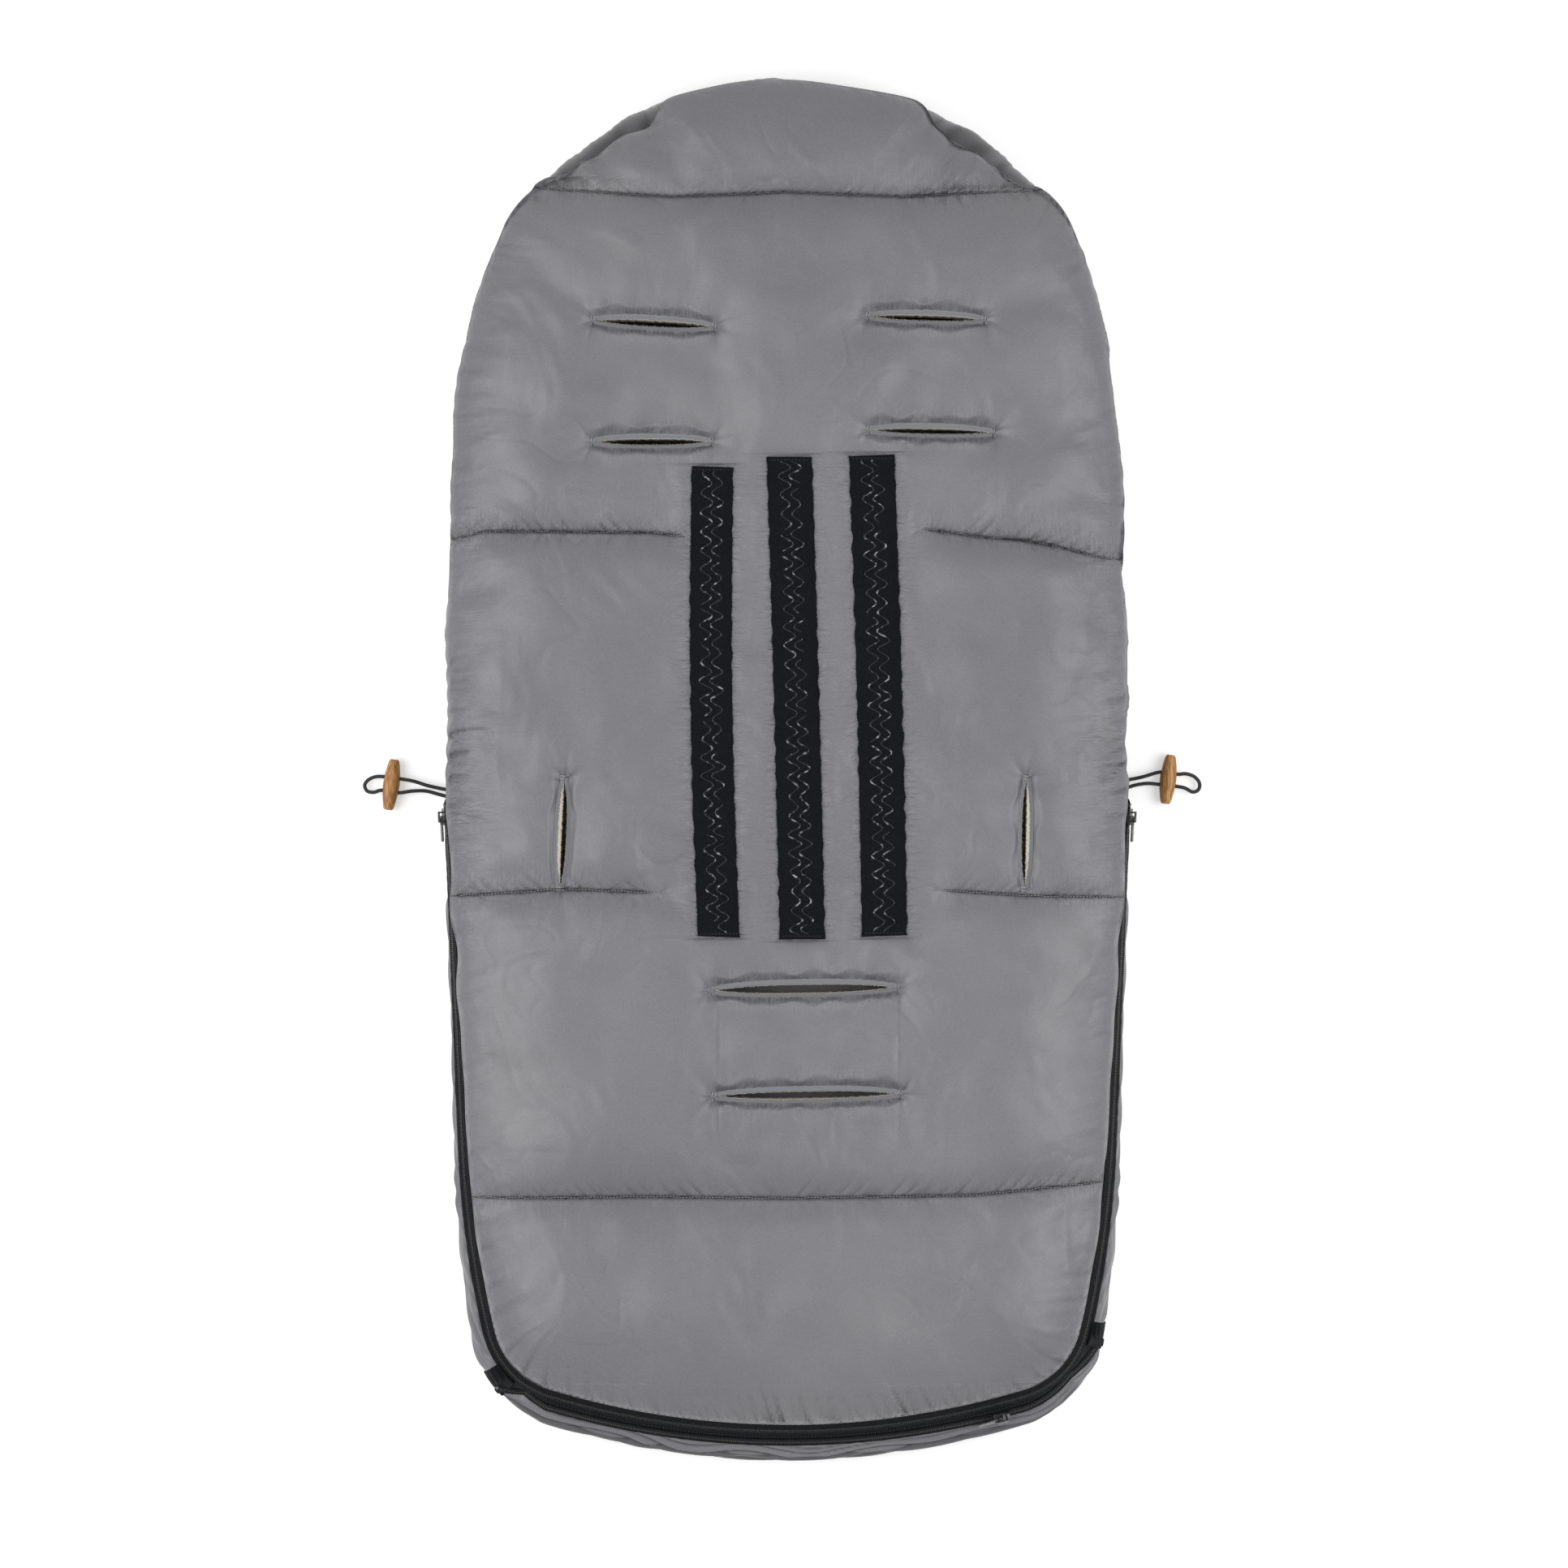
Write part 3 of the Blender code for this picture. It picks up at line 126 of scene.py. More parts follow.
def smoothed(field, rounds, bothWays=False):
    # In place, each inner value becomes a quarter, a half and a quarter of its neighbour, itself and the other one.
    for _ in range(rounds):
        field[1:-1] = (field[:-2] + 2.0 * field[1:-1] + field[2:]) / 4.0
        if bothWays:
            field[:, 1:-1] = (field[:, :-2] + 2.0 * field[:, 1:-1] + field[:, 2:]) / 4.0
    return field


def smoothedRing(ring, rounds):
    # The same for a closed line.
    for _ in range(rounds):
        ring = (np.roll(ring, 1, 0) + 2.0 * ring + np.roll(ring, -1, 0)) / 4.0
    return ring


def unit(vectors):
    # Vectors of length one.
    return vectors / np.linalg.norm(vectors, axis=-1, keepdims=True)


def surfaceNormals(grid):
    # Unit normals of a grid of points: the cross product of its column and row directions.
    across = np.gradient(grid, axis=1)
    along = np.gradient(grid, axis=0)
    normal = np.cross(across, along)
    return normal / np.maximum(np.linalg.norm(normal, axis=2), 1e-12)[..., None]


# Meshes from arrays.

def addThing(name, data):
    # An object for a mesh, camera or lamp, in the scene.
    thing = bpy.data.objects.new(name, data)
    bpy.context.scene.collection.objects.link(thing)
    return thing


def cornersOf(mapped):
    # The map's four values at each face's corners, in the faces' own order.
    return np.stack([mapped[:-1, :-1], mapped[:-1, 1:], mapped[1:, 1:], mapped[1:, :-1]], axis=2)


def belongs(piece, body, slotName, *solids):
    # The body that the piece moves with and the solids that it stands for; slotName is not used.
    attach(piece, body)
    if solids:
        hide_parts(*solids)


def thickened(piece, thick, offset=-1.0):
    # The surface gets the cloth's thickness on its inner side.
    skin = piece.modifiers.new("cloth", "SOLIDIFY")
    skin.thickness, skin.offset = thick, offset


def makePiece(name, points, quads, finishes, cornerUv=None, finishOf=None, extra=()):
    # A mesh from points and quads, with the texture map given per face corner, in metres.
    mesh = bpy.data.meshes.new(name)
    faces = quads.reshape(-1, 4).tolist() + [list(face) for face in extra]
    mesh.from_pydata(points.reshape(-1, 3).tolist(), [], faces)
    for finish in finishes:
        mesh.materials.append(finish)
    mesh.polygons.foreach_set("use_smooth", np.ones(len(faces), dtype=bool))
    if cornerUv is not None:
        layer = mesh.uv_layers.new(name="clothMap")
        flat = np.zeros((len(mesh.loops), 2), dtype=np.float32)
        flat[:quads.size] = cornerUv.reshape(-1, 2)
        layer.data.foreach_set("uv", flat.ravel())
    if finishOf is not None:
        which = np.zeros(len(faces), dtype=np.int32)
        which[:len(quads.reshape(-1, 4))] = finishOf.ravel()
        mesh.polygons.foreach_set("material_index", which)
    mesh.update()
    return addThing(name, mesh)


def gridParts(grid, closed=False, flip=False, first=0):
    # Quads of a grid of points and their corner map: distance along columns and rows.
    rows, columns = grid.shape[:2]
    r = np.arange(rows - 1)[:, None]
    c = np.arange(columns if closed else columns - 1)[None, :]
    n = (c + 1) % columns
    quads = np.stack([r * columns + c, r * columns + n, (r + 1) * columns + n, (r + 1) * columns + c], -1)
    quads = quads + first
    wide = np.concatenate([grid, grid[:, :1]], axis=1) if closed else grid
    across = np.cumsum(np.linalg.norm(np.diff(wide, axis=1), axis=2), axis=1)
    down = np.cumsum(np.linalg.norm(np.diff(wide, axis=0), axis=2), axis=0)
    u = np.concatenate([np.zeros((rows, 1)), across], 1)
    v = np.concatenate([np.zeros((1, wide.shape[1])), down], 0)
    corner = cornersOf(np.stack([u, np.broadcast_to(v.mean(axis=1, keepdims=True), v.shape)], -1))
    if flip:
        quads, corner = quads[..., ::-1], corner[..., ::-1, :]
    return quads, corner


def gridPiece(name, grid, finishes, closed=False, flip=False, caps=False, keep=None, rowFinish=None,
              mapped=None):
    # One surface from a grid of points; keep is a mask of the faces that stay, caps closes both ends.
    quads, corner = gridParts(grid, closed, flip)
    if mapped is not None:
        corner = cornersOf(mapped)
        corner = corner[..., ::-1, :] if flip else corner
    which = None if rowFinish is None else np.broadcast_to(rowFinish, quads.shape[:2])
    if keep is not None:
        quads, corner = quads[keep], corner[keep]
        which = None if which is None else which[keep]
    extra = []
    if caps:
        columns = grid.shape[1]
        start = list(range(columns))
        end = list(range(grid.shape[0] * columns - columns, grid.shape[0] * columns))
        extra = [start, end[::-1]] if flip else [start[::-1], end]
    return makePiece(name, grid, quads, finishes, corner, which, extra)


def joinedGrids(name, grids, finishes):
    # Several surfaces as one piece: (grid, closed, flip, finish index) each.
    points, quads, corners, which, first = [], [], [], [], 0
    for grid, closed, flip, index in grids:
        q, corner = gridParts(grid, closed, flip, first)
        points.append(grid.reshape(-1, 3))
        quads.append(q.reshape(-1, 4))
        corners.append(corner.reshape(-1, 4, 2))
        which.append(np.full(len(quads[-1]), index))
        first += grid.shape[0] * grid.shape[1]
    return makePiece(name, np.concatenate(points), np.concatenate(quads), finishes,
                     np.concatenate(corners), np.concatenate(which))


def welded(piece, distance=1e-6):
    # Merge doubled points, such as those of a pole or a closing seam.
    work = bmesh.new()
    work.from_mesh(piece.data)
    bmesh.ops.remove_doubles(work, verts=work.verts, dist=distance)
    bmesh.ops.dissolve_degenerate(work, edges=work.edges, dist=1e-8)
    work.to_mesh(piece.data)
    work.free()
    return piece


def tubeGrid(path, radius, sides, flatten=1.0, up=None):
    # Rings round a path: radius times cosine along the side vector and sine along the upper one.
    path = np.asarray(path, float)
    along = np.gradient(path, axis=0)
    along /= np.linalg.norm(along, axis=1)[:, None]
    up = np.array([0.0, 0.0, 1.0]) if up is None else up
    side = np.cross(along, np.broadcast_to(up, along.shape))
    side /= np.linalg.norm(side, axis=1)[:, None]
    top = np.cross(side, along)
    angle = fullTurn(sides)
    radius = np.broadcast_to(radius, (len(path),))[:, None, None]
    return (path[:, None] + radius * (np.cos(angle)[None, :, None] * side[:, None]
                                      + flatten * np.sin(angle)[None, :, None] * top[:, None]))


def repeated(name, template, quads, origins, xAxis, yAxis, zAxis, finishes):
    # Copies of one small shape at many frames: origin plus its x, y and z along the three axes.
    x, y, z = template[None, :, :1], template[None, :, 1:2], template[None, :, 2:]
    placed = origins[:, None] + x * xAxis[:, None] + y * yAxis[:, None] + z * zAxis[:, None]
    shift = (np.arange(len(origins)) * len(template))[:, None, None]
    return makePiece(name, placed, quads[None] + shift, finishes)


# Materials. A plain mask or value goes in, and one Principled shader comes out of each.

def addNode(tree, kind, inputs=None, **settings):
    # A node with its settings made and its inputs linked or filled in.
    node = tree.nodes.new(kind)
    for key, value in settings.items():
        setattr(node, key, value)
    for key, value in (inputs or {}).items():
        if isinstance(value, bpy.types.NodeSocket):
            tree.links.new(value, node.inputs[key])
        else:
            node.inputs[key].default_value = value
    return node


def maths(tree, operation, *values):
    # One arithmetic step on two or three values.
    return addNode(tree, "ShaderNodeMath", dict(enumerate(values)), operation=operation).outputs[0]


def ranged(tree, value, low, high, fromLow=0.0, fromHigh=1.0):
    # The value's range from fromLow to fromHigh becomes low to high.
    return addNode(tree, "ShaderNodeMapRange", {"Value": value, "From Min": fromLow, "From Max": fromHigh,
                                                "To Min": low, "To Max": high}).outputs[0]


def noiseOf(tree, place, scale, detail, distortion=0.0):
    # Plain noise from 0 to 1.
    return addNode(tree, "ShaderNodeTexNoise", {"Vector": place, "Scale": scale, "Detail": detail,
                                                "Distortion": distortion}).outputs["Fac"]


def stretched(tree, place, scale, turn=0.0):
    # The place, scaled for each axis and turned about the upright one.
    return addNode(tree, "ShaderNodeMapping", {"Vector": place, "Rotation": (0.0, 0.0, turn),
                                               "Scale": scale}).outputs[0]


def newGroup(name, output, **values):
    # A node group with one vector and some plain values going in, and one value coming out.
    group = bpy.data.node_groups.new(name, "ShaderNodeTree")
    group.interface.new_socket(name="Vector", in_out="INPUT", socket_type="NodeSocketVector")
    for word, value in values.items():
        socket = group.interface.new_socket(name=word, in_out="INPUT", socket_type="NodeSocketFloat")
        socket.default_value = value
    group.interface.new_socket(name=output, in_out="OUTPUT", socket_type="NodeSocketFloat")
    given = group.nodes.new("NodeGroupInput").outputs
    return group, given, group.nodes.new("NodeGroupOutput").inputs[0]


def waveOf(tree, value, pitch):
    # Sine of a value that repeats at the pitch.
    return maths(tree, "SINE", maths(tree, "MULTIPLY", maths(tree, "DIVIDE", value, pitch), 2.0 * pi))


def makeWeaveGroup():
    # Height of a plain weave: the product of two sines of the map, turned by the lean.
    group, given, out = newGroup("threadWeave", "Height", Pitch=0.0006, Lean=0.0)
    parts = addNode(group, "ShaderNodeSeparateXYZ", {0: given["Vector"]}).outputs
    first = maths(group, "ADD", parts[0], maths(group, "MULTIPLY", parts[1], given["Lean"]))
    waves = [waveOf(group, value, given["Pitch"]) for value in (first, parts[1])]
    group.links.new(maths(group, "MULTIPLY", *waves), out)
    return group


def makePatchGroup():
    # A soft mask from 0 to 1: detailed noise with its contrast raised.
    group, given, out = newGroup("softPatches", "Mask", Scale=10.0, Detail=3.0)
    noise = noiseOf(group, given["Vector"], given["Scale"], given["Detail"])
    group.links.new(ranged(group, noise, 0.0, 1.0, 0.30, 0.70), out)
    return group


def makeRibGroup():
    # A mask of slanted ribs: sine of the second map value plus the first one times the lean.
    group, given, out = newGroup("slantedRibs", "Height", Pitch=0.001, Lean=1.0)
    parts = addNode(group, "ShaderNodeSeparateXYZ", {0: given["Vector"]}).outputs
    total = maths(group, "ADD", maths(group, "MULTIPLY", parts[0], given["Lean"]), parts[1])
    group.links.new(maths(group, "MULTIPLY_ADD", waveOf(group, total, given["Pitch"]), 0.5, 0.5), out)
    return group


weaveGroup = makeWeaveGroup()
patchGroup = makePatchGroup()
ribGroup = makeRibGroup()


def grouped(tree, group, **inputs):
    # One node group's value.
    return addNode(tree, "ShaderNodeGroup", inputs, node_tree=group).outputs[0]


def patches(tree, place, scale, detail):
    return grouped(tree, patchGroup, Vector=place, Scale=scale, Detail=detail)


def ribbed(tree, cloth, pitch, lean):
    return grouped(tree, ribGroup, Vector=cloth, Pitch=pitch, Lean=lean)


def woven(tree, cloth, pitch, lean):
    return grouped(tree, weaveGroup, Vector=cloth, Pitch=pitch, Lean=lean)


def painted(tree, word):
    # A mask that a piece carries at its points.
    return addNode(tree, "ShaderNodeAttribute", attribute_name=word).outputs["Fac"]


def startFinish(name, specular=0.5, **sockets):
    # A material with its plain values set on the shader; returns the tree, the shader and both coordinates.
    finish = bpy.data.materials.new(name)
    finish.use_nodes = True
    tree = finish.node_tree
    shader = tree.nodes["Principled BSDF"]
    shader.inputs["Specular IOR Level"].default_value = specular
    for key, value in sockets.items():
        shader.inputs[key].default_value = value
    place = addNode(tree, "ShaderNodeTexCoord").outputs
    return finish, tree, shader, place["Object"], place["UV"]


def bumped(tree, shader, layers):
    # Bump nodes in a chain: (height, distance in metres, strength) each.
    normal = None
    for height, distance, strength in layers:
        inputs = {"Height": height, "Distance": distance, "Strength": strength}
        if normal is not None:
            inputs["Normal"] = normal
        normal = addNode(tree, "ShaderNodeBump", inputs).outputs[0]
    tree.links.new(normal, shader.inputs["Normal"])


def blended(tree, shader, mask, first, second):
    # The shader's colour runs from the first to the second with the mask; the first may come from a node.
    first = first if isinstance(first, bpy.types.NodeSocket) else (*first, 1.0)
    mix = addNode(tree, "ShaderNodeMix", {"Factor": mask, 6: first, 7: (*second, 1.0)}, data_type="RGBA")
    tree.links.new(mix.outputs[2], shader.inputs["Base Color"])
    return mix.outputs[2]


def roughened(tree, shader, mask, low, high):
    # Roughness between two values, by a mask.
    tree.links.new(ranged(tree, mask, low, high), shader.inputs["Roughness"])


# the darkest colour is painted shade for creases, tucks and hollows
satin = {"dark": (0.122, 0.120, 0.136), "light": (0.148, 0.146, 0.157), "speck": (0.45, 0.45, 0.46),
         "paintedShadeColour": (0.012, 0.012, 0.014), "rough": (0.32, 0.42), "wrinkle": 0.0058}


def satinFinish():
    # Grey satin: slow and fine drifts of tone, and painted shade: the colour runs towards near black where the piece's
    # painted-shade attribute marks tucks, creases and hollows.
    finish, tree, shader, place, cloth = startFinish("greySatin", 0.60,
                                                     **{"Sheen Weight": 0.04, "Sheen Roughness": 0.5})
    colour = blended(tree, shader, patches(tree, place, 7.0, 4.0), satin["dark"], satin["light"])
    grain = ranged(tree, patches(tree, place, 900.0, 3.0), 0.0, 0.10)
    colour = blended(tree, shader, grain, colour, satin["speck"])
    # painted shade: the point attribute darkens the colour where shade would fall in creases and tucks
    blended(tree, shader, painted(tree, "paintedShade"), colour, satin["paintedShadeColour"])
    roughened(tree, shader, patches(tree, place, 60.0, 5.0), *satin["rough"])
    folds = []
    for word, scale in (("gather", (420.0, 70.0, 70.0)), ("ruffle", (80.0, 330.0, 80.0))):
        streak = noiseOf(tree, stretched(tree, place, scale), 1.0, 3.0, 0.5)
        folds.append((maths(tree, "MULTIPLY", streak, painted(tree, word)), satin["wrinkle"], 0.85))
    bumped(tree, shader, [(noiseOf(tree, place, 26.0, 3.0, 0.6), 0.0011, 0.5),
                          (noiseOf(tree, place, 130.0, 4.0), 0.0005, 0.4), *folds,
                          (woven(tree, cloth, 0.00055, 0.35), 0.00006, 0.35)])
    return finish


def fleeceFinish(name, first, second):
    # Tufts of two tones, with small clumps and a slow drift of height.
    finish, tree, shader, place, _ = startFinish(name, 0.15, Roughness=0.95,
                                                 **{"Sheen Weight": 0.5, "Sheen Roughness": 0.6})
    tufts = patches(tree, place, 240.0, 5.0)
    blended(tree, shader, tufts, first, second)
    clumps = addNode(tree, "ShaderNodeTexVoronoi", {"Vector": place, "Scale": 320.0}).outputs["Distance"]
    bumped(tree, shader, [(noiseOf(tree, place, 45.0, 3.0), 0.004, 0.4), (tufts, 0.0012, 0.6), (clumps, 0.0008, 0.5)])
    return finish


def twillFinish():
    # Ribs that lean one way on the left half of the tape and the other way on the right, from the map.
    finish, tree, shader, place, cloth = startFinish("blackTwill", 0.06, **{"Sheen Weight": 0.01})
    parts = addNode(tree, "ShaderNodeSeparateXYZ", {0: cloth}).outputs
    away = maths(tree, "ABSOLUTE", parts[0])
    folded = addNode(tree, "ShaderNodeCombineXYZ", {0: away, 1: parts[1]}).outputs[0]
    ribs = ribbed(tree, folded, 0.00235, 2.1)
    fuzz = patches(tree, place, 400.0, 4.0)
    blended(tree, shader, ribs, (0.0020, 0.0024, 0.0032), (0.0095, 0.0105, 0.0130))
    roughened(tree, shader, fuzz, 0.62, 0.85)
    bumped(tree, shader, [(ribs, 0.00022, 0.8), (fuzz, 0.00012, 0.5)])
    return finish


def zipTapeFinish():
    # Fine upright ribs under a fuzz of two blacks.
    finish, tree, shader, place, cloth = startFinish("blackZipTape", 0.10)
    ribs = ribbed(tree, cloth, 0.0006, 0.0)
    fuzz = patches(tree, place, 260.0, 4.0)
    blended(tree, shader, fuzz, (0.0020, 0.0024, 0.0034), (0.0056, 0.0062, 0.0084))
    roughened(tree, shader, fuzz, 0.60, 0.80)
    bumped(tree, shader, [(ribs, 0.00010, 0.6), (fuzz, 0.00015, 0.4)])
    return finish


def coilFinish():
    # Smooth black nylon with small worn spots.
    finish, tree, shader, place, _ = startFinish("nylonCoil", 0.38)
    wear = patches(tree, place, 500.0, 2.0)
    blended(tree, shader, wear, (0.004, 0.0045, 0.0055), (0.012, 0.013, 0.0150))
    roughened(tree, shader, wear, 0.22, 0.40)
    bumped(tree, shader, [(wear, 0.00006, 0.4)])
    return finish


def lacquerFinish():
    # Black lacquered metal, rubbed through to a greyer tone on its edges and high spots.
    finish, tree, shader, place, _ = startFinish("blackLacquer", Metallic=0.75)
    wear = patches(tree, place, 620.0, 6.0)
    edge = addNode(tree, "ShaderNodeNewGeometry").outputs["Pointiness"]
    rubbed = ranged(tree, edge, 0.0, 1.0, 0.50, 0.62)
    blended(tree, shader, maths(tree, "MULTIPLY", rubbed, wear), (0.014, 0.014, 0.016), (0.20, 0.20, 0.205))
    roughened(tree, shader, wear, 0.24, 0.42)
    bumped(tree, shader, [(wear, 0.00005, 0.3)])
    return finish


def threadFinish(name, dark, light, pitch=0.0007, lean=1.2):
    # Twisted thread: slanted strands that run from dark to light.
    finish, tree, shader, place, cloth = startFinish(name, 0.35, **{"Sheen Weight": 0.1})
    strands = ribbed(tree, cloth, pitch, lean)
    fuzz = patches(tree, place, 500.0, 3.0)
    blended(tree, shader, strands, dark, light)
    roughened(tree, shader, fuzz, 0.55, 0.75)
    bumped(tree, shader, [(strands, 0.00016, 0.8), (fuzz, 0.00012, 0.4)])
    return finish


def braidFinish():
    # Elastic cord: a fine braid from the map round and along the cord.
    finish, tree, shader, _, cloth = startFinish("braidedElastic", 0.4, **{"Sheen Weight": 0.15})
    braid = woven(tree, cloth, 0.00095, 0.8)
    blended(tree, shader, ranged(tree, braid, 0.35, 0.75), (0.006, 0.007, 0.008), (0.024, 0.026, 0.029))
    roughened(tree, shader, braid, 0.55, 0.68)
    bumped(tree, shader, [(braid, 0.00012, 0.7)])
    return finish


def woodFinish():
    # Bamboo-like wood: bands along the toggle from stretched noise, darker pores between them.
    finish, tree, shader, place, _ = startFinish("toggleWood", 0.4, **{"Coat Weight": 0.15, "Coat Roughness": 0.3})
    grain = noiseOf(tree, stretched(tree, place, (900.0, 34.0, 900.0), 0.12), 1.0, 5.0)
    pores = noiseOf(tree, stretched(tree, place, (2600.0, 110.0, 2600.0), 0.12), 1.0, 3.0)
    bands = ranged(tree, grain, 0.0, 1.0, 0.38, 0.62)
    blended(tree, shader, bands, (0.26, 0.105, 0.026), (0.56, 0.29, 0.092))
    roughened(tree, shader, pores, 0.38, 0.60)
    bumped(tree, shader, [(grain, 0.0002, 0.5), (pores, 0.0001, 0.5)])
    return finish


def siliconeFinish():
    # Clear beads over black tape read as near-black gloss; painted highlights come and go along them as broken pale
    # glints.
    finish, tree, shader, place, _ = startFinish("clearSilicone", 0.35, IOR=1.41, **{"Coat Roughness": 0.06})
    paintedGlints = ranged(tree, patches(tree, place, 260.0, 2.0), 0.0, 1.0, 0.62, 1.05)
    # painted highlight: pale patches in the colour stand for glints of the lamps
    blended(tree, shader, paintedGlints, (0.010, 0.011, 0.013), (0.34, 0.35, 0.36))
    roughened(tree, shader, paintedGlints, 0.10, 0.30)
    bumped(tree, shader, [(paintedGlints, 0.0004, 0.6)])
    return finish


greySatin = satinFinish()
creamFleece = fleeceFinish("creamFleece", (0.60, 0.54, 0.42), (0.74, 0.69, 0.57))
blackTwill = twillFinish()
zipTape = zipTapeFinish()
nylonCoil = coilFinish()
blackLacquer = lacquerFinish()
satinThread = threadFinish("satinStitch", (0.085, 0.086, 0.095), (0.34, 0.345, 0.36), 0.0062, 4.0)
paleThread = threadFinish("paleThread", (0.22, 0.22, 0.23), (0.42, 0.42, 0.43))
blackThread = threadFinish("blackThread", (0.003, 0.003, 0.004), (0.012, 0.012, 0.014))
fray = threadFinish("frayedEdge", (0.30, 0.295, 0.28), (0.80, 0.78, 0.71), 0.0055, 3.0)
darkThread = threadFinish("gussetThread", (0.020, 0.020, 0.022), (0.060, 0.060, 0.064))
braidedElastic = braidFinish()
toggleWood = woodFinish()
clearSilicone = siliconeFinish()
print("materials made")


# The camera, then the cords with their toggles.

view = {"x": -0.0023, "y": -0.0094, "height": 5.0, "level": 0.070, "width": 1.1303, "sensor": 36.0}


def makeCamera():
    # Straight down, so far up that the object's top and its rim keep the photo's proportions.
    data = bpy.data.cameras.new("photoCamera")
    camera = addThing("photoCamera", data)
    data.sensor_width = view["sensor"]
    data.lens = view["sensor"] * (view["height"] - view["level"]) / view["width"]
    data.clip_end = 30.0
    camera.location = (view["x"], view["y"], view["height"])
    bpy.context.scene.camera = camera


makeCamera()

cords = {
    "diameter": 0.0027,
    "left": [(-0.2393, -0.0046, 0.0053), (-0.2396, -0.0085, 0.0053), (-0.2418, -0.0121, 0.0053),
             (-0.2460, -0.0137, 0.0054), (-0.2520, -0.0129, 0.0055), (-0.2627, -0.0105, 0.0058),
             (-0.2726, -0.0074, 0.0062), (-0.2814, -0.0058, 0.0064), (-0.2884, -0.0049, 0.0064),
             (-0.2953, -0.0040, 0.0064), (-0.3010, -0.0042, 0.0058), (-0.3062, -0.0066, 0.0046),
             (-0.3086, -0.0104, 0.0038), (-0.3068, -0.0145, 0.0044), (-0.3020, -0.0155, 0.0056),
             (-0.2966, -0.0140, 0.0064), (-0.2896, -0.0149, 0.0064), (-0.2827, -0.0158, 0.0064),
             (-0.2740, -0.0146, 0.0062), (-0.2640, -0.0145, 0.0058), (-0.2550, -0.0168, 0.0055),
             (-0.2486, -0.0184, 0.0054), (-0.2436, -0.0187, 0.0053)],
    "right": [(0.2393, 0.0024, 0.0053), (0.2396, -0.0015, 0.0053), (0.2418, -0.0051, 0.0053),
              (0.2460, -0.0066, 0.0054), (0.2520, -0.0058, 0.0055), (0.2603, -0.0040, 0.0060),
              (0.2716, -0.0008, 0.0064), (0.2786, -0.0015, 0.0064), (0.2855, -0.0023, 0.0064),
              (0.2915, -0.0020, 0.0060), (0.2976, -0.0042, 0.0048), (0.3012, -0.0088, 0.0038),
              (0.3004, -0.0136, 0.0042), (0.2960, -0.0152, 0.0054), (0.2905, -0.0124, 0.0062),
              (0.2845, -0.0112, 0.0064), (0.2776, -0.0105, 0.0064), (0.2706, -0.0096, 0.0064),
              (0.2627, -0.0090, 0.0060), (0.2540, -0.0103, 0.0055), (0.2480, -0.0122, 0.0054),
              (0.2432, -0.0128, 0.0053)],
}
toggles = {
    "left": {"middle": (-0.2890, -0.0099, 0.0064), "tilt": 7.3, "length": 0.0372, "holes": 0.0100},
    "right": {"middle": (0.2781, -0.0060, 0.0064), "tilt": 6.6, "length": 0.0360, "holes": 0.0090},
    "radius": 0.0061, "hole": 0.0036,
    "profile": [(-0.5, 0.30), (-0.497, 0.42), (-0.485, 0.53), (-0.45, 0.63), (-0.38, 0.73), (-0.28, 0.84),
                (-0.16, 0.94), (0.0, 1.0)],
}


def facedOutwards(piece):
    # All faces of a closed piece turned outwards.
    work = bmesh.new()
    work.from_mesh(piece.data)
    bmesh.ops.recalc_face_normals(work, faces=work.faces)
    work.to_mesh(piece.data)
    work.free()


def makeToggle(side):
    # A turned barrel: the profile radius goes round its own axis; two cylinders are cut across it.
    use = toggles[side]
    turn = math.radians(use["tilt"])
    axis = np.array([math.sin(turn), math.cos(turn), 0.0])
    across = np.array([math.cos(turn), -math.sin(turn), 0.0])
    up = np.array([0.0, 0.0, 1.0])
    half = np.array(toggles["profile"])
    profile = throughPoints(np.concatenate([half, half[-2::-1] * [-1.0, 1.0]]), 4)
    angle = fullTurn(40)
    spoke = np.cos(angle)[:, None] * up + np.sin(angle)[:, None] * across
    middle = np.array(use["middle"])
    grid = middle + axis * (profile[:, :1, None] * use["length"]) + spoke[None] * (
        profile[:, 1, None, None] * toggles["radius"])
    piece = gridPiece(side + "_toggle_barrel", grid, [toggleWood], closed=True, caps=True, flip=True)
    drills = []
    for shift in (-0.5, 0.5):
        path = middle + axis * use["holes"] * shift + across * np.linspace(-0.012, 0.012, 9)[:, None]
        drills.append(gridPiece("drill", tubeGrid(path, toggles["hole"] / 2.0, 24), [toggleWood], closed=True,
                                caps=True, flip=True))
        facedOutwards(drills[-1])
        step = piece.modifiers.new("hole", "BOOLEAN")
        step.object, step.operation, step.solver = drills[-1], "DIFFERENCE", "EXACT"
    facedOutwards(piece)
    bpy.context.view_layer.update()
    done = bpy.data.meshes.new_from_object(piece.evaluated_get(bpy.context.evaluated_depsgraph_get()))
    piece.modifiers.clear()
    piece.data = done
    for drill in drills:
        bpy.data.objects.remove(drill)
    bevel = piece.modifiers.new("rims", "BEVEL")
    bevel.width, bevel.segments = 0.0003, 2
    bevel.limit_method, bevel.angle_limit = "ANGLE", math.radians(50)
    done.shade_smooth()
    belongs(piece, side + "_toggle_body", "toggle_wood", side + "_toggle")
    return piece


def makeCords():
    # Each elastic loop is a round tube along its line, through its toggle.
    for side in ("left", "right"):
        barrel = makeToggle(side)
        curve = throughPoints(cords[side], 12)
        path = evenly(curve, 160)
        piece = gridPiece(side + "_elastic_loop", tubeGrid(path, cords["diameter"] / 2.0, 14), [braidedElastic],
                          closed=True, caps=True, flip=True)
        belongs(piece, "back", "elastic_cord", side + "_cord_loop")


makeCords()


# The zip line in plan.

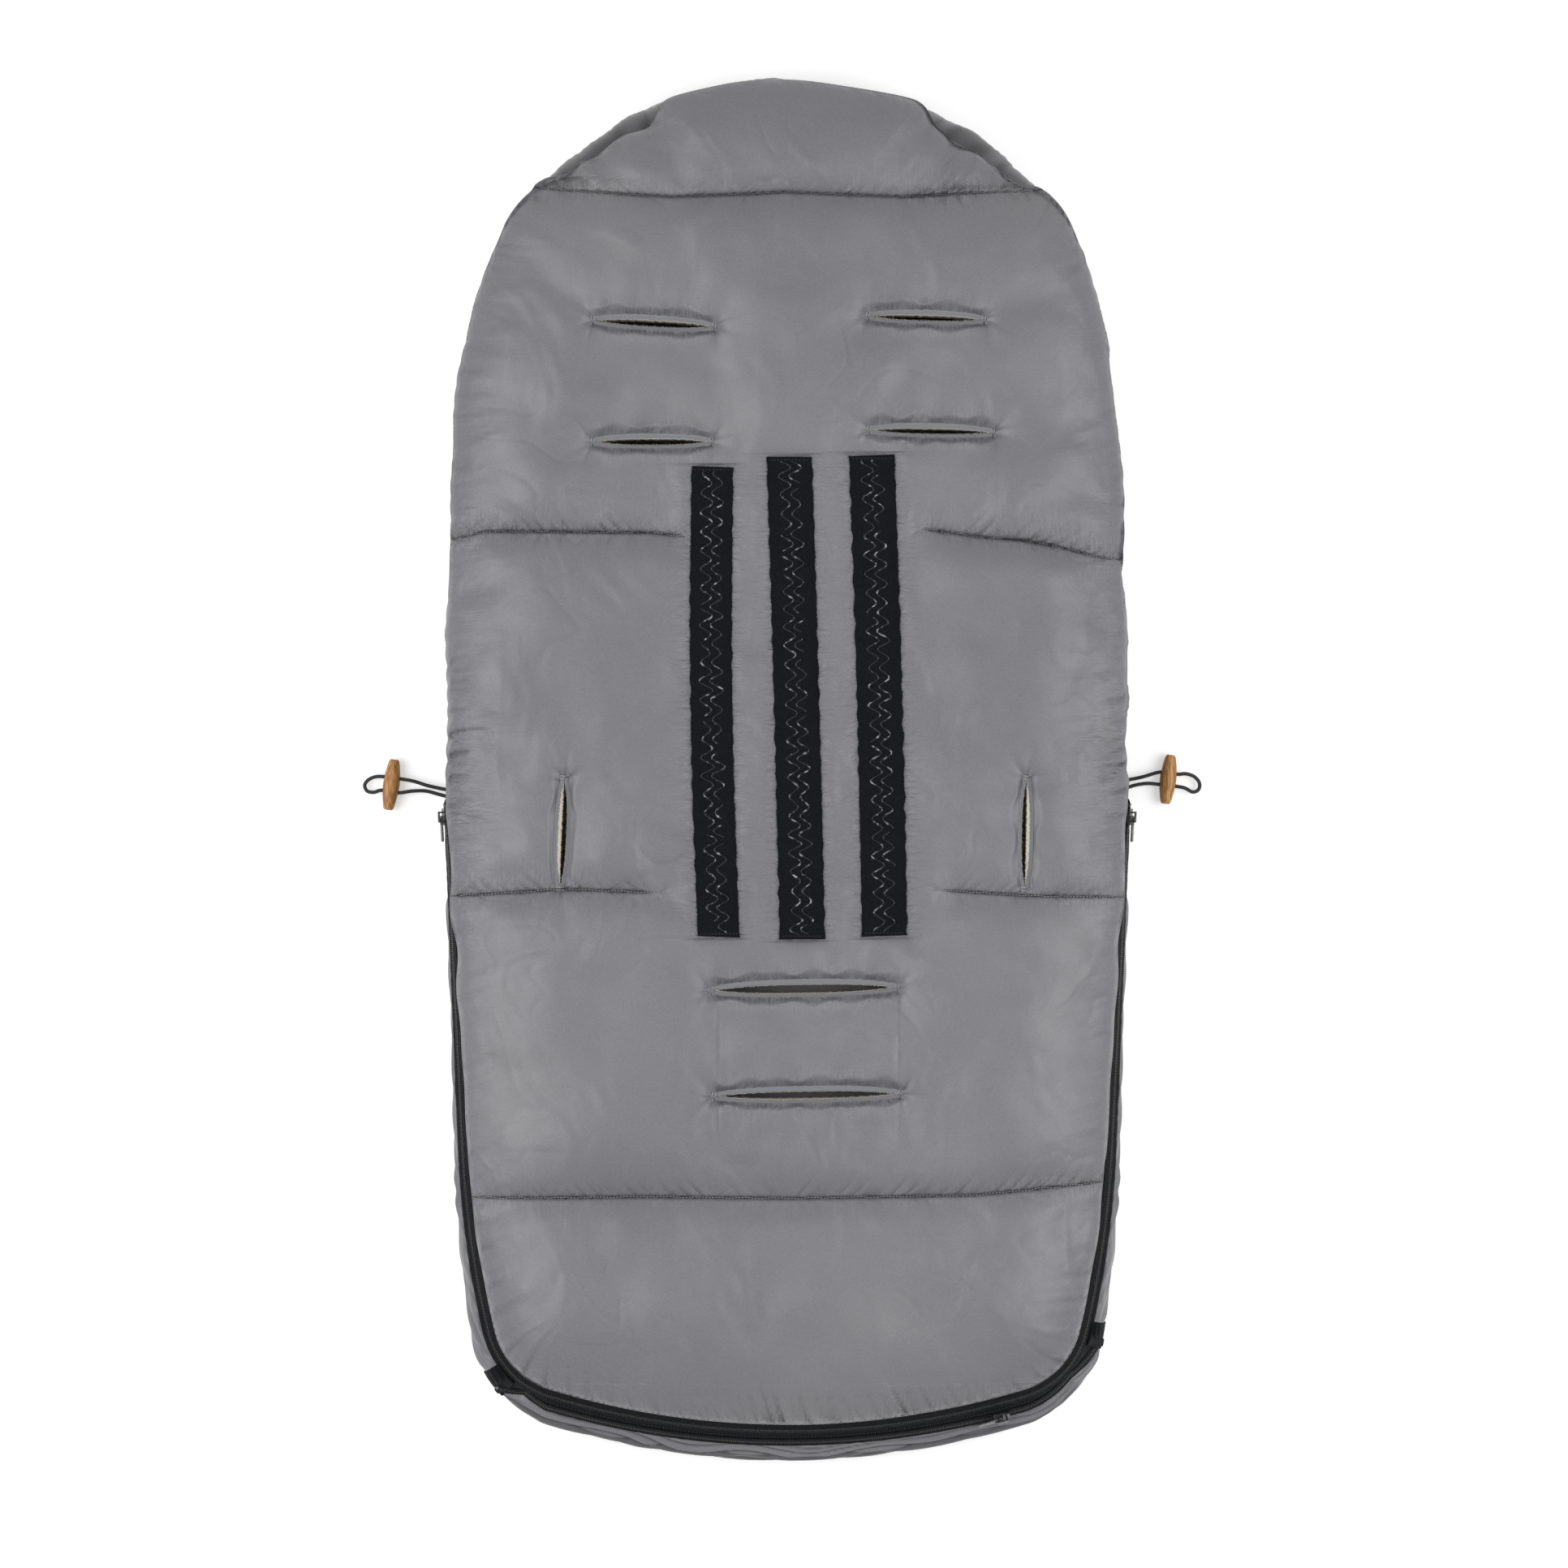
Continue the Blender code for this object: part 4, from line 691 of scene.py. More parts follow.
zipLine = {"topX": 0.2465, "topY": -0.0235, "sideX": 0.2340, "sideY": -0.2750, "sideRadius": 0.72,
           "cornerStart": math.radians(13.3), "cornerRadius": 0.064, "footY": -0.4765, "seamZ": 0.0635,
           "fabricEdge": 0.0083, "coverBulgeZ": 0.0240, "footEnds": {-1: 2.55, 1: 2.08}, "pitch": 0.00146,
           "at": [0.0, 0.12, 0.5, 1.0, 2.0, 3.0, 4.0], "tilt": [15.0, 15.0, 22.0, 31.0, 37.0, 45.0, 45.0],
           "inset": [-0.0014, -0.0014, -0.0030, -0.0046, -0.0056, -0.0066, -0.0062]}
sideTilt = math.atan2(zipLine["topX"] - zipLine["sideX"], zipLine["topY"] - zipLine["sideY"])
sideCentre = (zipLine["sideX"] - zipLine["sideRadius"] * math.cos(sideTilt),
              zipLine["sideY"] + zipLine["sideRadius"] * math.sin(sideTilt))
cornerReach = zipLine["sideRadius"] - zipLine["cornerRadius"]
tapeThick = 0.00045
cornerCentre = (sideCentre[0] + cornerReach * math.cos(zipLine["cornerStart"]),
                sideCentre[1] - cornerReach * math.sin(zipLine["cornerStart"]))
cornerLow = zipLine["footY"] + zipLine["cornerRadius"]
footCentreY = ((cornerCentre[0] ** 2 + cornerCentre[1] ** 2 - cornerLow ** 2)
               / (2.0 * (cornerCentre[1] - cornerLow)))
footRadius = footCentreY - zipLine["footY"]
footStart = math.atan2(footCentreY - cornerCentre[1], cornerCentre[0])
legs = [0.0, 1.0, 2.0, 3.0, 4.0]


def zipPlace(along, side):
    # Points and outward normals: a straight side to 1, the side curve to 2, the corner to 3, the foot arc to 4.
    turn = np.interp(along, legs, [sideTilt, sideTilt, zipLine["cornerStart"], footStart, pi / 2.0])
    x = np.select([along <= 1.0, along <= 2.0, along <= 3.0],
                  [zipLine["topX"] + (zipLine["sideX"] - zipLine["topX"]) * along,
                   sideCentre[0] + zipLine["sideRadius"] * np.cos(turn),
                   cornerCentre[0] + zipLine["cornerRadius"] * np.cos(turn)], footRadius * np.cos(turn))
    y = np.select([along <= 1.0, along <= 2.0, along <= 3.0],
                  [zipLine["topY"] + (zipLine["sideY"] - zipLine["topY"]) * along,
                   sideCentre[1] - zipLine["sideRadius"] * np.sin(turn),
                   cornerCentre[1] - zipLine["cornerRadius"] * np.sin(turn)], footCentreY - footRadius * np.sin(turn))
    return np.stack([side * x, y], -1), np.stack([side * np.cos(turn), -np.sin(turn)], -1)


alongTable = np.linspace(0.0, 4.0, 4001)
lengthTable = runLength(zipPlace(alongTable, 1.0)[0])
halfLine = lengthTable[-1]


def alongOf(s):
    # The run s goes from the left top round the foot to the right top.
    fromTop = np.where(s <= halfLine, s, 2.0 * halfLine - s)
    return np.interp(fromTop, lengthTable, alongTable), np.where(s <= halfLine, -1.0, 1.0)


def runOf(along, side):
    # The run of a place on one side.
    fromTop = np.interp(along, alongTable, lengthTable)
    return np.where(np.asarray(side) < 0, fromTop, 2.0 * halfLine - fromTop)


def nearTop(s, side):
    # The run counted from the top of its own side.
    return np.where(side < 0, s, 2.0 * halfLine - s)


def footEndOf(side):
    # Where the foot zip ends on each side.
    return np.where(side < 0, zipLine["footEnds"][-1], zipLine["footEnds"][1])


def besideZip(s, offset, height):
    # World points at an outward offset from the zip line, at a height.
    along, side = alongOf(s)
    point, normal = zipPlace(along, side)
    flat = point + normal * np.asarray(offset)[..., None]
    return np.concatenate([flat, np.broadcast_to(height, flat.shape[:-1])[..., None]], -1)


def zipLean(along):
    # Across the main zip, from the back to the cover, as outward and upward parts.
    tilt = np.radians(np.interp(along, zipLine["at"], zipLine["tilt"]))
    return np.sin(tilt), -np.cos(tilt)


def chainHeight(along):
    # Height of the main zip's chain, which hangs from the seam by the fabric's edge.
    return zipLine["seamZ"] + zipLean(along)[1] * zipLine["fabricEdge"]


def coverBulge(along):
    # How far the cover swells out past the zip line.
    return np.interp(along, legs, [0.0015, 0.0065, 0.0140, 0.0220, 0.0237])


footDrop = {"shareOut": 0.45, "offset": 0.0058, "further": 0.0037, "startZ": 0.0340, "turnZ": 0.0450, "below": 0.0110}


def footChain(along, side):
    # Offset and height of the foot zip's middle; it leaves the main zip at both corners and turns down.
    end = footEndOf(side)
    t = np.clip((along - end) / (3.0 - end), 0.0, 1.0)
    low = zipLine["seamZ"] - math.cos(pi / 4.0) * zipLine["fabricEdge"] - footDrop["below"]
    start = coverBulge(end) - 0.0020
    turn, offset, turnZ = footDrop["shareOut"], footDrop["offset"], footDrop["turnZ"]
    first = start + (offset - start) * t / turn, footDrop["startZ"] + 0.0110 * t / turn
    second = offset + footDrop["further"] * (t - turn) / 0.55, turnZ + (low - turnZ) * (t - turn) / 0.55
    return np.where(t < turn, first[0], second[0]), np.where(t < turn, first[1], second[1])


footLean = (math.sin(math.radians(26.4)), -math.cos(math.radians(26.4)))


# The outlines above the zip, half from each side.

upperEdge = {
    "wallRight": [(0.2462, -0.019), (0.2440, 0.020), (0.2455, 0.047), (0.2450, 0.073), (0.2450, 0.099),
                  (0.2430, 0.126), (0.2405, 0.152), (0.2420, 0.178), (0.2420, 0.205), (0.2395, 0.231),
                  (0.2365, 0.257), (0.2330, 0.284), (0.2300, 0.310), (0.2245, 0.336), (0.2160, 0.363),
                  (0.2090, 0.381), (0.2030, 0.395), (0.1920, 0.409), (0.1790, 0.423), (0.1720, 0.430),
                  (0.1570, 0.444), (0.1470, 0.451), (0.1280, 0.465), (0.1120, 0.472), (0.0990, 0.479),
                  (0.0850, 0.486), (0.0480, 0.493), (0.0070, 0.4995)],
    "wallLeft": [(-0.0290, 0.4995), (-0.0580, 0.493), (-0.0830, 0.486), (-0.1000, 0.479), (-0.1150, 0.472),
                 (-0.1280, 0.465), (-0.1470, 0.451), (-0.1560, 0.444), (-0.1730, 0.430), (-0.1810, 0.423),
                 (-0.1920, 0.409), (-0.2020, 0.395), (-0.2080, 0.381), (-0.2160, 0.363), (-0.2255, 0.336),
                 (-0.2310, 0.310), (-0.2370, 0.284), (-0.2400, 0.257), (-0.2405, 0.231), (-0.2420, 0.205),
                 (-0.2420, 0.178), (-0.2430, 0.152), (-0.2440, 0.126), (-0.2460, 0.099), (-0.2450, 0.073),
                 (-0.2450, 0.020), (-0.2462, -0.019)],
    "panelRight": [(0.2025, 0.395), (0.1935, 0.407), (0.1815, 0.4165), (0.1640, 0.4215), (0.1520, 0.4310),
                   (0.1375, 0.4435), (0.1210, 0.4500), (0.1120, 0.4590), (0.1045, 0.4660), (0.0975, 0.4780),
                   (0.0850, 0.4845), (0.0480, 0.4915), (0.0070, 0.4970)],
    "panelLeft": [(-0.0290, 0.4965), (-0.0580, 0.4915), (-0.0830, 0.4850), (-0.0905, 0.4790), (-0.0990, 0.4640),
                  (-0.1080, 0.4600), (-0.1170, 0.4575), (-0.1260, 0.4520), (-0.1360, 0.4430), (-0.1480, 0.4376),
                  (-0.1585, 0.4275), (-0.1690, 0.4245), (-0.1775, 0.4200), (-0.1905, 0.4090), (-0.2010, 0.396)],
}


def upperOutlines():
    # Both upper outlines, anticlockwise from the right end over the crown to the left end.
    right, left = upperEdge["wallRight"], upperEdge["wallLeft"]
    wall = throughPoints(right + left, 8)
    below = [p for p in right if p[1] < 0.39]
    after = [p for p in left if p[1] < 0.39]
    panel = throughPoints(below + upperEdge["panelRight"] + upperEdge["panelLeft"] + after, 8)
    return evenly(wall, 700), evenly(panel, 900)


wallOutline, panelUpper = upperOutlines()
# the panel's edge is drawn in by small bites beside the toggles
bites = bell(panelUpper[:, 1] - 0.020, 0.050) + 0.30 * (panelUpper[:, 1] < 0.38)
panelUpper = panelUpper + outwardOf(panelUpper) * (
    bites * (0.0012 * np.abs(lineNoise(runLength(panelUpper), 0.026, 61)) - 0.0010))[:, None]


def panelInset(s):
    # Outward offset of the panel's edge from the zip line.
    along, _ = alongOf(s)
    offset = np.interp(along, zipLine["at"], zipLine["inset"])
    return offset + np.interp(along, [0.0, 1.2, 2.0], [0.0011, 0.0004, 0.0]) * lineNoise(s, 0.060, 5)


def panelOutline():
    # The whole outer line of the back panel, anticlockwise from the left zip top round the foot.
    s = np.linspace(0.0, 2.0 * halfLine, 1200)
    lower = besideZip(s, panelInset(s), 0.0)[:, :2]
    return np.concatenate([lower[6:-6], panelUpper[8:-8]])


panelLine = evenly(np.concatenate([panelOutline(), panelOutline()[:1]]), 1500)[:-1]
panelRun = runLength(panelLine)


def edgeDistance(x, y):
    # Distance to the nearest point of the panel's outline, and that point's place along it.
    flat = np.stack([np.ravel(x), np.ravel(y)], -1)
    near = np.empty(len(flat))
    where = np.empty(len(flat))
    for start in range(0, len(flat), 6000):
        part = flat[start:start + 6000]
        gap = (part[:, None, 0] - panelLine[None, :, 0]) ** 2 + (part[:, None, 1] - panelLine[None, :, 1]) ** 2
        best = gap.argmin(axis=1)
        near[start:start + 6000] = np.sqrt(gap[np.arange(len(part)), best])
        where[start:start + 6000] = panelRun[best]
    return near.reshape(np.shape(x)), where.reshape(np.shape(x))


# The quilted height of the back panel.

panel = {
    "rows": 700, "columns": 330, "bulgeZ": 0.0790, "topZ": 0.1018, "limitZ": 0.1120, "crownWidth": 0.078,
    "puff": 0.0030,
    "levels": [0.4150, 0.1680, -0.0875, -0.3050], "slotLevels": [0.3225, 0.2396, -0.1562, -0.2322],
    "slotGap": 0.0007,
    "seams": [
        {"x": [-0.184, -0.181, -0.117, -0.082, 0.0, 0.085, 0.181],
         "y": [0.4175, 0.4195, 0.4140, 0.4118, 0.4150, 0.4118, 0.4180],
         "span": [(-1.0, 1.0)], "gatherX": [-0.19, -0.15, -0.11, 0.0, 0.08, 0.112, 0.15, 0.19], "ends": [],
         "gather": [0.4, 0.9, 0.3, 0.2, 0.5, 1.5, 1.0, 0.4], "depth": 0.0076, "sharp": 0.0034},
        {"x": [-0.240, -0.216, -0.164, -0.0995, -0.071, 0.095, 0.111, 0.146, 0.170, 0.193, 0.222, 0.240],
         "y": [0.1667, 0.1720, 0.1714, 0.1708, 0.1680, 0.1737, 0.1714, 0.1670, 0.1650, 0.1610, 0.1535, 0.1520],
         "span": [(-1.0, -0.071), (0.095, 1.0)], "gatherX": [-0.24, -0.18, -0.07, 0.095, 0.14, 0.20, 0.24],
         "gather": [1.0, 0.9, 0.4, 0.5, 0.8, 1.1, 1.0], "depth": 0.0072, "sharp": 0.0034, "ends": [-0.071, 0.095]},
        {"x": [-0.244, -0.158, -0.0936, 0.110, 0.1755, 0.243],
         "y": [-0.0900, -0.0848, -0.0871, -0.0854, -0.0895, -0.0907],
         "span": [(-1.0, -0.0936), (0.110, 1.0)], "gatherX": [-0.24, -0.15, -0.09, 0.11, 0.18, 0.24],
         "gather": [0.7, 0.8, 0.3, 0.3, 0.6, 0.7], "depth": 0.0060, "sharp": 0.0032, "ends": [-0.0936, 0.110]},
        {"x": [-0.225, -0.0995, 0.006, 0.1345, 0.228], "y": [-0.3065, -0.3054, -0.3065, -0.3040, -0.2950],
         "span": [(-1.0, 1.0)], "gatherX": [-0.23, -0.1, 0.0, 0.1, 0.23],
         "gather": [0.4, 0.5, 0.35, 0.45, 0.8], "depth": 0.0064, "sharp": 0.0034, "ends": []},
    ],
}
shoulder, waist, crotch = "shoulder_slot_edge_", "waist_slot_edge_", "crotch_slot_edge_"
slots = {
    "upper_left": {"node": shoulder + "upper_left", "at": (-0.0957, 0.3205), "length": 0.083, "open": 0.0024,
                   "lean": -0.050},
    "upper_right": {"node": shoulder + "upper_right", "at": (0.0995, 0.3245), "length": 0.079, "open": 0.0021,
                    "lean": -0.035},
    "lower_left": {"node": shoulder + "lower_left", "at": (-0.0968, 0.2358), "length": 0.081, "open": 0.0024,
                   "lean": 0.002},
    "lower_right": {"node": shoulder + "lower_right", "at": (0.1030, 0.2434), "length": 0.085, "open": 0.0021,
                    "lean": -0.018},
    "waist_left": {"node": waist + "left", "at": (-0.1612, -0.0445), "length": 0.076, "open": 0.0030,
                   "lean": 0.042, "lip": 0.0024},
    "waist_right": {"node": waist + "right", "at": (0.1708, -0.0445), "length": 0.076, "open": 0.0027,
                    "lean": 0.017, "lip": -0.0022},
    "crotch_upper": {"node": crotch + "upper", "at": (0.0120, -0.1562), "length": 0.130, "open": 0.0034,
                     "lean": 0.018},
    "crotch_lower": {"node": crotch + "lower", "at": (0.0143, -0.2322), "length": 0.130, "open": 0.0030,
                     "lean": 0.015},
}
tapes = {
    "left": {"top": (-0.0535, 0.2176), "bottom": (-0.0490, -0.1188), "width": 0.0300, "sway": -0.0030},
    "middle": {"top": (0.0015, 0.2246), "bottom": (0.0108, -0.1205), "width": 0.0325, "sway": 0.0005},
    "right": {"top": (0.0605, 0.2258), "bottom": (0.0697, -0.1182), "width": 0.0325, "sway": 0.0010},
    "thick": 0.0012, "rows": 260, "columns": 16, "bead": 0.00062, "swing": 0.0038, "wave": 0.01345,
}
tapeWords = ("left", "middle", "right")


def seamY(seam, x):
    # Y of a quilting seam.
    return np.interp(x, seam["x"], seam["y"])


def spanReach(seam, x, width, lead):
    # 1 along the sewn spans of a seam, easing to 0 over a width at their ends.
    reach = np.zeros(np.shape(x))
    for start, end in seam["span"]:
        reach = np.maximum(reach, easeStep((x - start) / width + lead) * easeStep((end - x) / width + lead))
    return reach


def slotFrame(use, upright, x, y):
    # Local place along and across a slot; across points to the head end, or to the left for an upright slot.
    dx, dy = x - use["at"][0], y - use["at"][1]
    return (dy, use["lean"] * dy - dx) if upright else (dx, dy - use["lean"] * dx)


def eachSlot(x, y):
    # For every slot: its number, its settings, whether it stands upright, and the points' place along and across.
    for seed, (word, use) in enumerate(slots.items()):
        upright = word.startswith("waist")
        yield seed, use, upright, *slotFrame(use, upright, x, y)


def lensWidth(use, a, extra=0.0):
    # Half width of the opening: full in the middle and closed at both ends.
    t = np.clip(np.abs(a) / (use["length"] / 2.0 + extra), 0.0, 1.0)
    return (use["open"] + extra) * (1.0 - t ** 3)


relief = {
    "slotDeep": (0.0036, 0.0020), "slotLift": (0.0012, 0.0003), "slotRays": 0.0016, "slotPit": 0.0020,
    "tapeGroove": 0.0011, "tapeRuffle": 0.00040, "seamPleats": 0.0021, "seamRays": 0.0014, "seamPit": 0.0016,
    "edge": 0.00055, "edgeFoot": 0.0022, "edgeCorner": 0.0006, "edgePulled": 0.0013, "broad": 0.0016, "swell": 0.0006,
    "medium": 0.00016, "ridge": 0.0006, "valley": 0.0004, "dart": 0.00045, "dartsX": (-0.0497, 0.0800),
}


def slotRelief(x, y):
    # The lips are sewn down; the cloth swells and wrinkles round them and puckers at both ends.
    total = np.zeros(np.shape(x))
    for seed, use, upright, a, b in eachSlot(x, y):
        half = use["length"] / 2.0
        close = (np.abs(a) < half + 0.06) & (np.abs(b) < 0.06)
        a, b = a[close], b[close]
        q = np.maximum(np.abs(b) - lensWidth(use, a), 0.0)
        fade = easeStep((half + 0.010 - np.abs(a)) / 0.016)
        above = (b > 0) & (not upright)
        run = np.where(above, 0.0075, 0.0048) * np.clip(1.0 + 0.28 * lineNoise(a, 0.030, 40 + seed), 0.6, 1.5)
        rise = easeStep((q - 0.0026) / run)
        deep = relief["slotDeep"][int(upright)]
        lifted = np.where(above, *relief["slotLift"]) * np.exp(-np.maximum(q - 0.009, 0.0) / 0.014)
        part = fade * (rise * (deep + lifted) - deep) * np.exp(-(np.maximum(q - 0.010, 0.0) / 0.02) ** 2)
        upperTuck = 0.0009 * pleats(a + 0.8 * b, 0.0240, 80 + seed) + 0.0003 * lineNoise(a - b, 0.009, 84 + seed)
        tuck = np.where(above, upperTuck, 0.0007 * pleats(a - 0.3 * b, 0.0110, 90 + seed))
        tuck = tuck * (0.4 if upright else 1.0) * np.clip(0.5 + 0.6 * lineNoise(a, 0.05, 95 + seed), 0.0, 1.4)
        part += tuck * easeStep((q - 0.0028) / 0.0015) * np.exp(-(q / np.where(above, 0.0100, 0.0075)) ** 2) * fade
        for sign in (-1.0, 1.0):
            r, rays = slotRays(a, b, half, sign, seed)
            part += relief["slotRays"] * rays - relief["slotPit"] * bell(r, 0.0075)
        total[close] += part
    return total


def slotRays(a, b, half, sign, seed):
    # Narrow ridges and valleys that fan out from one end of a slot, each a bell across and fading outwards.
    rng = np.random.default_rng(60 + 2 * seed + int(sign > 0))
    outX, outY = sign * (a - sign * (half + 0.0015)), b
    r = np.hypot(outX, outY)
    total = 0.0 * r
    for k, angle in enumerate(np.radians(np.linspace(-75.0, 75.0, 6) + rng.uniform(-10.0, 10.0, 6))):
        ahead = outX * np.cos(angle) + outY * np.sin(angle)
        beside = outY * np.cos(angle) - outX * np.sin(angle)
        length = rng.uniform(0.005, 0.012)
        ray = bell(beside, 0.0009 + 0.10 * np.maximum(ahead, 0.0)) * np.exp(-np.maximum(ahead, 0.0) / length)
        total += (1.0 if k % 2 else -1.0) * rng.uniform(0.5, 1.0) * ray * easeStep(ahead / 0.0020)
    return r, total


# strengths of the painted shade on the seams, at the foot's edge and beside the slots
shades = {"line": 0.84, "fringe": 0.75, "fringeBelow": 0.14, "foot": 0.65, "slotAbove": 0.34, "slotBeside": 0.22}


def tuckShade(x, y):
    # Painted shade where cloth is pulled under: a thin dark line on every seam with a fringe of tucks, tucks at the
    # foot's edge, and soft dark bands beside the slots.
    shade = np.zeros(np.shape(x))
    for seed, seam in enumerate(panel["seams"]):
        dy = y - seamY(seam, x)
        reach = spanReach(seam, x, 0.008, 0.3)
        strong = np.interp(x, seam["gatherX"], seam["gather"])
        lean = x + np.where(x < 0, 0.9, -0.9) * np.abs(dy)
        tucks = np.clip(0.15 - 1.3 * pleats(lean, 0.0070, 10 + seed) - 0.5 * lineNoise(x, 0.040, 14 + seed), 0.0, 1.0)
        drift = dy + 0.00035 * lineNoise(x, 0.0065, 16 + seed)
        line = shades["line"] * np.exp(-(drift / (0.0006 + 0.0005 * tucks * strong)) ** 2)
        fringe = np.where(dy > 0, shades["fringe"] * strong * tucks * faded(dy, 0.0034),
                          shades["fringeBelow"] * faded(dy, 0.0022))
        stroke = x - 1.5 * np.abs(dy)
        feather = np.clip(-0.05 - 2.0 * pleats(stroke, 0.0054, 70 + seed), 0.0, 0.9) * np.clip(
            1.4 * strong - 0.35 + 0.6 * lineNoise(x, 0.030, 74 + seed), 0.0, 1.0)
        fringe = np.maximum(fringe, feather * np.exp(-np.abs(dy) / np.where(dy > 0, 0.0042, 0.0026)))
        shade = np.maximum(shade, reach * np.maximum(line, fringe))
    near, where = edgeDistance(x, y)
    tucks = np.clip(-0.15 - 1.8 * pleats(where + 0.7 * near, 0.0130, 90), 0.0, 1.0)
    tucks = tucks * easeStep((-0.43 - y) / 0.02)
    shade = np.maximum(shade, shades["foot"] * tucks * faded(near, 0.0060))
    for seed, use, upright, a, b in eachSlot(x, y):
        half = use["length"] / 2.0
        q = np.abs(b) - lensWidth(use, a)
        fade = easeStep((half + 0.006 - np.abs(a)) / 0.012)
        above = (b > 0) & (not upright)
        wide = np.where(above, 0.0062, 0.0034) * np.clip(1.0 + 0.30 * lineNoise(a, 0.026, 41 + seed), 0.5, 1.6)
        depth = np.where(above, shades["slotAbove"], shades["slotBeside"]) * (0.5 if upright else 1.0)
        shade = np.maximum(shade, fade * depth * np.exp(-(np.maximum(q - 0.0030, 0.0) / wide) ** 2))
    return shade


def gatherMask(x, y):
    # Where fine wrinkles show: beside the seams and the slots' upper lips (first), beside the tapes (second).
    first, second = np.zeros(np.shape(x)), np.zeros(np.shape(x))
    for seam in panel["seams"]:
        dy = y - seamY(seam, x)
        reach = spanReach(seam, x, 0.016, 0.4) * np.interp(x, seam["gatherX"], seam["gather"])
        first = np.maximum(first, reach * np.where(dy > 0, 1.0, 0.6) * faded(dy, 0.0080))
    for _, use, upright, a, b in eachSlot(x, y):
        if not upright:
            q = np.maximum(np.abs(b) - lensWidth(use, a), 0.0)
            fade = easeStep((use["length"] / 2.0 + 0.004 - np.abs(a)) / 0.010)
            first = np.maximum(first, fade * 0.8 * bell(q, 0.0085))
    for word in tapeWords:
        use = tapes[word]
        dx = np.abs(x - tapeMiddle(use, y)) - use["width"] / 2.0
        inside = (y < use["top"][1] + 0.002) & (y > use["bottom"][1] - 0.002)
        second = np.maximum(second, inside * 0.7 * np.exp(-np.maximum(dx, 0.0) / 0.0075))
    near, _ = edgeDistance(x, y)
    waist = 0.12 + 0.7 * bell(y + 0.015, 0.075) + 0.3 * bell(y - 0.16, 0.05)
    beside = waist * (y > -0.43) * (y < 0.40) * faded(near, 0.016) * easeStep(near / 0.003)
    second = np.maximum(second, beside)
    first = np.maximum(first, 0.6 * (y < -0.44) * faded(near, 0.014) * easeStep(near / 0.003))
    return first, second


def tapeMiddle(use, y):
    # X of the tape's middle at a row: a straight line plus a slight bow.
    t = (use["top"][1] - y) / (use["top"][1] - use["bottom"][1])
    return use["top"][0] + (use["bottom"][0] - use["top"][0]) * t + use["sway"] * np.sin(pi * np.clip(t, 0.0, 1.0))


def tapeRelief(x, y):
    # A shallow groove along each tape's edge, and small ruffles beside it.
    total = np.zeros(np.shape(x))
    for seed, word in enumerate(tapeWords):
        use = tapes[word]
        dx = np.abs(x - tapeMiddle(use, y)) - use["width"] / 2.0
        dy = np.maximum(y - use["top"][1], use["bottom"][1] - y)
        out = np.where(dy > 0, np.hypot(np.maximum(dx, 0.0), dy), dx)
        near = bell(out, 0.0045)
        beside = np.exp(-np.maximum(out, 0.0) / 0.0075) * (out > -0.002)
        total -= relief["tapeGroove"] * near
        total += relief["tapeRuffle"] * pleats(y + 0.5 * out + 0.02 * seed, 0.0160, 120 + seed) * beside
    return total


def seamRelief(x, y, body):
    # Sewn channels: a wide dip, a sharp crease on the stitch line, and gathers that fade out from it.
    total = np.zeros(np.shape(x))
    for seed, seam in enumerate(panel["seams"]):
        dy = y - seamY(seam, x)
        reach = spanReach(seam, x, 0.016, 0.1)
        strong = np.interp(x, seam["gatherX"], seam["gather"]) * relief["seamPleats"]
        above = dy > 0
        dip = np.exp(-np.abs(dy / np.where(above, 0.0085, 0.0105)) ** 1.3)
        total -= reach * seam["depth"] * 0.72 * dip * body
        total -= reach * seam["sharp"] * faded(dy, 0.0009) * body
        slant = np.where(x < 0, 0.9, -0.9) * np.where(above, 1.0, 0.5)
        lean = x + slant * np.abs(dy)
        wave = np.where(above, pleats(lean, 0.0095, 10 + seed), pleats(lean, 0.0135, 20 + seed))
        fine = np.where(above, pleats(lean, 0.0048, 30 + seed), pleats(lean, 0.0062, 34 + seed))
        length = np.where(above, 0.0075, 0.0050) * (1.0 + 0.6 * lineNoise(x, 0.028, 38 + seed).clip(-0.9, 1.3))
        fade = np.exp(-np.abs(dy) / length) * (1.0 - faded(dy, 0.0010))
        total += reach * strong * np.where(above, 1.0, 0.6) * (wave + 0.5 * fine) * fade
        for end in seam["ends"]:
            # short tucks fan out where a seam stops inside the panel
            r = np.hypot(x - end, dy)
            turn = np.arctan2(dy, (x - end) * (1.0 if end < 0 else -1.0))
            rays = np.abs(np.sin(2.0 * turn + 0.6 + seed)) ** 0.8 - 0.6
            total += (relief["seamRays"] * rays * np.exp(-r / 0.011) * np.minimum(r / 0.003, 1.0)
                      * easeStep(np.cos(turn) + 0.3))
            total -= relief["seamPit"] * bell(r, 0.006)
    return total


def edgeRelief(near, where):
    # Creases that run in from the outline; fullest at the foot and round the corners.
    mid = runOf(4.0, 1.0)
    foot = bell(where - mid + 0.015, 0.030) + bell(where - mid - 0.085, 0.025)
    corner = np.exp(-((np.abs(where - mid) - 0.20) / 0.06) ** 2)
    high = np.interp(where, panelRun, panelLine[:, 1])
    pulled = bell(high - 0.020, 0.045)
    strength = (relief["edge"] + relief["edgeFoot"] * foot + relief["edgeCorner"] * corner
                + relief["edgePulled"] * pulled)
    slanted = where + 0.35 * near
    wave = lineNoise(slanted, 0.018, 51) + 0.5 * lineNoise(slanted, 0.0085, 52)
    return strength * wave * faded(near, 0.013) * easeStep(near / 0.004)


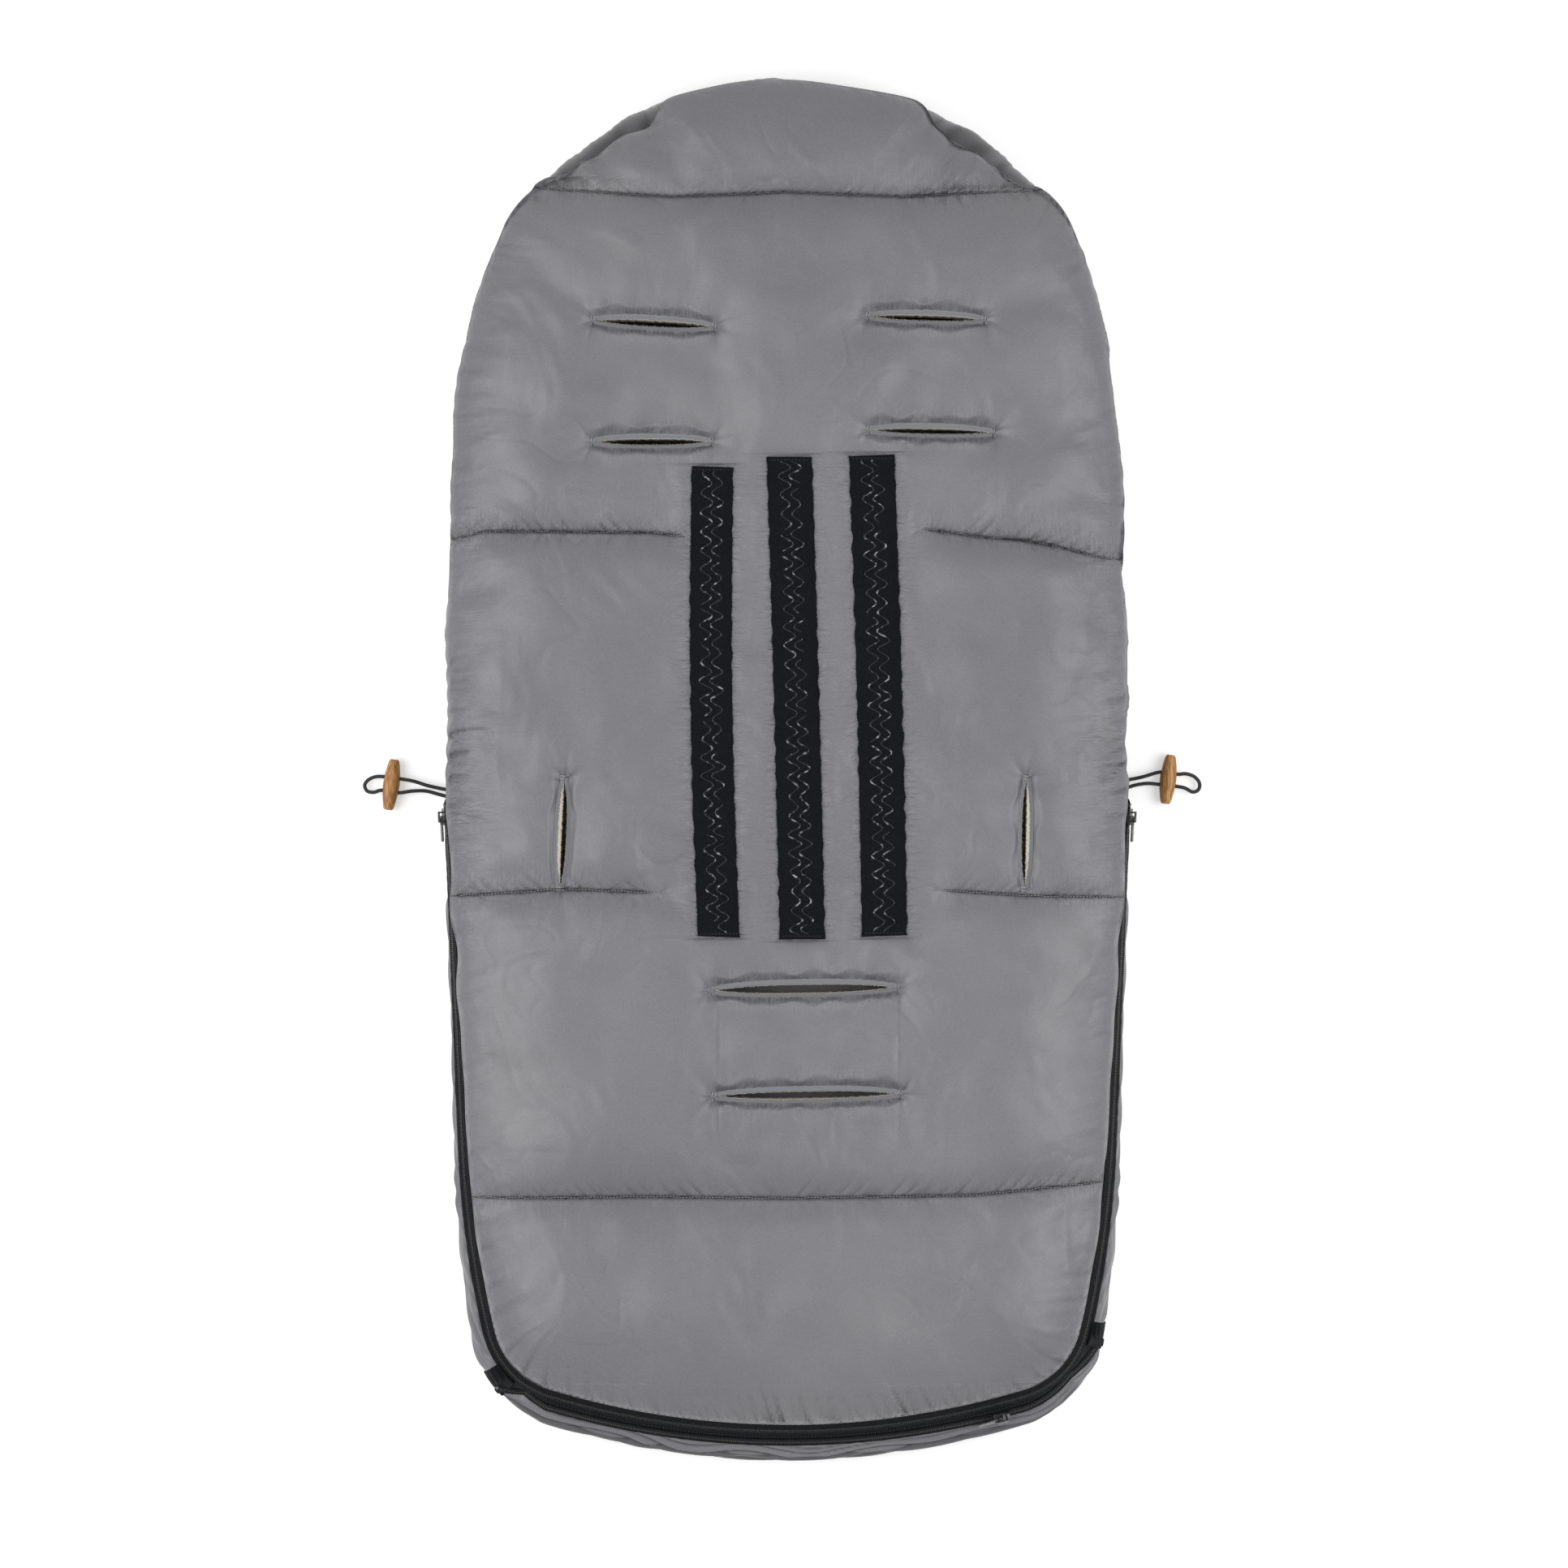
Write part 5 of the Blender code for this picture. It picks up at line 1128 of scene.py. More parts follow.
def foldRelief(x, y):
    # Broad swells of the padding, medium folds and thin creases where a slow mask lets them through.
    bent = x + 0.012 * softNoise(x, y, 0.11, 6, 12)
    broad = relief["broad"] * softNoise(bent, y * 0.8, 0.130, 1) + relief["swell"] * softNoise(x, y, 0.060, 2)
    medium = relief["medium"] * softNoise(bent * 1.1 + 0.2 * y, y, 0.026, 3)
    busy = np.clip(0.30 + 0.55 * softNoise(x, y, 0.15, 5, 12) + 0.5 * (np.abs(x) / 0.24) ** 3, 0.0, 1.2)
    first = softNoise(bent + 0.3 * y, y * 0.7, 0.070, 4, 16)
    second = softNoise(bent, y + 0.4 * x, 0.045, 7, 16)
    ridge = relief["ridge"] * bell(first, 0.34) * busy
    valley = -relief["valley"] * bell(second, 0.20) * np.clip(1.4 * busy - 0.5, 0.0, 1.0)
    # two faint upright lines below the tapes
    darts = 0.0
    within = easeStep((y + 0.270) / 0.02), easeStep((-0.140 - y) / 0.02)
    for at in relief["dartsX"]:
        darts = darts - relief["dart"] * bell(x - at, 0.0016) * within[0] * within[1]
    return broad + medium + ridge + valley + darts


puffMap = {"rows": 176, "columns": 88, "cell": 0.0045, "frames": 20, "cap": 0.0070, "slack": 0.030, "rise": None,
           "left": -0.27, "low": -0.52}


def crownHeight(near):
    # A quarter circle from the outline's bulge up to the level top.
    t = np.clip(near / panel["crownWidth"], 0.0, 1.0)
    body = np.sqrt(np.maximum(1.0 - (1.0 - t) ** 2, 0.0))
    return panel["bulgeZ"] + (panel["topZ"] - panel["bulgeZ"]) * body, body


def heldMask(x, y, near):
    # Where the cloth can't rise: its outline, the sewn seams, the slots' edges and the tapes.
    held = near < 0.006
    for seam in panel["seams"]:
        gap = np.abs(y - seamY(seam, x))
        for start, end in seam["span"]:
            held |= (gap < 0.0034) & (x > start) & (x < end)
    for _, use, _, a, b in eachSlot(x, y):
        held |= (np.abs(a) < use["length"] / 2.0 + 0.003) & (np.abs(b) < 0.0065)
    for word in tapeWords:
        use = tapes[word]
        held |= ((np.abs(x - tapeMiddle(use, y)) < use["width"] / 2.0 + 0.001) & (y < use["top"][1] + 0.002)
                 & (y > use["bottom"][1] - 0.002))
    return held


def simulatePuff():
    # The padded cloth, a little too large for its outline, swells under pressure between its sewn lines.
    x, y = panelPlan(puffMap["rows"], puffMap["columns"])
    near, _ = edgeDistance(x, y)
    z = crownHeight(near)[0] + 0.0004 * softNoise(x, y, 0.018, 701)
    blank = gridPiece("cloth_blank", np.stack([x, y, z], -1), [greySatin])
    group = blank.vertex_groups.new(name="held")
    group.add(np.flatnonzero(heldMask(x, y, near).ravel()).tolist(), 1.0, "REPLACE")
    use = blank.modifiers.new("puff", "CLOTH").settings
    use.quality, use.mass, use.air_damping = 6, 0.15, 3.0
    use.tension_stiffness = use.compression_stiffness = 12.0
    use.shear_stiffness, use.bending_stiffness = 3.0, 0.15
    use.vertex_group_mass, use.pin_stiffness = "held", 1.0
    use.use_pressure, use.uniform_pressure_force = True, 4.0
    use.effector_weights.gravity = 0.0
    use.shrink_min = -puffMap["slack"]
    for step in range(1, puffMap["frames"] + 1):
        bpy.context.scene.frame_set(step)
    shown = blank.evaluated_get(bpy.context.evaluated_depsgraph_get()).data
    flat = np.zeros(len(shown.vertices) * 3)
    shown.vertices.foreach_get("co", flat)
    moved = flat.reshape(-1, 3)
    rise = moved[:, 2] - z.ravel()
    bpy.data.objects.remove(blank)
    bpy.context.scene.frame_set(1)
    print("cloth rise, lowest, mean and highest:", rise.min(), rise.mean(), rise.max())
    cap = puffMap["cap"]
    rise = cap * np.tanh(rise / cap)
    # spread the risen points over a level grid of cells and smooth both the sums and the counts
    columns, rows = int(0.54 / puffMap["cell"]), int(1.04 / puffMap["cell"])
    column = np.clip((moved[:, 0] - puffMap["left"]) / puffMap["cell"], 0, columns - 1).astype(int)
    row = np.clip((moved[:, 1] - puffMap["low"]) / puffMap["cell"], 0, rows - 1).astype(int)
    count, total = (np.bincount(row * columns + column, weights, rows * columns).reshape(rows, columns).astype(float)
                    for weights in (None, rise))
    share = smoothed(total, 2, True) / np.maximum(smoothed(count, 2, True), 1e-3)
    puffMap["rise"] = smoothed(np.repeat(np.repeat(share, 3, axis=0), 3, axis=1), 16, True)


def puffRise(x, y):
    # The cloth's rise between the centres of the fine cells, straight-line in both directions.
    field = puffMap["rise"]
    if field is None:
        return 0.0
    cell = puffMap["cell"] / 3.0
    u = np.clip((x - puffMap["left"]) / cell - 0.5, 0.0, field.shape[1] - 1.001)
    v = np.clip((y - puffMap["low"]) / cell - 0.5, 0.0, field.shape[0] - 1.001)
    c, r = u.astype(int), v.astype(int)
    fu, fv = u - c, v - r
    low = field[r, c] * (1.0 - fu) + field[r, c + 1] * fu
    high = field[r + 1, c] * (1.0 - fu) + field[r + 1, c + 1] * fu
    return low * (1.0 - fv) + high * fv


def panelHeight(x, y):
    # Rounded rise from the outline, plus the padding's puff, less everything that is sewn down.
    near, where = edgeDistance(x, y)
    crown, body = crownHeight(near)
    gap = np.full(np.shape(x), 1.0)
    for index in (0, 3):
        gap = np.minimum(gap, np.abs(y - seamY(panel["seams"][index], x)))
    puff = panel["puff"] * (1.0 - np.exp(-(gap / 0.040) ** 1.6)) * body
    height = crown + puff + puffRise(x, y) * easeStep(near / 0.012)
    height += seamRelief(x, y, body) + slotRelief(x, y) + tapeRelief(x, y)
    height += edgeRelief(near, where) + foldRelief(x, y) * (0.35 + 0.65 * body)
    limit = panel["limitZ"]
    return np.where(height > limit, limit + 0.0030 * np.tanh((height - limit) / 0.0030), height)


def spacedBy(weight, start, end, count):
    # Values between start and end, closer together where the weight is higher.
    fine = np.linspace(start, end, 6000)
    run = np.concatenate([[0.0], np.cumsum(0.5 * (weight(fine)[1:] + weight(fine)[:-1]))])
    return np.interp(np.linspace(0.0, run[-1], count), run, fine)


def panelPlan(rows, columns):
    # Plan points of a grid that fills the outline: level rows that bow to meet the crown and the foot.
    topEnd, footEnd = 0.4505, -0.4385
    order = np.argsort(panelLine[:, 1])
    right = panelLine[order][panelLine[order][:, 0] > 0]
    left = panelLine[order][panelLine[order][:, 0] < 0]
    crown = panelLine[panelLine[:, 1] > topEnd]
    foot = panelLine[panelLine[:, 1] < footEnd]
    crown, foot = crown[np.argsort(crown[:, 0])], foot[np.argsort(foot[:, 0])]
    crownY, footY = float(crown[:, 1].max()), float(foot[:, 1].min())

    def rowWeight(y):
        weight = 1.0 + 0.0 * y
        for at in panel["levels"]:
            weight += 4.0 * bell(y - at, 0.0036)
        for at in panel["slotLevels"]:
            weight += 0.9 * bell(y - at, 0.012)
        return weight + 0.8 * (y > 0.47) + 0.8 * (y < -0.45)

    def columnWeight(u):
        return (1.0 + 1.1 * np.exp(-((np.abs(u) - 1.0) / 0.05) ** 2) + 0.8 * bell(u + 0.665, 0.03)
                + 0.8 * bell(u - 0.700, 0.03))

    level = spacedBy(rowWeight, footY, crownY, rows)
    u = spacedBy(columnWeight, -1.0, 1.0, columns)
    high, low = 0.427, -0.335
    t = np.clip((level - high) / (crownY - high), 0.0, 1.0)
    k = (crownY - high) / (topEnd - high) - 1.0
    sideY = np.where(level > high, high + (crownY - high) * t / (1.0 + k * t), level)
    t = np.clip((low - level) / (low - footY), 0.0, 1.0)
    k = (low - footY) / (low - footEnd) - 1.0
    sideY = np.where(level < low, low - (low - footY) * t / (1.0 + k * t), sideY)
    leftX = np.interp(sideY, left[:, 1], left[:, 0])
    rightX = np.interp(sideY, right[:, 1], right[:, 0])
    share = (u[None, :] + 1.0) / 2.0
    x = leftX[:, None] + (rightX - leftX)[:, None] * share
    crownX = crown[0, 0] + (crown[-1, 0] - crown[0, 0]) * share
    footX = foot[0, 0] + (foot[-1, 0] - foot[0, 0]) * share
    crownBow = (crownY - np.interp(crownX, crown[:, 0], crown[:, 1])) / (crownY - topEnd)
    footBow = (np.interp(footX, foot[:, 0], foot[:, 1]) - footY) / (footEnd - footY)
    bow = np.where((level > high)[:, None], crownBow, 0.0) * (level - sideY)[:, None]
    bow = bow + np.where((level < low)[:, None], footBow, 0.0) * (level - sideY)[:, None]
    y = level[:, None] - bow
    # rows near a seam are drawn onto its line, so that its crease runs along the grid
    steady = y.copy()
    for seam, at in zip(panel["seams"], panel["levels"]):
        y = y + (seamY(seam, x) - at) * bell(steady - at, 0.028)
    return x, y


def openSlots(x, y, extra):
    # Split the grid between two rows or columns at each slot and draw both lips back to the lens outline.
    keep = np.ones((x.shape[0] - 1, x.shape[1] - 1), bool)
    movedX, movedY = x.copy(), y.copy()
    for _, use, upright, a, _ in eachSlot(x, y):
        half = use["length"] / 2.0 + extra
        if upright:
            row = np.abs(y[:, x.shape[1] // 2] - use["at"][1]).argmin()
            first = int(np.searchsorted(x[row], use["at"][0])) - 1
            pair = (x[:, first] + x[:, first + 1]) / 2.0
            apart = (x[:, first + 1] - x[:, first]) / 2.0
            away = -(x - pair[:, None])
            fromSlot = (pair - use["at"][0])[:, None] - use["lean"] * (y - use["at"][1])
            inside = np.abs(y[:, first] - use["at"][1]) < half
            rowsIn = np.where(inside[:-1] & inside[1:])[0]
            keep[rowsIn, first] = False
            apart = apart[:, None]
        else:
            column = np.abs(x[x.shape[0] // 2] - use["at"][0]).argmin()
            first = int(np.searchsorted(y[:, column], use["at"][1])) - 1
            pair = (y[first] + y[first + 1]) / 2.0
            apart = ((y[first + 1] - y[first]) / 2.0)[None, :]
            away = y - pair[None, :]
            fromSlot = use["at"][1] - pair[None, :] + use["lean"] * (x - use["at"][0])
            inside = np.abs(x[first] - use["at"][0]) < half
            columnsIn = np.where(inside[:-1] & inside[1:])[0]
            keep[first, columnsIn] = False
        reach = 0.016
        lip = np.maximum(lensWidth(use, a, extra), apart)
        drawn = lip + (reach - lip) * (np.abs(away) - apart) / (reach - apart)
        active = (np.abs(away) < reach) & (np.abs(a) < half + 0.004)
        target = np.sign(away) * drawn + fromSlot * (1.0 - np.abs(away) / reach)
        blend = easeStep((half + 0.004 - np.abs(a)) / 0.004)
        shift = np.where(active, (target - away) * blend, 0.0)
        if upright:
            movedX -= shift
        else:
            movedY += shift
    return movedX, movedY, keep


def loopIndices(rows, columns):
    # The grid's border as point numbers, anticlockwise from its lower left corner.
    low = np.arange(columns)
    right = np.arange(1, rows) * columns + columns - 1
    top = (rows - 1) * columns + np.arange(columns - 2, -1, -1)
    left = np.arange(rows - 2, 0, -1) * columns
    return np.concatenate([low, right, top, left])


def cavityShade(grid):
    # Painted shade in hollows: how far a point lies below its neighbourhood, a smoothed height less its own, over a
    # millimetre or two.
    z = grid[..., 2]
    total = np.zeros(z.shape)
    for rounds, share, scale in ((4, 0.60, 0.0008), (16, 0.16, 0.0024)):
        below = smoothed(z.copy(), rounds, True) - z
        total = np.maximum(total, share * np.clip(below / scale - 0.10, 0.0, 1.0))
    total[:3], total[-3:], total[:, :3], total[:, -3:] = 0.0, 0.0, 0.0, 0.0
    return total


def pointMask(piece, values, word="paintedShade"):
    # One value for each point, which the satin reads: painted shade, or a mask of where fine wrinkles show.
    layer = piece.data.attributes.new(word, "FLOAT", "POINT")
    layer.data.foreach_set("value", np.asarray(values, dtype=np.float32).ravel())


def makeBackPanel():
    # The quilted outer fabric over its padding, down to the seam, with the slots open.
    rows, columns = panel["rows"], panel["columns"]
    x, y = panelPlan(rows, columns)
    x, y, keep = openSlots(x, y, panel["slotGap"])
    top = np.stack([x, y, panelHeight(x, y)], -1)
    border = loopIndices(rows, columns)
    edge = top.reshape(-1, 3)[border]
    out = smoothedRing(outwardOf(np.concatenate([edge[-1:], edge, edge[:1]]))[1:-1], 6)
    upper = easeStep((edge[:, 1] + 0.035) / 0.02)
    turnedIn = np.where(upper > 0.5, 0.0040, 0.0002)
    seamZ = zipLine["seamZ"] + 0.0004
    rings = []
    for t in np.linspace(0.0, 1.0, 8)[1:]:
        swell = 0.0007 * math.sin(pi * t) - turnedIn * t ** 2.2
        z = edge[:, 2] + (seamZ - edge[:, 2]) * math.sin(t * pi / 2.0)
        rings.append(np.c_[edge[:, :2] + out * swell[:, None], z])
    skirt = np.stack([edge] + rings)
    quads, _ = gridParts(top)
    skirtQuads, skirtCorner = gridParts(skirt, closed=True, flip=True, first=rows * columns)
    corner = cornersOf(np.stack([x, y], -1))
    points = np.concatenate([top.reshape(-1, 3), skirt.reshape(-1, 3)])
    allQuads = np.concatenate([quads[keep], skirtQuads.reshape(-1, 4)])
    allCorner = np.concatenate([corner[keep], skirtCorner.reshape(-1, 4, 2)])
    piece = makePiece("back_panel_quilt", points, allQuads, [greySatin], allCorner)
    below = np.zeros(skirt.shape[0] * skirt.shape[1])
    # painted shade in hollows, along the seams, at the foot's edge and beside the slots
    masks = {"paintedShade": np.maximum(cavityShade(top), tuckShade(x, y))}
    masks["gather"], masks["ruffle"] = gatherMask(x, y)
    for word, mask in masks.items():
        pointMask(piece, np.concatenate([mask.ravel(), below]), word)
    welded(piece)
    belongs(piece, "back", "shell_fabric", "back_shell", "head_wadding", "body_wadding", "foot_wadding")


simulatePuff()
makeBackPanel()
print("back panel made")


lining = {"rows": 230, "columns": 120, "edgeZ": 0.0638, "flatZ": 0.0714, "limitZ": 0.0740, "seamLift": 0.0018,
          "thick": 0.0011}


def makeBackLining():
    # The fleece inner face: flat over the middle, its edge turned down into the seam.
    x, y = panelPlan(lining["rows"], lining["columns"])
    x, y = x * (1.0 - 0.0058 / 0.245), (y + 0.001) * (1.0 - 0.0062 / 0.48) - 0.001
    x, y, keep = openSlots(x, y, panel["slotGap"])
    near, _ = edgeDistance(x, y)
    rise = easeStep((near - 0.004) / 0.012)
    z = lining["edgeZ"] + (lining["flatZ"] - lining["edgeZ"]) * rise + 0.0004 * softNoise(x, y, 0.030, 71) * rise
    for seam in (panel["seams"][0], panel["seams"][3]):
        z = z + lining["seamLift"] * np.exp(-((y - seamY(seam, x)) / 0.004) ** 2) * rise
    grid = np.stack([x, y, np.minimum(z, lining["limitZ"])], -1)
    piece = gridPiece("back_fleece_lining", grid, [creamFleece], keep=keep, flip=True)
    thickened(piece, lining["thick"])
    belongs(piece, "back", "lining_fleece", "back_lining")


makeBackLining()


slotEdge = {
    "section": [(-0.00002, -0.0308), (0.0000, -0.0160), (0.0000, -0.0030), (-0.0002, -0.0014), (-0.00035, -0.0006),
                (0.0000, 0.0003), (0.00035, 0.00055), (0.00050, 0.00095), (0.00100, 0.00100), (0.00140, 0.00045),
                (0.00165, 0.00040), (0.00200, 0.00095), (0.00255, 0.00090), (0.00290, 0.00040), (0.00315, -0.0008)],
    "points": 260, "bottomZ": 0.0704, "tackHalf": 0.0031, "tackRadius": 0.00055, "tackAt": (0.0008, 0.0030),
    "flap": (0.152, 0.030), "flapZ": 0.0692,
}


def barTacks(use, upright):
    # Flat ribs of thread across both ends of a slot.
    tacks = []
    across = np.linspace(-slotEdge["tackHalf"], slotEdge["tackHalf"], 14)
    for end in (-1.0, 1.0):
        for shift in slotEdge["tackAt"]:
            along = np.full(14, end * (use["length"] / 2.0 + shift))
            px = use["at"][0] - across + use["lean"] * along if upright else use["at"][0] + along
            py = use["at"][1] + along if upright else use["at"][1] + across + use["lean"] * along
            path = np.stack([px, py, panelHeight(px, py) + 0.0005], -1)
            tacks.append((tubeGrid(path, slotEdge["tackRadius"], 8, flatten=0.6), True, True, 0))
    return tacks


def slotFlap(use, seed):
    # A loose grey flap hangs behind the slot and shows through it: a level strip with a wave along its free edge.
    u, v = np.meshgrid(np.linspace(-0.5, 0.5, 70), np.linspace(0.5, -0.5, 16))
    wave = 0.0007 * lineNoise(u * 0.15, 0.022, 260 + seed)
    return np.stack([use["at"][0] + u * slotEdge["flap"][0], use["at"][1] + v * slotEdge["flap"][1] + 0.0005,
                     slotEdge["flapZ"] - 0.0030 * (0.5 - v) + wave * (0.5 - v)], -1)


def makeSlotEdges():
    # A double row of satin stitch round each slot, its inner wall down through the panel, and bar tacks.
    for seed, (word, use) in enumerate(slots.items()):
        upright = word.startswith("waist")
        turn = fullTurn(slotEdge["points"])
        a = (use["length"] / 2.0) * np.cos(turn)
        b = use["open"] * np.sign(np.sin(turn)) * (1.0 - np.abs(np.cos(turn)) ** 3) + 1e-5 * np.sin(turn)
        line = np.stack([a, b], -1)
        line = evenly(np.concatenate([line, line[:1]]), slotEdge["points"] + 1)[:-1]
        out = unit(smoothedRing(outwardOf(np.concatenate([line[-2:], line, line[:2]]))[2:-2], 3))
        run = runLength(line)
        rings = []
        for d, z in slotEdge["section"]:
            wobble = 0.00012 * lineNoise(run, 0.006, 200 + seed)
            if d < 0.0001 and z > -0.002:
                wobble = wobble + 0.00026 * lineNoise(run, 0.0021, 220 + seed)
            upper = np.clip(line[:, 1] / use["open"], -1.0, 1.0)
            p = line + out * (d * (0.92 if upright else 1.06 + 0.22 * upper) + wobble)[:, None]
            if upright:
                bow = 1.0 - np.abs(p[:, 0] * 2.0 / use["length"]) ** 3
                deeper = use["lip"] * np.clip((-0.0003 - z) / 0.0011, 0.0, 1.0) * bow
                wx, wy = use["at"][0] - p[:, 1] + use["lean"] * p[:, 0] + deeper, use["at"][1] + p[:, 0]
            else:
                wx, wy = use["at"][0] + p[:, 0], use["at"][1] + p[:, 1] + use["lean"] * p[:, 0]
            height = np.full(len(wx), slotEdge["bottomZ"]) if z < -0.02 else panelHeight(wx, wy) + z
            rings.append(np.stack([wx, wy, height], -1))
        # the wall is fleece, its rim frayed, and the rest is thread
        rowFinish = np.array([2, 2, 2, 2, 1] + [0] * 9)[:, None]
        piece = gridPiece(word + "_slot_stitching", np.stack(rings), [satinThread, fray, creamFleece], closed=True,
                          flip=True, rowFinish=rowFinish)
        belongs(piece, "back", "stitching", use["node"])
        bars = joinedGrids(word + "_slot_bar_tacks", barTacks(use, upright), [satinThread])
        belongs(bars, "back", "stitching")
        if word.startswith("crotch"):
            sheet = gridPiece(word + "_slot_flap", slotFlap(use, seed), [greySatin])
            thickened(sheet, 0.0006)
            belongs(sheet, "back", "shell_fabric")


makeSlotEdges()
print("slot edges made")


def makeGripTapes():
    # Woven tapes laid on the panel, and two wavy silicone beads along each one.
    for seed, word in enumerate(tapeWords):
        use = tapes[word]
        y = np.linspace(use["bottom"][1], use["top"][1], tapes["rows"])
        share = np.linspace(-1.0, 1.0, tapes["columns"] * 2 + 1)
        leftEdge, rightEdge = (0.00035 * lineNoise(y, 0.016, first + seed)
                               + 0.00012 * lineNoise(y, 0.003, first + 3 + seed) for first in (140, 150))
        middle = tapeMiddle(use, y)
        uneven = np.where(share < 0, leftEdge[:, None], rightEdge[:, None]) * np.abs(share)
        x = middle[:, None] + share[None] * (use["width"] / 2.0) + uneven
        rowY = np.broadcast_to(y[:, None], x.shape) + 0.0006 * share[None] * (seed - 1)
        rounded = 0.0005 * (1.0 - np.abs(share[None]) ** 6)
        lift = 0.00010 * softNoise(x, rowY, 0.012, 160 + seed)
        grid = np.stack([x, rowY, panelHeight(x, rowY) + tapes["thick"] - 0.0002 + rounded + lift], -1)
        mapped = np.stack([x - middle[:, None], rowY], -1)
        piece = gridPiece(word + "_woven_tape", grid, [blackTwill], mapped=mapped)
        thickened(piece, tapes["thick"])
        belongs(piece, "back", "black_tape", word + "_grip_tape")
        surface = []
        for side in (-1.0, 1.0):
            run = np.linspace(use["bottom"][1] + 0.003, use["top"][1] - 0.003, 1500)
            phase = 2.0 * pi * (run / tapes["wave"]) + 0.9 * seed + 0.25 * lineNoise(run, 0.09, 170 + seed)
            swing = tapes["swing"] * (1.0 + 0.12 * lineNoise(run, 0.05, 173 + seed))
            beadX = tapeMiddle(use, run) + side * 0.0038 + swing * np.sin(phase)
            level = np.interp(run, y, grid[:, tapes["columns"], 2]) + 0.00012
            path = np.stack([beadX, run, level], -1)
            radius = tapes["bead"] * (1.0 + 0.25 * lineNoise(run, 0.007, 180 + seed))
            surface.append((tubeGrid(path, radius, 8, flatten=0.62), True, True, 0))
        belongs(joinedGrids(word + "_silicone_beads", surface, [clearSilicone]), "back", "black_tape")


makeGripTapes()
print("grip tapes made")

stitches = {  # pitch, length and thickness
    "quilting": (0.0024, 0.0016, 0.00022), "tape": (0.0026, 0.0019, 0.00024), "gusset": (0.0027, 0.0018, 0.00020)}


def sixSidedCaps(last):
    # Two quads for each end of a six-sided bar; last is the number of the last ring's first point.
    return np.array([[0, 1, 2, 3], [0, 3, 4, 5], [last + 3, last + 2, last + 1, last],
                     [last + 5, last + 4, last + 3, last]])


def lozenge(length, thick, high):
    # A short rounded bar: four rings of six points along x, pinched at both ends.
    x = np.array([-0.5, -0.36, 0.36, 0.5]) * length
    size = np.array([0.35, 1.0, 1.0, 0.35])
    turn = fullTurn(6)
    grid = np.stack([np.broadcast_to(x[:, None], (4, 6)), size[:, None] * np.cos(turn) * thick,
                     size[:, None] * np.sin(turn) * high], -1)
    quads, _ = gridParts(grid, closed=True)
    return grid.reshape(-1, 3), np.concatenate([quads.reshape(-1, 4), sixSidedCaps(18)])


def pointsAt(run, path, at):
    # Points of a line at distances along it.
    return np.stack([np.interp(at, run, path[:, i]) for i in range(3)], -1)


def stitchRow(name, path, kind, finish, body, normals=None):
    # Stitches of one length along a line, each a short bar that follows it.
    pitch, length, thick = stitches[kind]
    run = runLength(path)
    at = np.arange(pitch * 0.5, run[-1], pitch)
    along = unit(pointsAt(run, path, at + length * 0.3) - pointsAt(run, path, at - length * 0.3))
    lift = np.array([0.0, 0.0, 1.0]) if normals is None else pointsAt(run, normals, at)
    side = unit(np.cross(np.broadcast_to(lift, along.shape), along))
    template, quads = lozenge(length, thick, thick * 0.8)
    piece = repeated(name, template, quads, pointsAt(run, path, at), along, side, np.cross(along, side), [finish])
    belongs(piece, body, "stitching")


def makeSeamStitches():
    # Thread along the quilting seams, sunk in the crease.
    number = 0
    for index, seam in enumerate(panel["seams"]):
        for start, end in seam["span"]:
            number += 1
            reach = np.interp(np.mean(seam["y"]), [-0.31, 0.0, 0.17, 0.42], [0.222, 0.2405, 0.236, 0.176])
            x = np.linspace(max(start, -reach), min(end, reach), 700)
            y = seamY(seam, x) + 0.0002 * lineNoise(x, 0.02, 300 + index)
            path = np.stack([x, y, panelHeight(x, y) + (0.0002 if index in (0, 1) else 0.0011)], -1)
            stitchRow("quilting_stitches_%d" % number, path, "quilting", satinThread if index == 0 else paleThread,
                      "back")
    for word in tapeWords:
        use = tapes[word]
        for end, y0 in (("top", use["top"][1] - 0.0022), ("bottom", use["bottom"][1] + 0.0022)):
            x = tapeMiddle(use, y0) + np.linspace(-0.45, 0.45, 60) * use["width"]
            y = np.full(60, y0)
            path = np.stack([x, y, panelHeight(x, y) + 0.0016], -1)
            stitchRow("%s_tape_stitches_%s" % (word, end), path, "tape", blackThread, "back")


makeSeamStitches()
print("stitches made")


# The hood wall and its hem.

hood = {"stations": 900, "steps": 5, "hemHalf": 0.0060, "hemZ": 0.0054, "leftEnd": -0.004, "rightEnd": 0.003,
        "shell": 0.0008, "fleece": 0.0010, "liningDepth": 0.0022, "gather": 0.0014, "dent": 0.0008, "tuck": 0.0026,
        "tuckDent": 0.0006, "seamZ": 0.0660, "shoulderZ": 0.0640, "wallZ": (0.0530, 0.0390, 0.0215, 0.0108)}


def hemInset(y):
    # How far the hem is drawn in from the wall's outer line.
    return np.interp(y, [0.0, 0.08, 0.30, 0.42], [0.0068, 0.0180, 0.0210, 0.0290])


def hoodLines():
    # Stations on the wall's outer line, their normals, and the panel's seam beside each one.
    ends = np.where(wallOutline[:, 0] > 0, hood["rightEnd"] - 0.012, hood["leftEnd"] - 0.006)
    line = evenly(wallOutline[wallOutline[:, 1] > ends], hood["stations"])
    out = unit(smoothed(outwardOf(line), 30))
    seam = panelUpper - smoothed(outwardOf(panelUpper), 40) * 0.0100
    gap = np.hypot(seam[None, :, 0] - line[:, None, 0], seam[None, :, 1] - line[:, None, 1])
    return line, out, smoothed(seam[gap.argmin(axis=1)], 60)


hoodLine, hoodOut, hoodTops = hoodLines()
hoodRun = runLength(hoodLine)


def hoodTucks(s, w):
    # Tucks down the wall that drift a little to the side, as a run along it and a share of its height.
    return pleats(s + 0.010 * softNoise(s, w * 0.03, 0.070, 405, 12) + 0.012 * w, 0.021, 404)


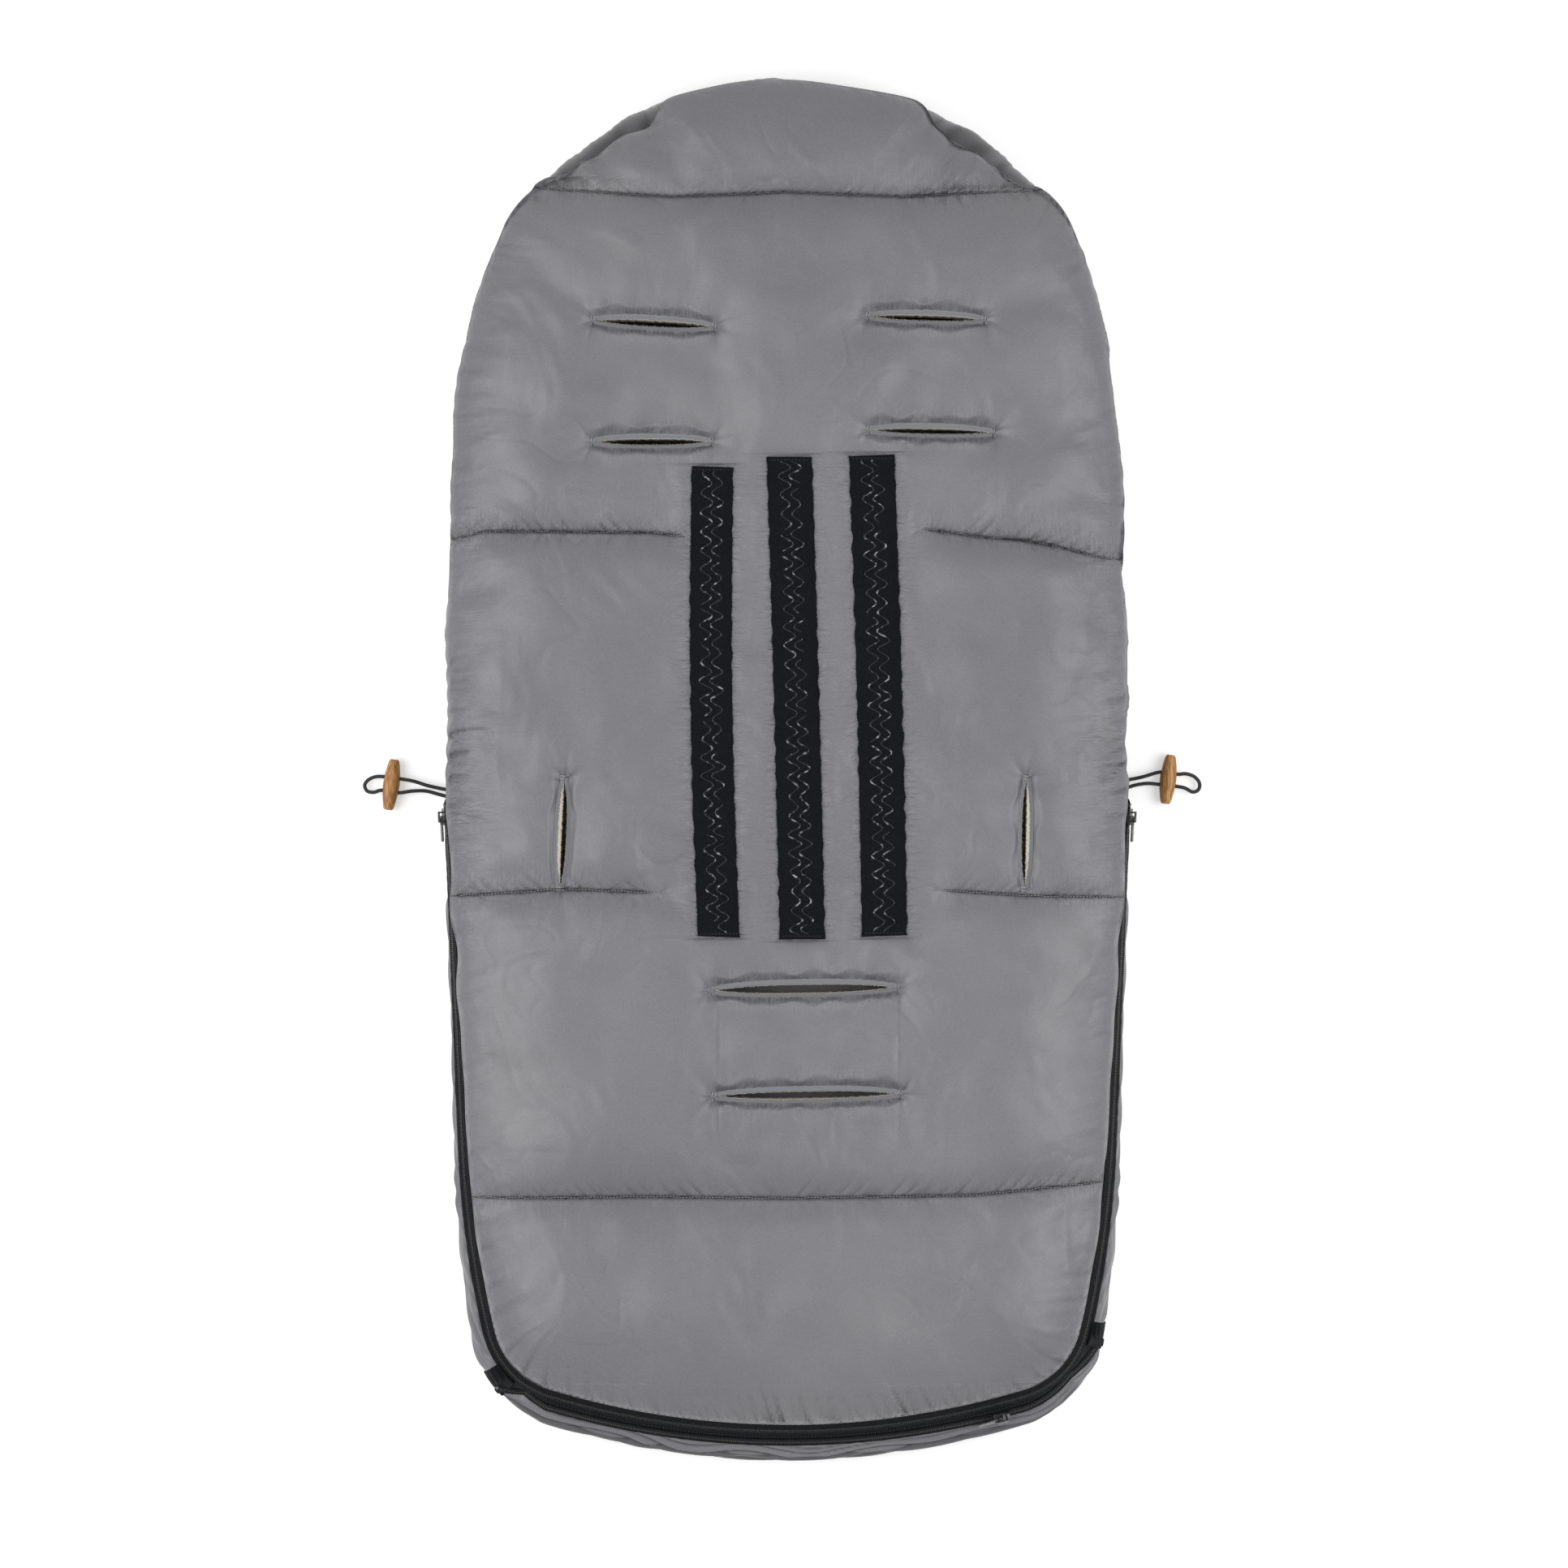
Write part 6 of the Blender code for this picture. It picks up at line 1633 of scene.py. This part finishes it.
def hoodSurface(depth, folds):
    # Section knots from the panel's seam over the wall's swell to the hem, smoothed, with folds pushed outwards.
    hem = hemInset(hoodLine[:, 1])[:, None]
    wide = np.linalg.norm(hoodLine - hoodTops, axis=1)
    lift = np.clip((wide - 0.010) / 0.012, 0.0, 1.0)
    level = 0.0 * lift
    shoulder = hood["shoulderZ"] - 0.003 * (1.0 - lift) - depth
    knots = [np.c_[hoodTops - hoodOut * depth, level + hood["seamZ"] - depth],
             np.c_[(hoodTops + hoodLine) / 2.0 + hoodOut * (0.0010 - depth), shoulder]]
    for inset, z in zip((depth + 0.0006, depth, hem * 0.45 + depth, hem - 0.0020 + depth), hood["wallZ"]):
        knots.append(np.c_[hoodLine - hoodOut * inset, level + z])
    grid = throughPoints(np.stack(knots), hood["steps"]).transpose(1, 0, 2)
    w = np.linspace(0.0, 1.0, grid.shape[1])[None, :]
    s = hoodRun[:, None]
    gather = (pleats(s + 0.004 * w, 0.0150, 401) + 0.5 * lineNoise(s - 0.006 * w, 0.0075, 402)) * w ** 2.2
    dents = softNoise(s + 0.02 * w, w * 0.05, 0.030, 403, 18) * np.sin(pi * w) ** 0.8
    tucks = hoodTucks(s, w) * np.sin(pi * np.clip(w / 0.6, 0.0, 1.0)) ** 0.8
    tucks = tucks * np.clip(0.7 + 0.5 * lineNoise(s, 0.11, 406), 0.15, 1.3)
    push = folds * (hood["gather"] * gather + hood["dent"] * dents)
    sink = folds * (hood["tuck"] * tucks + hood["tuckDent"] * dents) * (0.25 + 0.75 * lift[:, None])
    return grid + np.concatenate([hoodOut[:, None] * (push + 0.3 * sink)[..., None], sink[..., None]], -1)


def makeHood():
    # The wall's shell and its fleece, with painted shade in the tucks and towards the panel, and the hem below them.
    outer = hoodSurface(0.0, 1.0)
    wall = gridPiece("hood_side_wall", outer, [greySatin])
    down = np.linspace(0.0, 1.0, outer.shape[1])[None]
    # painted shade: strongest under the panel's edge, fading down the wall, deeper in the tucks
    paintedStreaks = np.clip(0.86 - 0.60 * hoodTucks(hoodRun[:, None], down), 0.30, 1.1)
    pointMask(wall, np.clip(np.interp(down, [0.0, 0.30, 0.55, 1.0], [1.0, 0.92, 0.60, 0.12]) * paintedStreaks, 0.0, 0.90))
    thickened(wall, hood["shell"])
    belongs(wall, "back", "shell_fabric", "hood_wall_shell")
    fleece = gridPiece("hood_fleece_lining", hoodSurface(hood["liningDepth"], 0.7), [creamFleece], flip=True)
    thickened(fleece, hood["fleece"])
    belongs(fleece, "back", "lining_fleece", "hood_wall_lining")
    # the hem is a flattened tunnel: an oval section whose size follows the gathers
    path = np.c_[hoodLine - hoodOut * hemInset(hoodLine[:, 1])[:, None], np.full(len(hoodLine), hood["hemZ"])]
    path = evenly(path[path[:, 1] > np.where(path[:, 0] > 0, hood["rightEnd"], hood["leftEnd"])], 1000)
    run = runLength(path)
    gather = 1.0 + 0.13 * lineNoise(run, 0.0085, 411) + 0.07 * lineNoise(run, 0.0042, 412)
    turn = fullTurn(18)
    out = outwardOf(path)
    bulge = gather[:, None] ** np.where(np.sin(turn) > 0, 1.0, 0.4)[None]
    flat = path[:, None, :2] + out[:, None] * (np.cos(turn)[None] * hood["hemHalf"] * 0.95 * bulge)[..., None]
    z = path[:, 2][:, None] + np.sin(turn)[None] * 0.0050 * np.minimum(bulge, 1.25)
    tunnel = np.concatenate([flat, np.maximum(z, 0.0002)[..., None]], -1)
    piece = gridPiece("hood_gathered_hem", tunnel, [greySatin], closed=True)
    thickened(piece, hood["shell"])
    belongs(piece, "back", "shell_fabric", "hood_hem")


makeHood()
print("hood made")


# The cover.

cover = {"stations": 900, "padding": 0.0180, "curve": 0.0320, "spineY": -0.3200, "topY": -0.0235,
         "seams": [-0.0875, -0.3050], "welt": 0.42, "highRim": 0.0058, "footRim": 0.0068, "steps": (24, 12, 30),
         "innerSteps": (12, 6, 20), "floorZ": 0.0002, "channel": 0.0050, "sideDip": 0.0030, "rolled": 0.0036,
         "diagonal": 0.0015, "longFold": 0.0046, "strokes": 0.0011}


def footShare(along, side):
    # How far the foot zip's lower rim has taken over from the main zip's, from 0 to 1 across the tab.
    return easeStep((along - footEndOf(side) + 0.075) / 0.07)


def coverSection(s, rimIn, wallIn, floorIn, highRim, steps):
    # Points from the rim over the swell down to the floor, then in to the spine; all in metres.
    along, side = alongOf(s)
    out, up = zipLean(along)
    edge = cover["highRim"] if highRim else zipLine["fabricEdge"]
    mainO, mainZ = out * edge, chainHeight(along) + up * edge
    footO, footZ = footChain(along, side)
    footO, footZ = footO + footLean[0] * cover["footRim"], footZ + footLean[1] * cover["footRim"]
    share = 0.0 * along if highRim else footShare(along, side)
    rimO, rimZ = mainO + (footO - mainO) * share, mainZ + (footZ - mainZ) * share
    swell, bulgeZ = coverBulge(along), zipLine["coverBulgeZ"]
    upper, lower, floor = steps
    theta = np.linspace(0.0, pi / 2.0, upper)[None]
    phi = np.linspace(0.0, pi / 2.0, lower)[None, 1:]
    start, end = (rimO - rimIn)[:, None], (swell - wallIn)[:, None]
    offset = np.concatenate([start + (end - start) * np.sin(theta),
                             (swell - cover["curve"])[:, None] + (cover["curve"] - wallIn) * np.cos(phi)], 1)
    z = np.concatenate([bulgeZ + (rimZ[:, None] - bulgeZ) * np.cos(theta),
                        bulgeZ - (bulgeZ - floorIn) * np.sin(phi) + 0.0 * rimZ[:, None]], 1)
    wall = besideZip(s[:, None] + 0.0 * offset, offset, z)
    line = zipPlace(along, side)[0]
    spine = np.stack([0.0 * s, np.maximum(line[:, 1], cover["spineY"])], -1)
    t = np.linspace(0.0, 1.0, floor)[None, 1:, None]
    last = wall[:, -1:, :]
    middle = np.concatenate([spine, wall[:, -1, 2:]], 1)[:, None]
    return np.concatenate([wall, last + (middle - last) * t], 1)


def footSlide(s, w):
    # Depth down the foot wall plus a slow drift along it: the long folds are level lines of this.
    away = halfLine - np.sqrt((s - halfLine - 0.05) ** 2 + 0.05 ** 2)
    return w * 0.045 - away * 0.10 + 0.0075 * softNoise(s, w * 0.04, 0.085, 505, 12)


def wallWaves(mirrored, w):
    # Slanted waves down the side walls, the same on both sides.
    return softNoise(mirrored + w * 0.055, w * 0.020, 0.024, 501, 16)


def coverFolds(s, w, side):
    # Diagonal folds on the walls, long ones round the foot, and fine wrinkles above both corners.
    along, _ = alongOf(s)
    foot = easeStep((along - 2.5) / 0.6)
    mirrored = nearTop(s, side)
    calm = 1.0 - 0.75 * bell(w - 1.0, 0.22)
    diagonal = wallWaves(mirrored, w) * np.sin(pi * np.clip(w / 1.3, 0.0, 1.0)) ** 0.7
    longFold = pleats(footSlide(s, w), 0.0125, 502)
    strokes = pleats(mirrored + 0.030 * w, 0.0085, 503) * bell(along - 2.15, 0.30)
    push = (1.0 - foot) * cover["diagonal"] * diagonal
    push = push + foot * cover["longFold"] * longFold * np.sin(pi * np.clip(w / 1.7, 0.0, 1.0))
    return push * calm + cover["strokes"] * strokes * bell(w - 0.25, 0.22)


def makeCover():
    # The padded shell with its folds, channels and welt, its rolled top edge and its fleece.
    s = np.linspace(0.0, 2.0 * halfLine, cover["stations"])
    along, side = alongOf(s)
    steps = cover["steps"]
    outer = coverSection(s, 0.0, 0.0, 0.0, False, steps)
    w = np.concatenate([np.linspace(0.0, 1.0, steps[0]), 1.0 + np.linspace(0.0, 1.0, steps[1])[1:],
                        2.0 + np.linspace(0.0, 1.0, steps[2])[1:]])[None, :]
    normal = surfaceNormals(outer)
    push = coverFolds(s[:, None], w, side[:, None]) * (w < 2.0) * easeStep(w / 0.10)
    foot = easeStep((along - 2.35) / 0.35)[:, None]
    low = w - cover["welt"]
    welt = foot * (0.0011 * bell(low, 0.020) - 0.0012 * bell(low - 0.07, 0.05))
    push = push + welt
    # flat under both black end tabs
    for sign, end in zipLine["footEnds"].items():
        tab = float(runOf(end, sign)) + sign * 0.0045
        push = push * (1.0 - np.exp(-((s - tab) / 0.011) ** 4))[:, None]
    for at in cover["seams"]:
        channel = cover["channel"] * bell(outer[..., 1] - at, 0.0075) * easeStep((w - 1.0) / 0.8)
        dip = cover["sideDip"] * bell(outer[..., 1] - at, 0.0060) * bell(w - 0.9, 0.5)
        push = push - channel * (w < 2.6) - dip * (along < 2.0)[:, None]
    outer = outer + normal * push[..., None]
    inward = easeStep((w - 1.7) / 0.6)
    outer[..., 2] = np.maximum(outer[..., 2], cover["floorZ"])
    ripple = 0.0006 * (1.0 + softNoise(outer[..., 0], outer[..., 1], 0.045, 520)) * inward * (w < 2.98)
    for at in cover["seams"]:
        ripple = ripple + 0.0045 * bell(outer[..., 1] - at, 0.0065) * inward * (at > -0.31)
    outer[..., 2] += ripple
    inset = cover["padding"] + 0.0004
    inner = coverSection(s, 0.0026, inset, inset, True, cover["innerSteps"])
    bands = []
    for index in (0, -1):
        # the rolled edge across the cover's top joins its outer and inner end rows
        outerEnd = evenly(outer[index], 60)
        innerEnd = evenly(inner[index], 60)
        t = np.linspace(0.0, 1.0, 9)[:, None, None]
        band = outerEnd[None] + (innerEnd - outerEnd)[None] * t
        band[..., 1] += cover["rolled"] * np.sin(pi * t[..., 0])
        bands.append((band, False, index == 0, 0))
    piece = joinedGrids("cover_quilt", [(outer, False, False, 0)] + bands, [greySatin])
    # painted shade: darker in the long folds, below the foot's welt and in the side walls' hollows
    folds = np.clip(0.30 - 1.4 * pleats(footSlide(s[:, None], w), 0.0125, 502), 0.0, 1.0)
    shade = foot * (folds + 0.50 * easeStep(low / 0.06) + 0.60 * bell(low - 0.040, 0.040))
    hollows = np.clip(-wallWaves(nearTop(s, side)[:, None], w) - 0.1, 0.0, 1.0)
    shade = np.clip(shade + (1.0 - foot) * 0.40 * hollows, 0.0, 0.8) * (w < 1.35)
    pointMask(piece, np.concatenate([shade.ravel(), np.zeros(len(piece.data.vertices) - shade.size)]))
    welded(piece)
    belongs(piece, "cover", "shell_fabric", "cover_shell", "cover_wadding", "cover_top_edge")
    fleece = 0.0008 * softNoise(inner[..., 0], inner[..., 1], 0.035, 530)
    inner[..., 2] += fleece * np.linspace(0.0, 1.0, inner.shape[1])[None]
    belongs(welded(gridPiece("cover_fleece_lining", inner, [creamFleece], flip=True)), "cover", "lining_fleece",
            "cover_lining")


makeCover()
print("cover made")


# Both zips.

def mainAcross(s, distance):
    # A point across the main zip, at a signed distance from its chain towards the cover.
    along, _ = alongOf(s)
    out, up = zipLean(along)
    return besideZip(s, out * distance, chainHeight(along) + up * distance)


def footAcross(s, distance):
    # The same for the foot zip.
    along, side = alongOf(s)
    offset, height = footChain(along, side)
    return besideZip(s, offset + footLean[0] * distance, height + footLean[1] * distance)


def faceNormal(s, lean):
    # Out of the zip's outer face: the lean turned a quarter, outwards and up.
    along, side = alongOf(s)
    normal = zipPlace(along, side)[1]
    out, up = lean
    return np.concatenate([-np.asarray(up)[..., None] * normal, np.broadcast_to(out, s.shape)[..., None]], -1)


def stripPiece(name, across, lean, s, start, end, body, node):
    # A woven tape: an oblong section of ten points swept along the run.
    width = np.asarray(end - start) + 0.0 * s
    share = np.array([0.0, 0.03, 0.35, 0.65, 0.97, 1.0, 0.97, 0.65, 0.35, 0.03])
    high = np.array([0.0, 0.85, 1.0, 1.0, 0.85, 0.0, -0.85, -1.0, -1.0, -0.85]) * tapeThick
    ripple = 0.00008 * lineNoise(s, 0.009, 600)[:, None]
    grid = np.stack([across(s, start + width * part) + faceNormal(s, lean(s)) * (rise + ripple)
                     for part, rise in zip(share, high)], axis=1)
    belongs(gridPiece(name, grid, [zipTape], closed=True, caps=True), body, "black_tape", node)


def mainLean(s):
    # The main zip's lean along the run.
    return zipLean(alongOf(s)[0])


def steadyLean(s):
    # The foot zip's lean, the same all along.
    return footLean[0] + 0.0 * s, footLean[1] + 0.0 * s


def toothShape(flip):
    # One loop of the coil: rings of six points from its head past the middle back to the tape, slanted.
    y = np.array([-0.62, -0.45, 0.05, 1.10, 2.35, 2.85]) * 0.001
    wide = np.array([0.22, 0.46, 0.60, 0.44, 0.42, 0.20]) * 0.001
    high = np.array([0.30, 0.62, 0.95, 1.00, 0.95, 0.45]) * 0.001
    turn = fullTurn(6) + pi / 6.0
    sign = -1.0 if flip else 1.0
    grid = np.stack([wide[:, None] * np.cos(turn) + 0.22 * y[:, None] * sign,
                     np.broadcast_to(sign * y[:, None], (6, 6)), high[:, None] * np.sin(turn)], -1)
    quads, _ = gridParts(grid, closed=True, flip=not flip)
    ends = sixSidedCaps(30)
    if flip:
        ends = ends[:, ::-1]
    return grid.reshape(-1, 3), np.concatenate([quads.reshape(-1, 4), ends])


def teeth(name, across, start, end, flip, body, node):
    # Coil loops at an even pitch along the run; the two halves alternate.
    pitch = zipLine["pitch"]
    count = int(np.floor((end - start) / pitch))
    first = np.ceil(start / pitch) * pitch
    s = first + (np.arange(count) + (0.5 if flip else 0.0)) * pitch
    s = s[s < end]
    origin = across(s, 0.0 * s)
    along = unit(across(s + 0.0005, 0.0 * s) - across(s - 0.0005, 0.0 * s))
    towards = unit(across(s, 0.001 + 0.0 * s) - origin)
    template, quads = toothShape(flip)
    piece = repeated(name, template, quads, origin, along, towards, unit(np.cross(towards, along)), [nylonCoil])
    belongs(piece, body, "zip_coil", node)


strips = {  # from and to across the zip, in metres from its chain
    "back": (-0.0082, -0.0024), "foot": (0.0024, 0.0054), "side": (0.0024, 0.0079), "sideAtTab": 0.0025,
    "footUpper": (-0.0054, -0.0024), "footLower": (0.0024, 0.0066), "top": 0.0045, "backTop": 0.0095, "gap": 0.0004,
    "gussetFrom": 0.0054, "gussetTo": -0.0050, "tabFrom": -0.013, "tabTo": 0.004,
}


def bandBetween(first, second, count):
    # A surface of straight lines from one line of points to another, and the share across it.
    t = np.linspace(0.0, 1.0, count)[None, :, None]
    return first[:, None] + (second - first)[:, None] * t, t


def makeMainZip():
    # The main zip: its back half runs all round; its front half belongs to the cover at the sides and to the
    # back round the foot.
    far = 2.0 * halfLine
    leftCorner, rightCorner = float(runOf(3.0, -1.0)), float(runOf(3.0, 1.0))
    backStart = float(runOf(np.interp(-0.0415, [-0.2750, -0.0235], [1.0, 0.0]), -1.0))
    line = np.linspace(strips["backTop"], far - strips["backTop"], 1300)
    # the panel's fabric turns under to the tape's sewn edge, which closes the seam between them
    inner = besideZip(line, panelInset(line) - 0.0010, np.full(line.shape, zipLine["seamZ"] + 0.0008))
    turned, _ = bandBetween(inner, mainAcross(line, -0.0070 + 0.0 * line), 5)
    allowance = gridPiece("back_zip_seam", turned, [greySatin])
    thickened(allowance, 0.0006, 0.0)
    belongs(allowance, "back", "shell_fabric")
    stripPiece("main_zip_tape_back", mainAcross, mainLean, line, *strips["back"], "back", "main_zip_back_tape")
    teeth("main_zip_teeth_back", mainAcross, backStart, far - backStart, True, "back", "main_zip_back_coil")
    foot = np.linspace(leftCorner, rightCorner, 420)
    stripPiece("main_zip_tape_foot", mainAcross, mainLean, foot, *strips["foot"], "back", "main_zip_front_tape_foot")
    teeth("main_zip_teeth_foot", mainAcross, leftCorner, rightCorner, False, "back", "main_zip_front_coil_foot")
    left = np.linspace(0.0, leftCorner - strips["gap"], 560)
    right = np.linspace(rightCorner + strips["gap"], far, 560)
    for word, line, start, end in (("left", left, strips["top"], leftCorner),
                                   ("right", right, rightCorner, far - strips["top"])):
        outer = strips["side"][1] - strips["sideAtTab"] * footShare(*alongOf(line))
        stripPiece("main_zip_tape_" + word, mainAcross, mainLean, line, strips["side"][0], outer, "cover",
                   "main_zip_front_tape_" + word)
        teeth("main_zip_teeth_" + word, mainAcross, start, end, False, "cover", "main_zip_front_coil_" + word)


def makeFootZip():
    # The foot zip between its end tabs, and the gusset: a woven band between both zips, slightly slack.
    begin, finish = (float(runOf(end, sign)) for sign, end in zipLine["footEnds"].items())
    line = np.linspace(begin, finish, 520)
    for word, flip in (("upper", True), ("lower", False)):
        stripPiece("foot_zip_tape_" + word, footAcross, steadyLean, line, *strips["foot" + word.capitalize()], "cover",
                   "foot_zip_%s_tape" % word)
        teeth("foot_zip_teeth_" + word, footAcross, begin, finish, flip, "cover", "foot_zip_%s_coil" % word)
    band, t = bandBetween(mainAcross(line, strips["gussetFrom"] + 0.0 * line),
                          footAcross(line, strips["gussetTo"] + 0.0 * line), 9)
    normal = surfaceNormals(band)
    band = band - normal * 0.0006 * np.sin(pi * t)
    gusset = gridPiece("foot_gusset_band", band, [zipTape])
    thickened(gusset, 0.0007)
    belongs(gusset, "cover", "black_tape", "foot_gusset")
    stitchRow("gusset_stitches", band[:, 4] + normal[:, 4] * 0.0002, "gusset", darkThread, "cover", normal[:, 4])
    for word, sign in (("left", -1), ("right", 1)):
        # a black end tab lies on the wall beside the foot zip's end, ribbed with curved ridges
        base = float(runOf(zipLine["footEnds"][sign], sign))
        s = np.sort(base + np.linspace(strips["tabFrom"], strips["tabTo"], 34) * -sign)
        section = coverSection(s, 0.0, 0.0, 0.0, False, (30, 10, 3))[:, :34]
        rim = mainAcross(s, 0.0056 + 0.0 * s)[:, None]
        strip = rim + (section[:, :1] - rim) * np.linspace(0.0, 0.9, 8)[None, :, None]
        section = np.concatenate([strip, section], 1)
        w = np.linspace(0.0, 1.0, section.shape[1])[None, :]
        away = np.abs(s - base)[:, None] / 0.013
        swell = np.sin(pi * np.clip(away, 0.0, 1.0)) ** 0.3
        ridges = 0.00030 * np.cos(2.0 * pi * (w * 6.5 + 0.25 * away ** 2)) * swell
        tab = gridPiece(word + "_zip_end_tab", section + surfaceNormals(section) * (0.0011 + ridges)[..., None],
                        [zipTape])
        thickened(tab, 0.0008)
        belongs(tab, "cover", "black_tape")


makeMainZip()
makeFootZip()
print("zips made")


def dressNodes():
    # Metal parts keep their own solids and get the lacquer; the cord in the hem gets its braid.
    metal = [side + part for side in ("left", "right", "foot") for part in ("_zip_slider", "_zip_pull")]
    metal += [part + side for part in ("main_zip_top_stop_", "foot_zip_end_stop_") for side in ("left", "right")]
    for name in metal + ["hem_drawcord"]:
        for entry in nodes[name].material_slots:
            entry.material = blackLacquer if name in metal else braidedElastic


dressNodes()


# Floor, light and finish.

stage = {"white": 0.86, "under": 0.93, "glow": 0.42, "rim": (0.92, 0.98), "key": 26.0, "fill": 24.0, "world": 0.52,
         "size": 12.0, "floorZ": -0.0008, "lampSize": 1.4}


def directView(tree):
    # 1 for what the camera sees, also in a mirror or through glass, and 0 for what only lights the object.
    path = addNode(tree, "ShaderNodeLightPath").outputs
    seen = maths(tree, "MAXIMUM", path["Is Camera Ray"], path["Is Glossy Ray"])
    return maths(tree, "MAXIMUM", seen, path["Is Transmission Ray"])


def makeStage():
    # A wide pale floor, an even world and two square lamps.
    size, level = stage["size"], stage["floorZ"]
    corners = [(-size, -size, level), (size, -size, level), (size, size, level), (-size, size, level)]
    floorMesh = bpy.data.meshes.new("paleFloor")
    floorMesh.from_pydata(corners, [], [(0, 1, 2, 3)])
    floor = addThing("paleFloor", floorMesh)
    finish, tree, shader, place, _ = startFinish("paleFloor", 0.1, Roughness=0.9)
    # no glow on the floor under the footmuff, so its slots look into the dark
    flat = stretched(tree, place, (1.0 / 0.236, 1.0 / 0.480, 0.0))
    away = addNode(tree, "ShaderNodeVectorMath", {0: flat}, operation="LENGTH").outputs["Value"]
    mask = ranged(tree, away, 0.0, stage["glow"], *stage["rim"])
    outside = ranged(tree, away, 0.0, 1.0, *stage["rim"])
    blended(tree, shader, outside, (stage["under"],) * 3, (stage["white"],) * 3)
    tree.links.new(maths(tree, "MULTIPLY", directView(tree), mask), shader.inputs["Emission Strength"])
    shader.inputs["Emission Color"].default_value = (1.0, 1.0, 1.0, 1.0)
    floorMesh.materials.append(finish)
    world = bpy.data.worlds.new("studio")
    bpy.context.scene.world = world
    world.use_nodes = True
    tree = world.node_tree
    ground = tree.nodes["Background"]
    ground.inputs[0].default_value = (1.0, 1.0, 1.0, 1.0)
    tree.links.new(ranged(tree, directView(tree), stage["world"], 1.0), ground.inputs[1])
    for name, place, power in (("keyLight", (-1.50, -0.10, 1.80), stage["key"]),
                               ("fillLight", (1.60, -0.10, 1.80), stage["fill"])):
        lamp = bpy.data.lights.new(name, "AREA")
        lamp.energy, lamp.size, lamp.shape = power, stage["lampSize"], "SQUARE"
        thing = addThing(name, lamp)
        thing.location = place
        aim = np.array([0.0, 0.0, 0.08]) - np.array(place)
        pitch = math.atan2(math.hypot(aim[0], aim[1]), -aim[2])
        thing.rotation_euler = (pitch, 0.0, math.atan2(aim[1], aim[0]) - pi / 2.0)


makeStage()
bpy.context.scene.view_settings.view_transform = "Standard"
print("stage made")
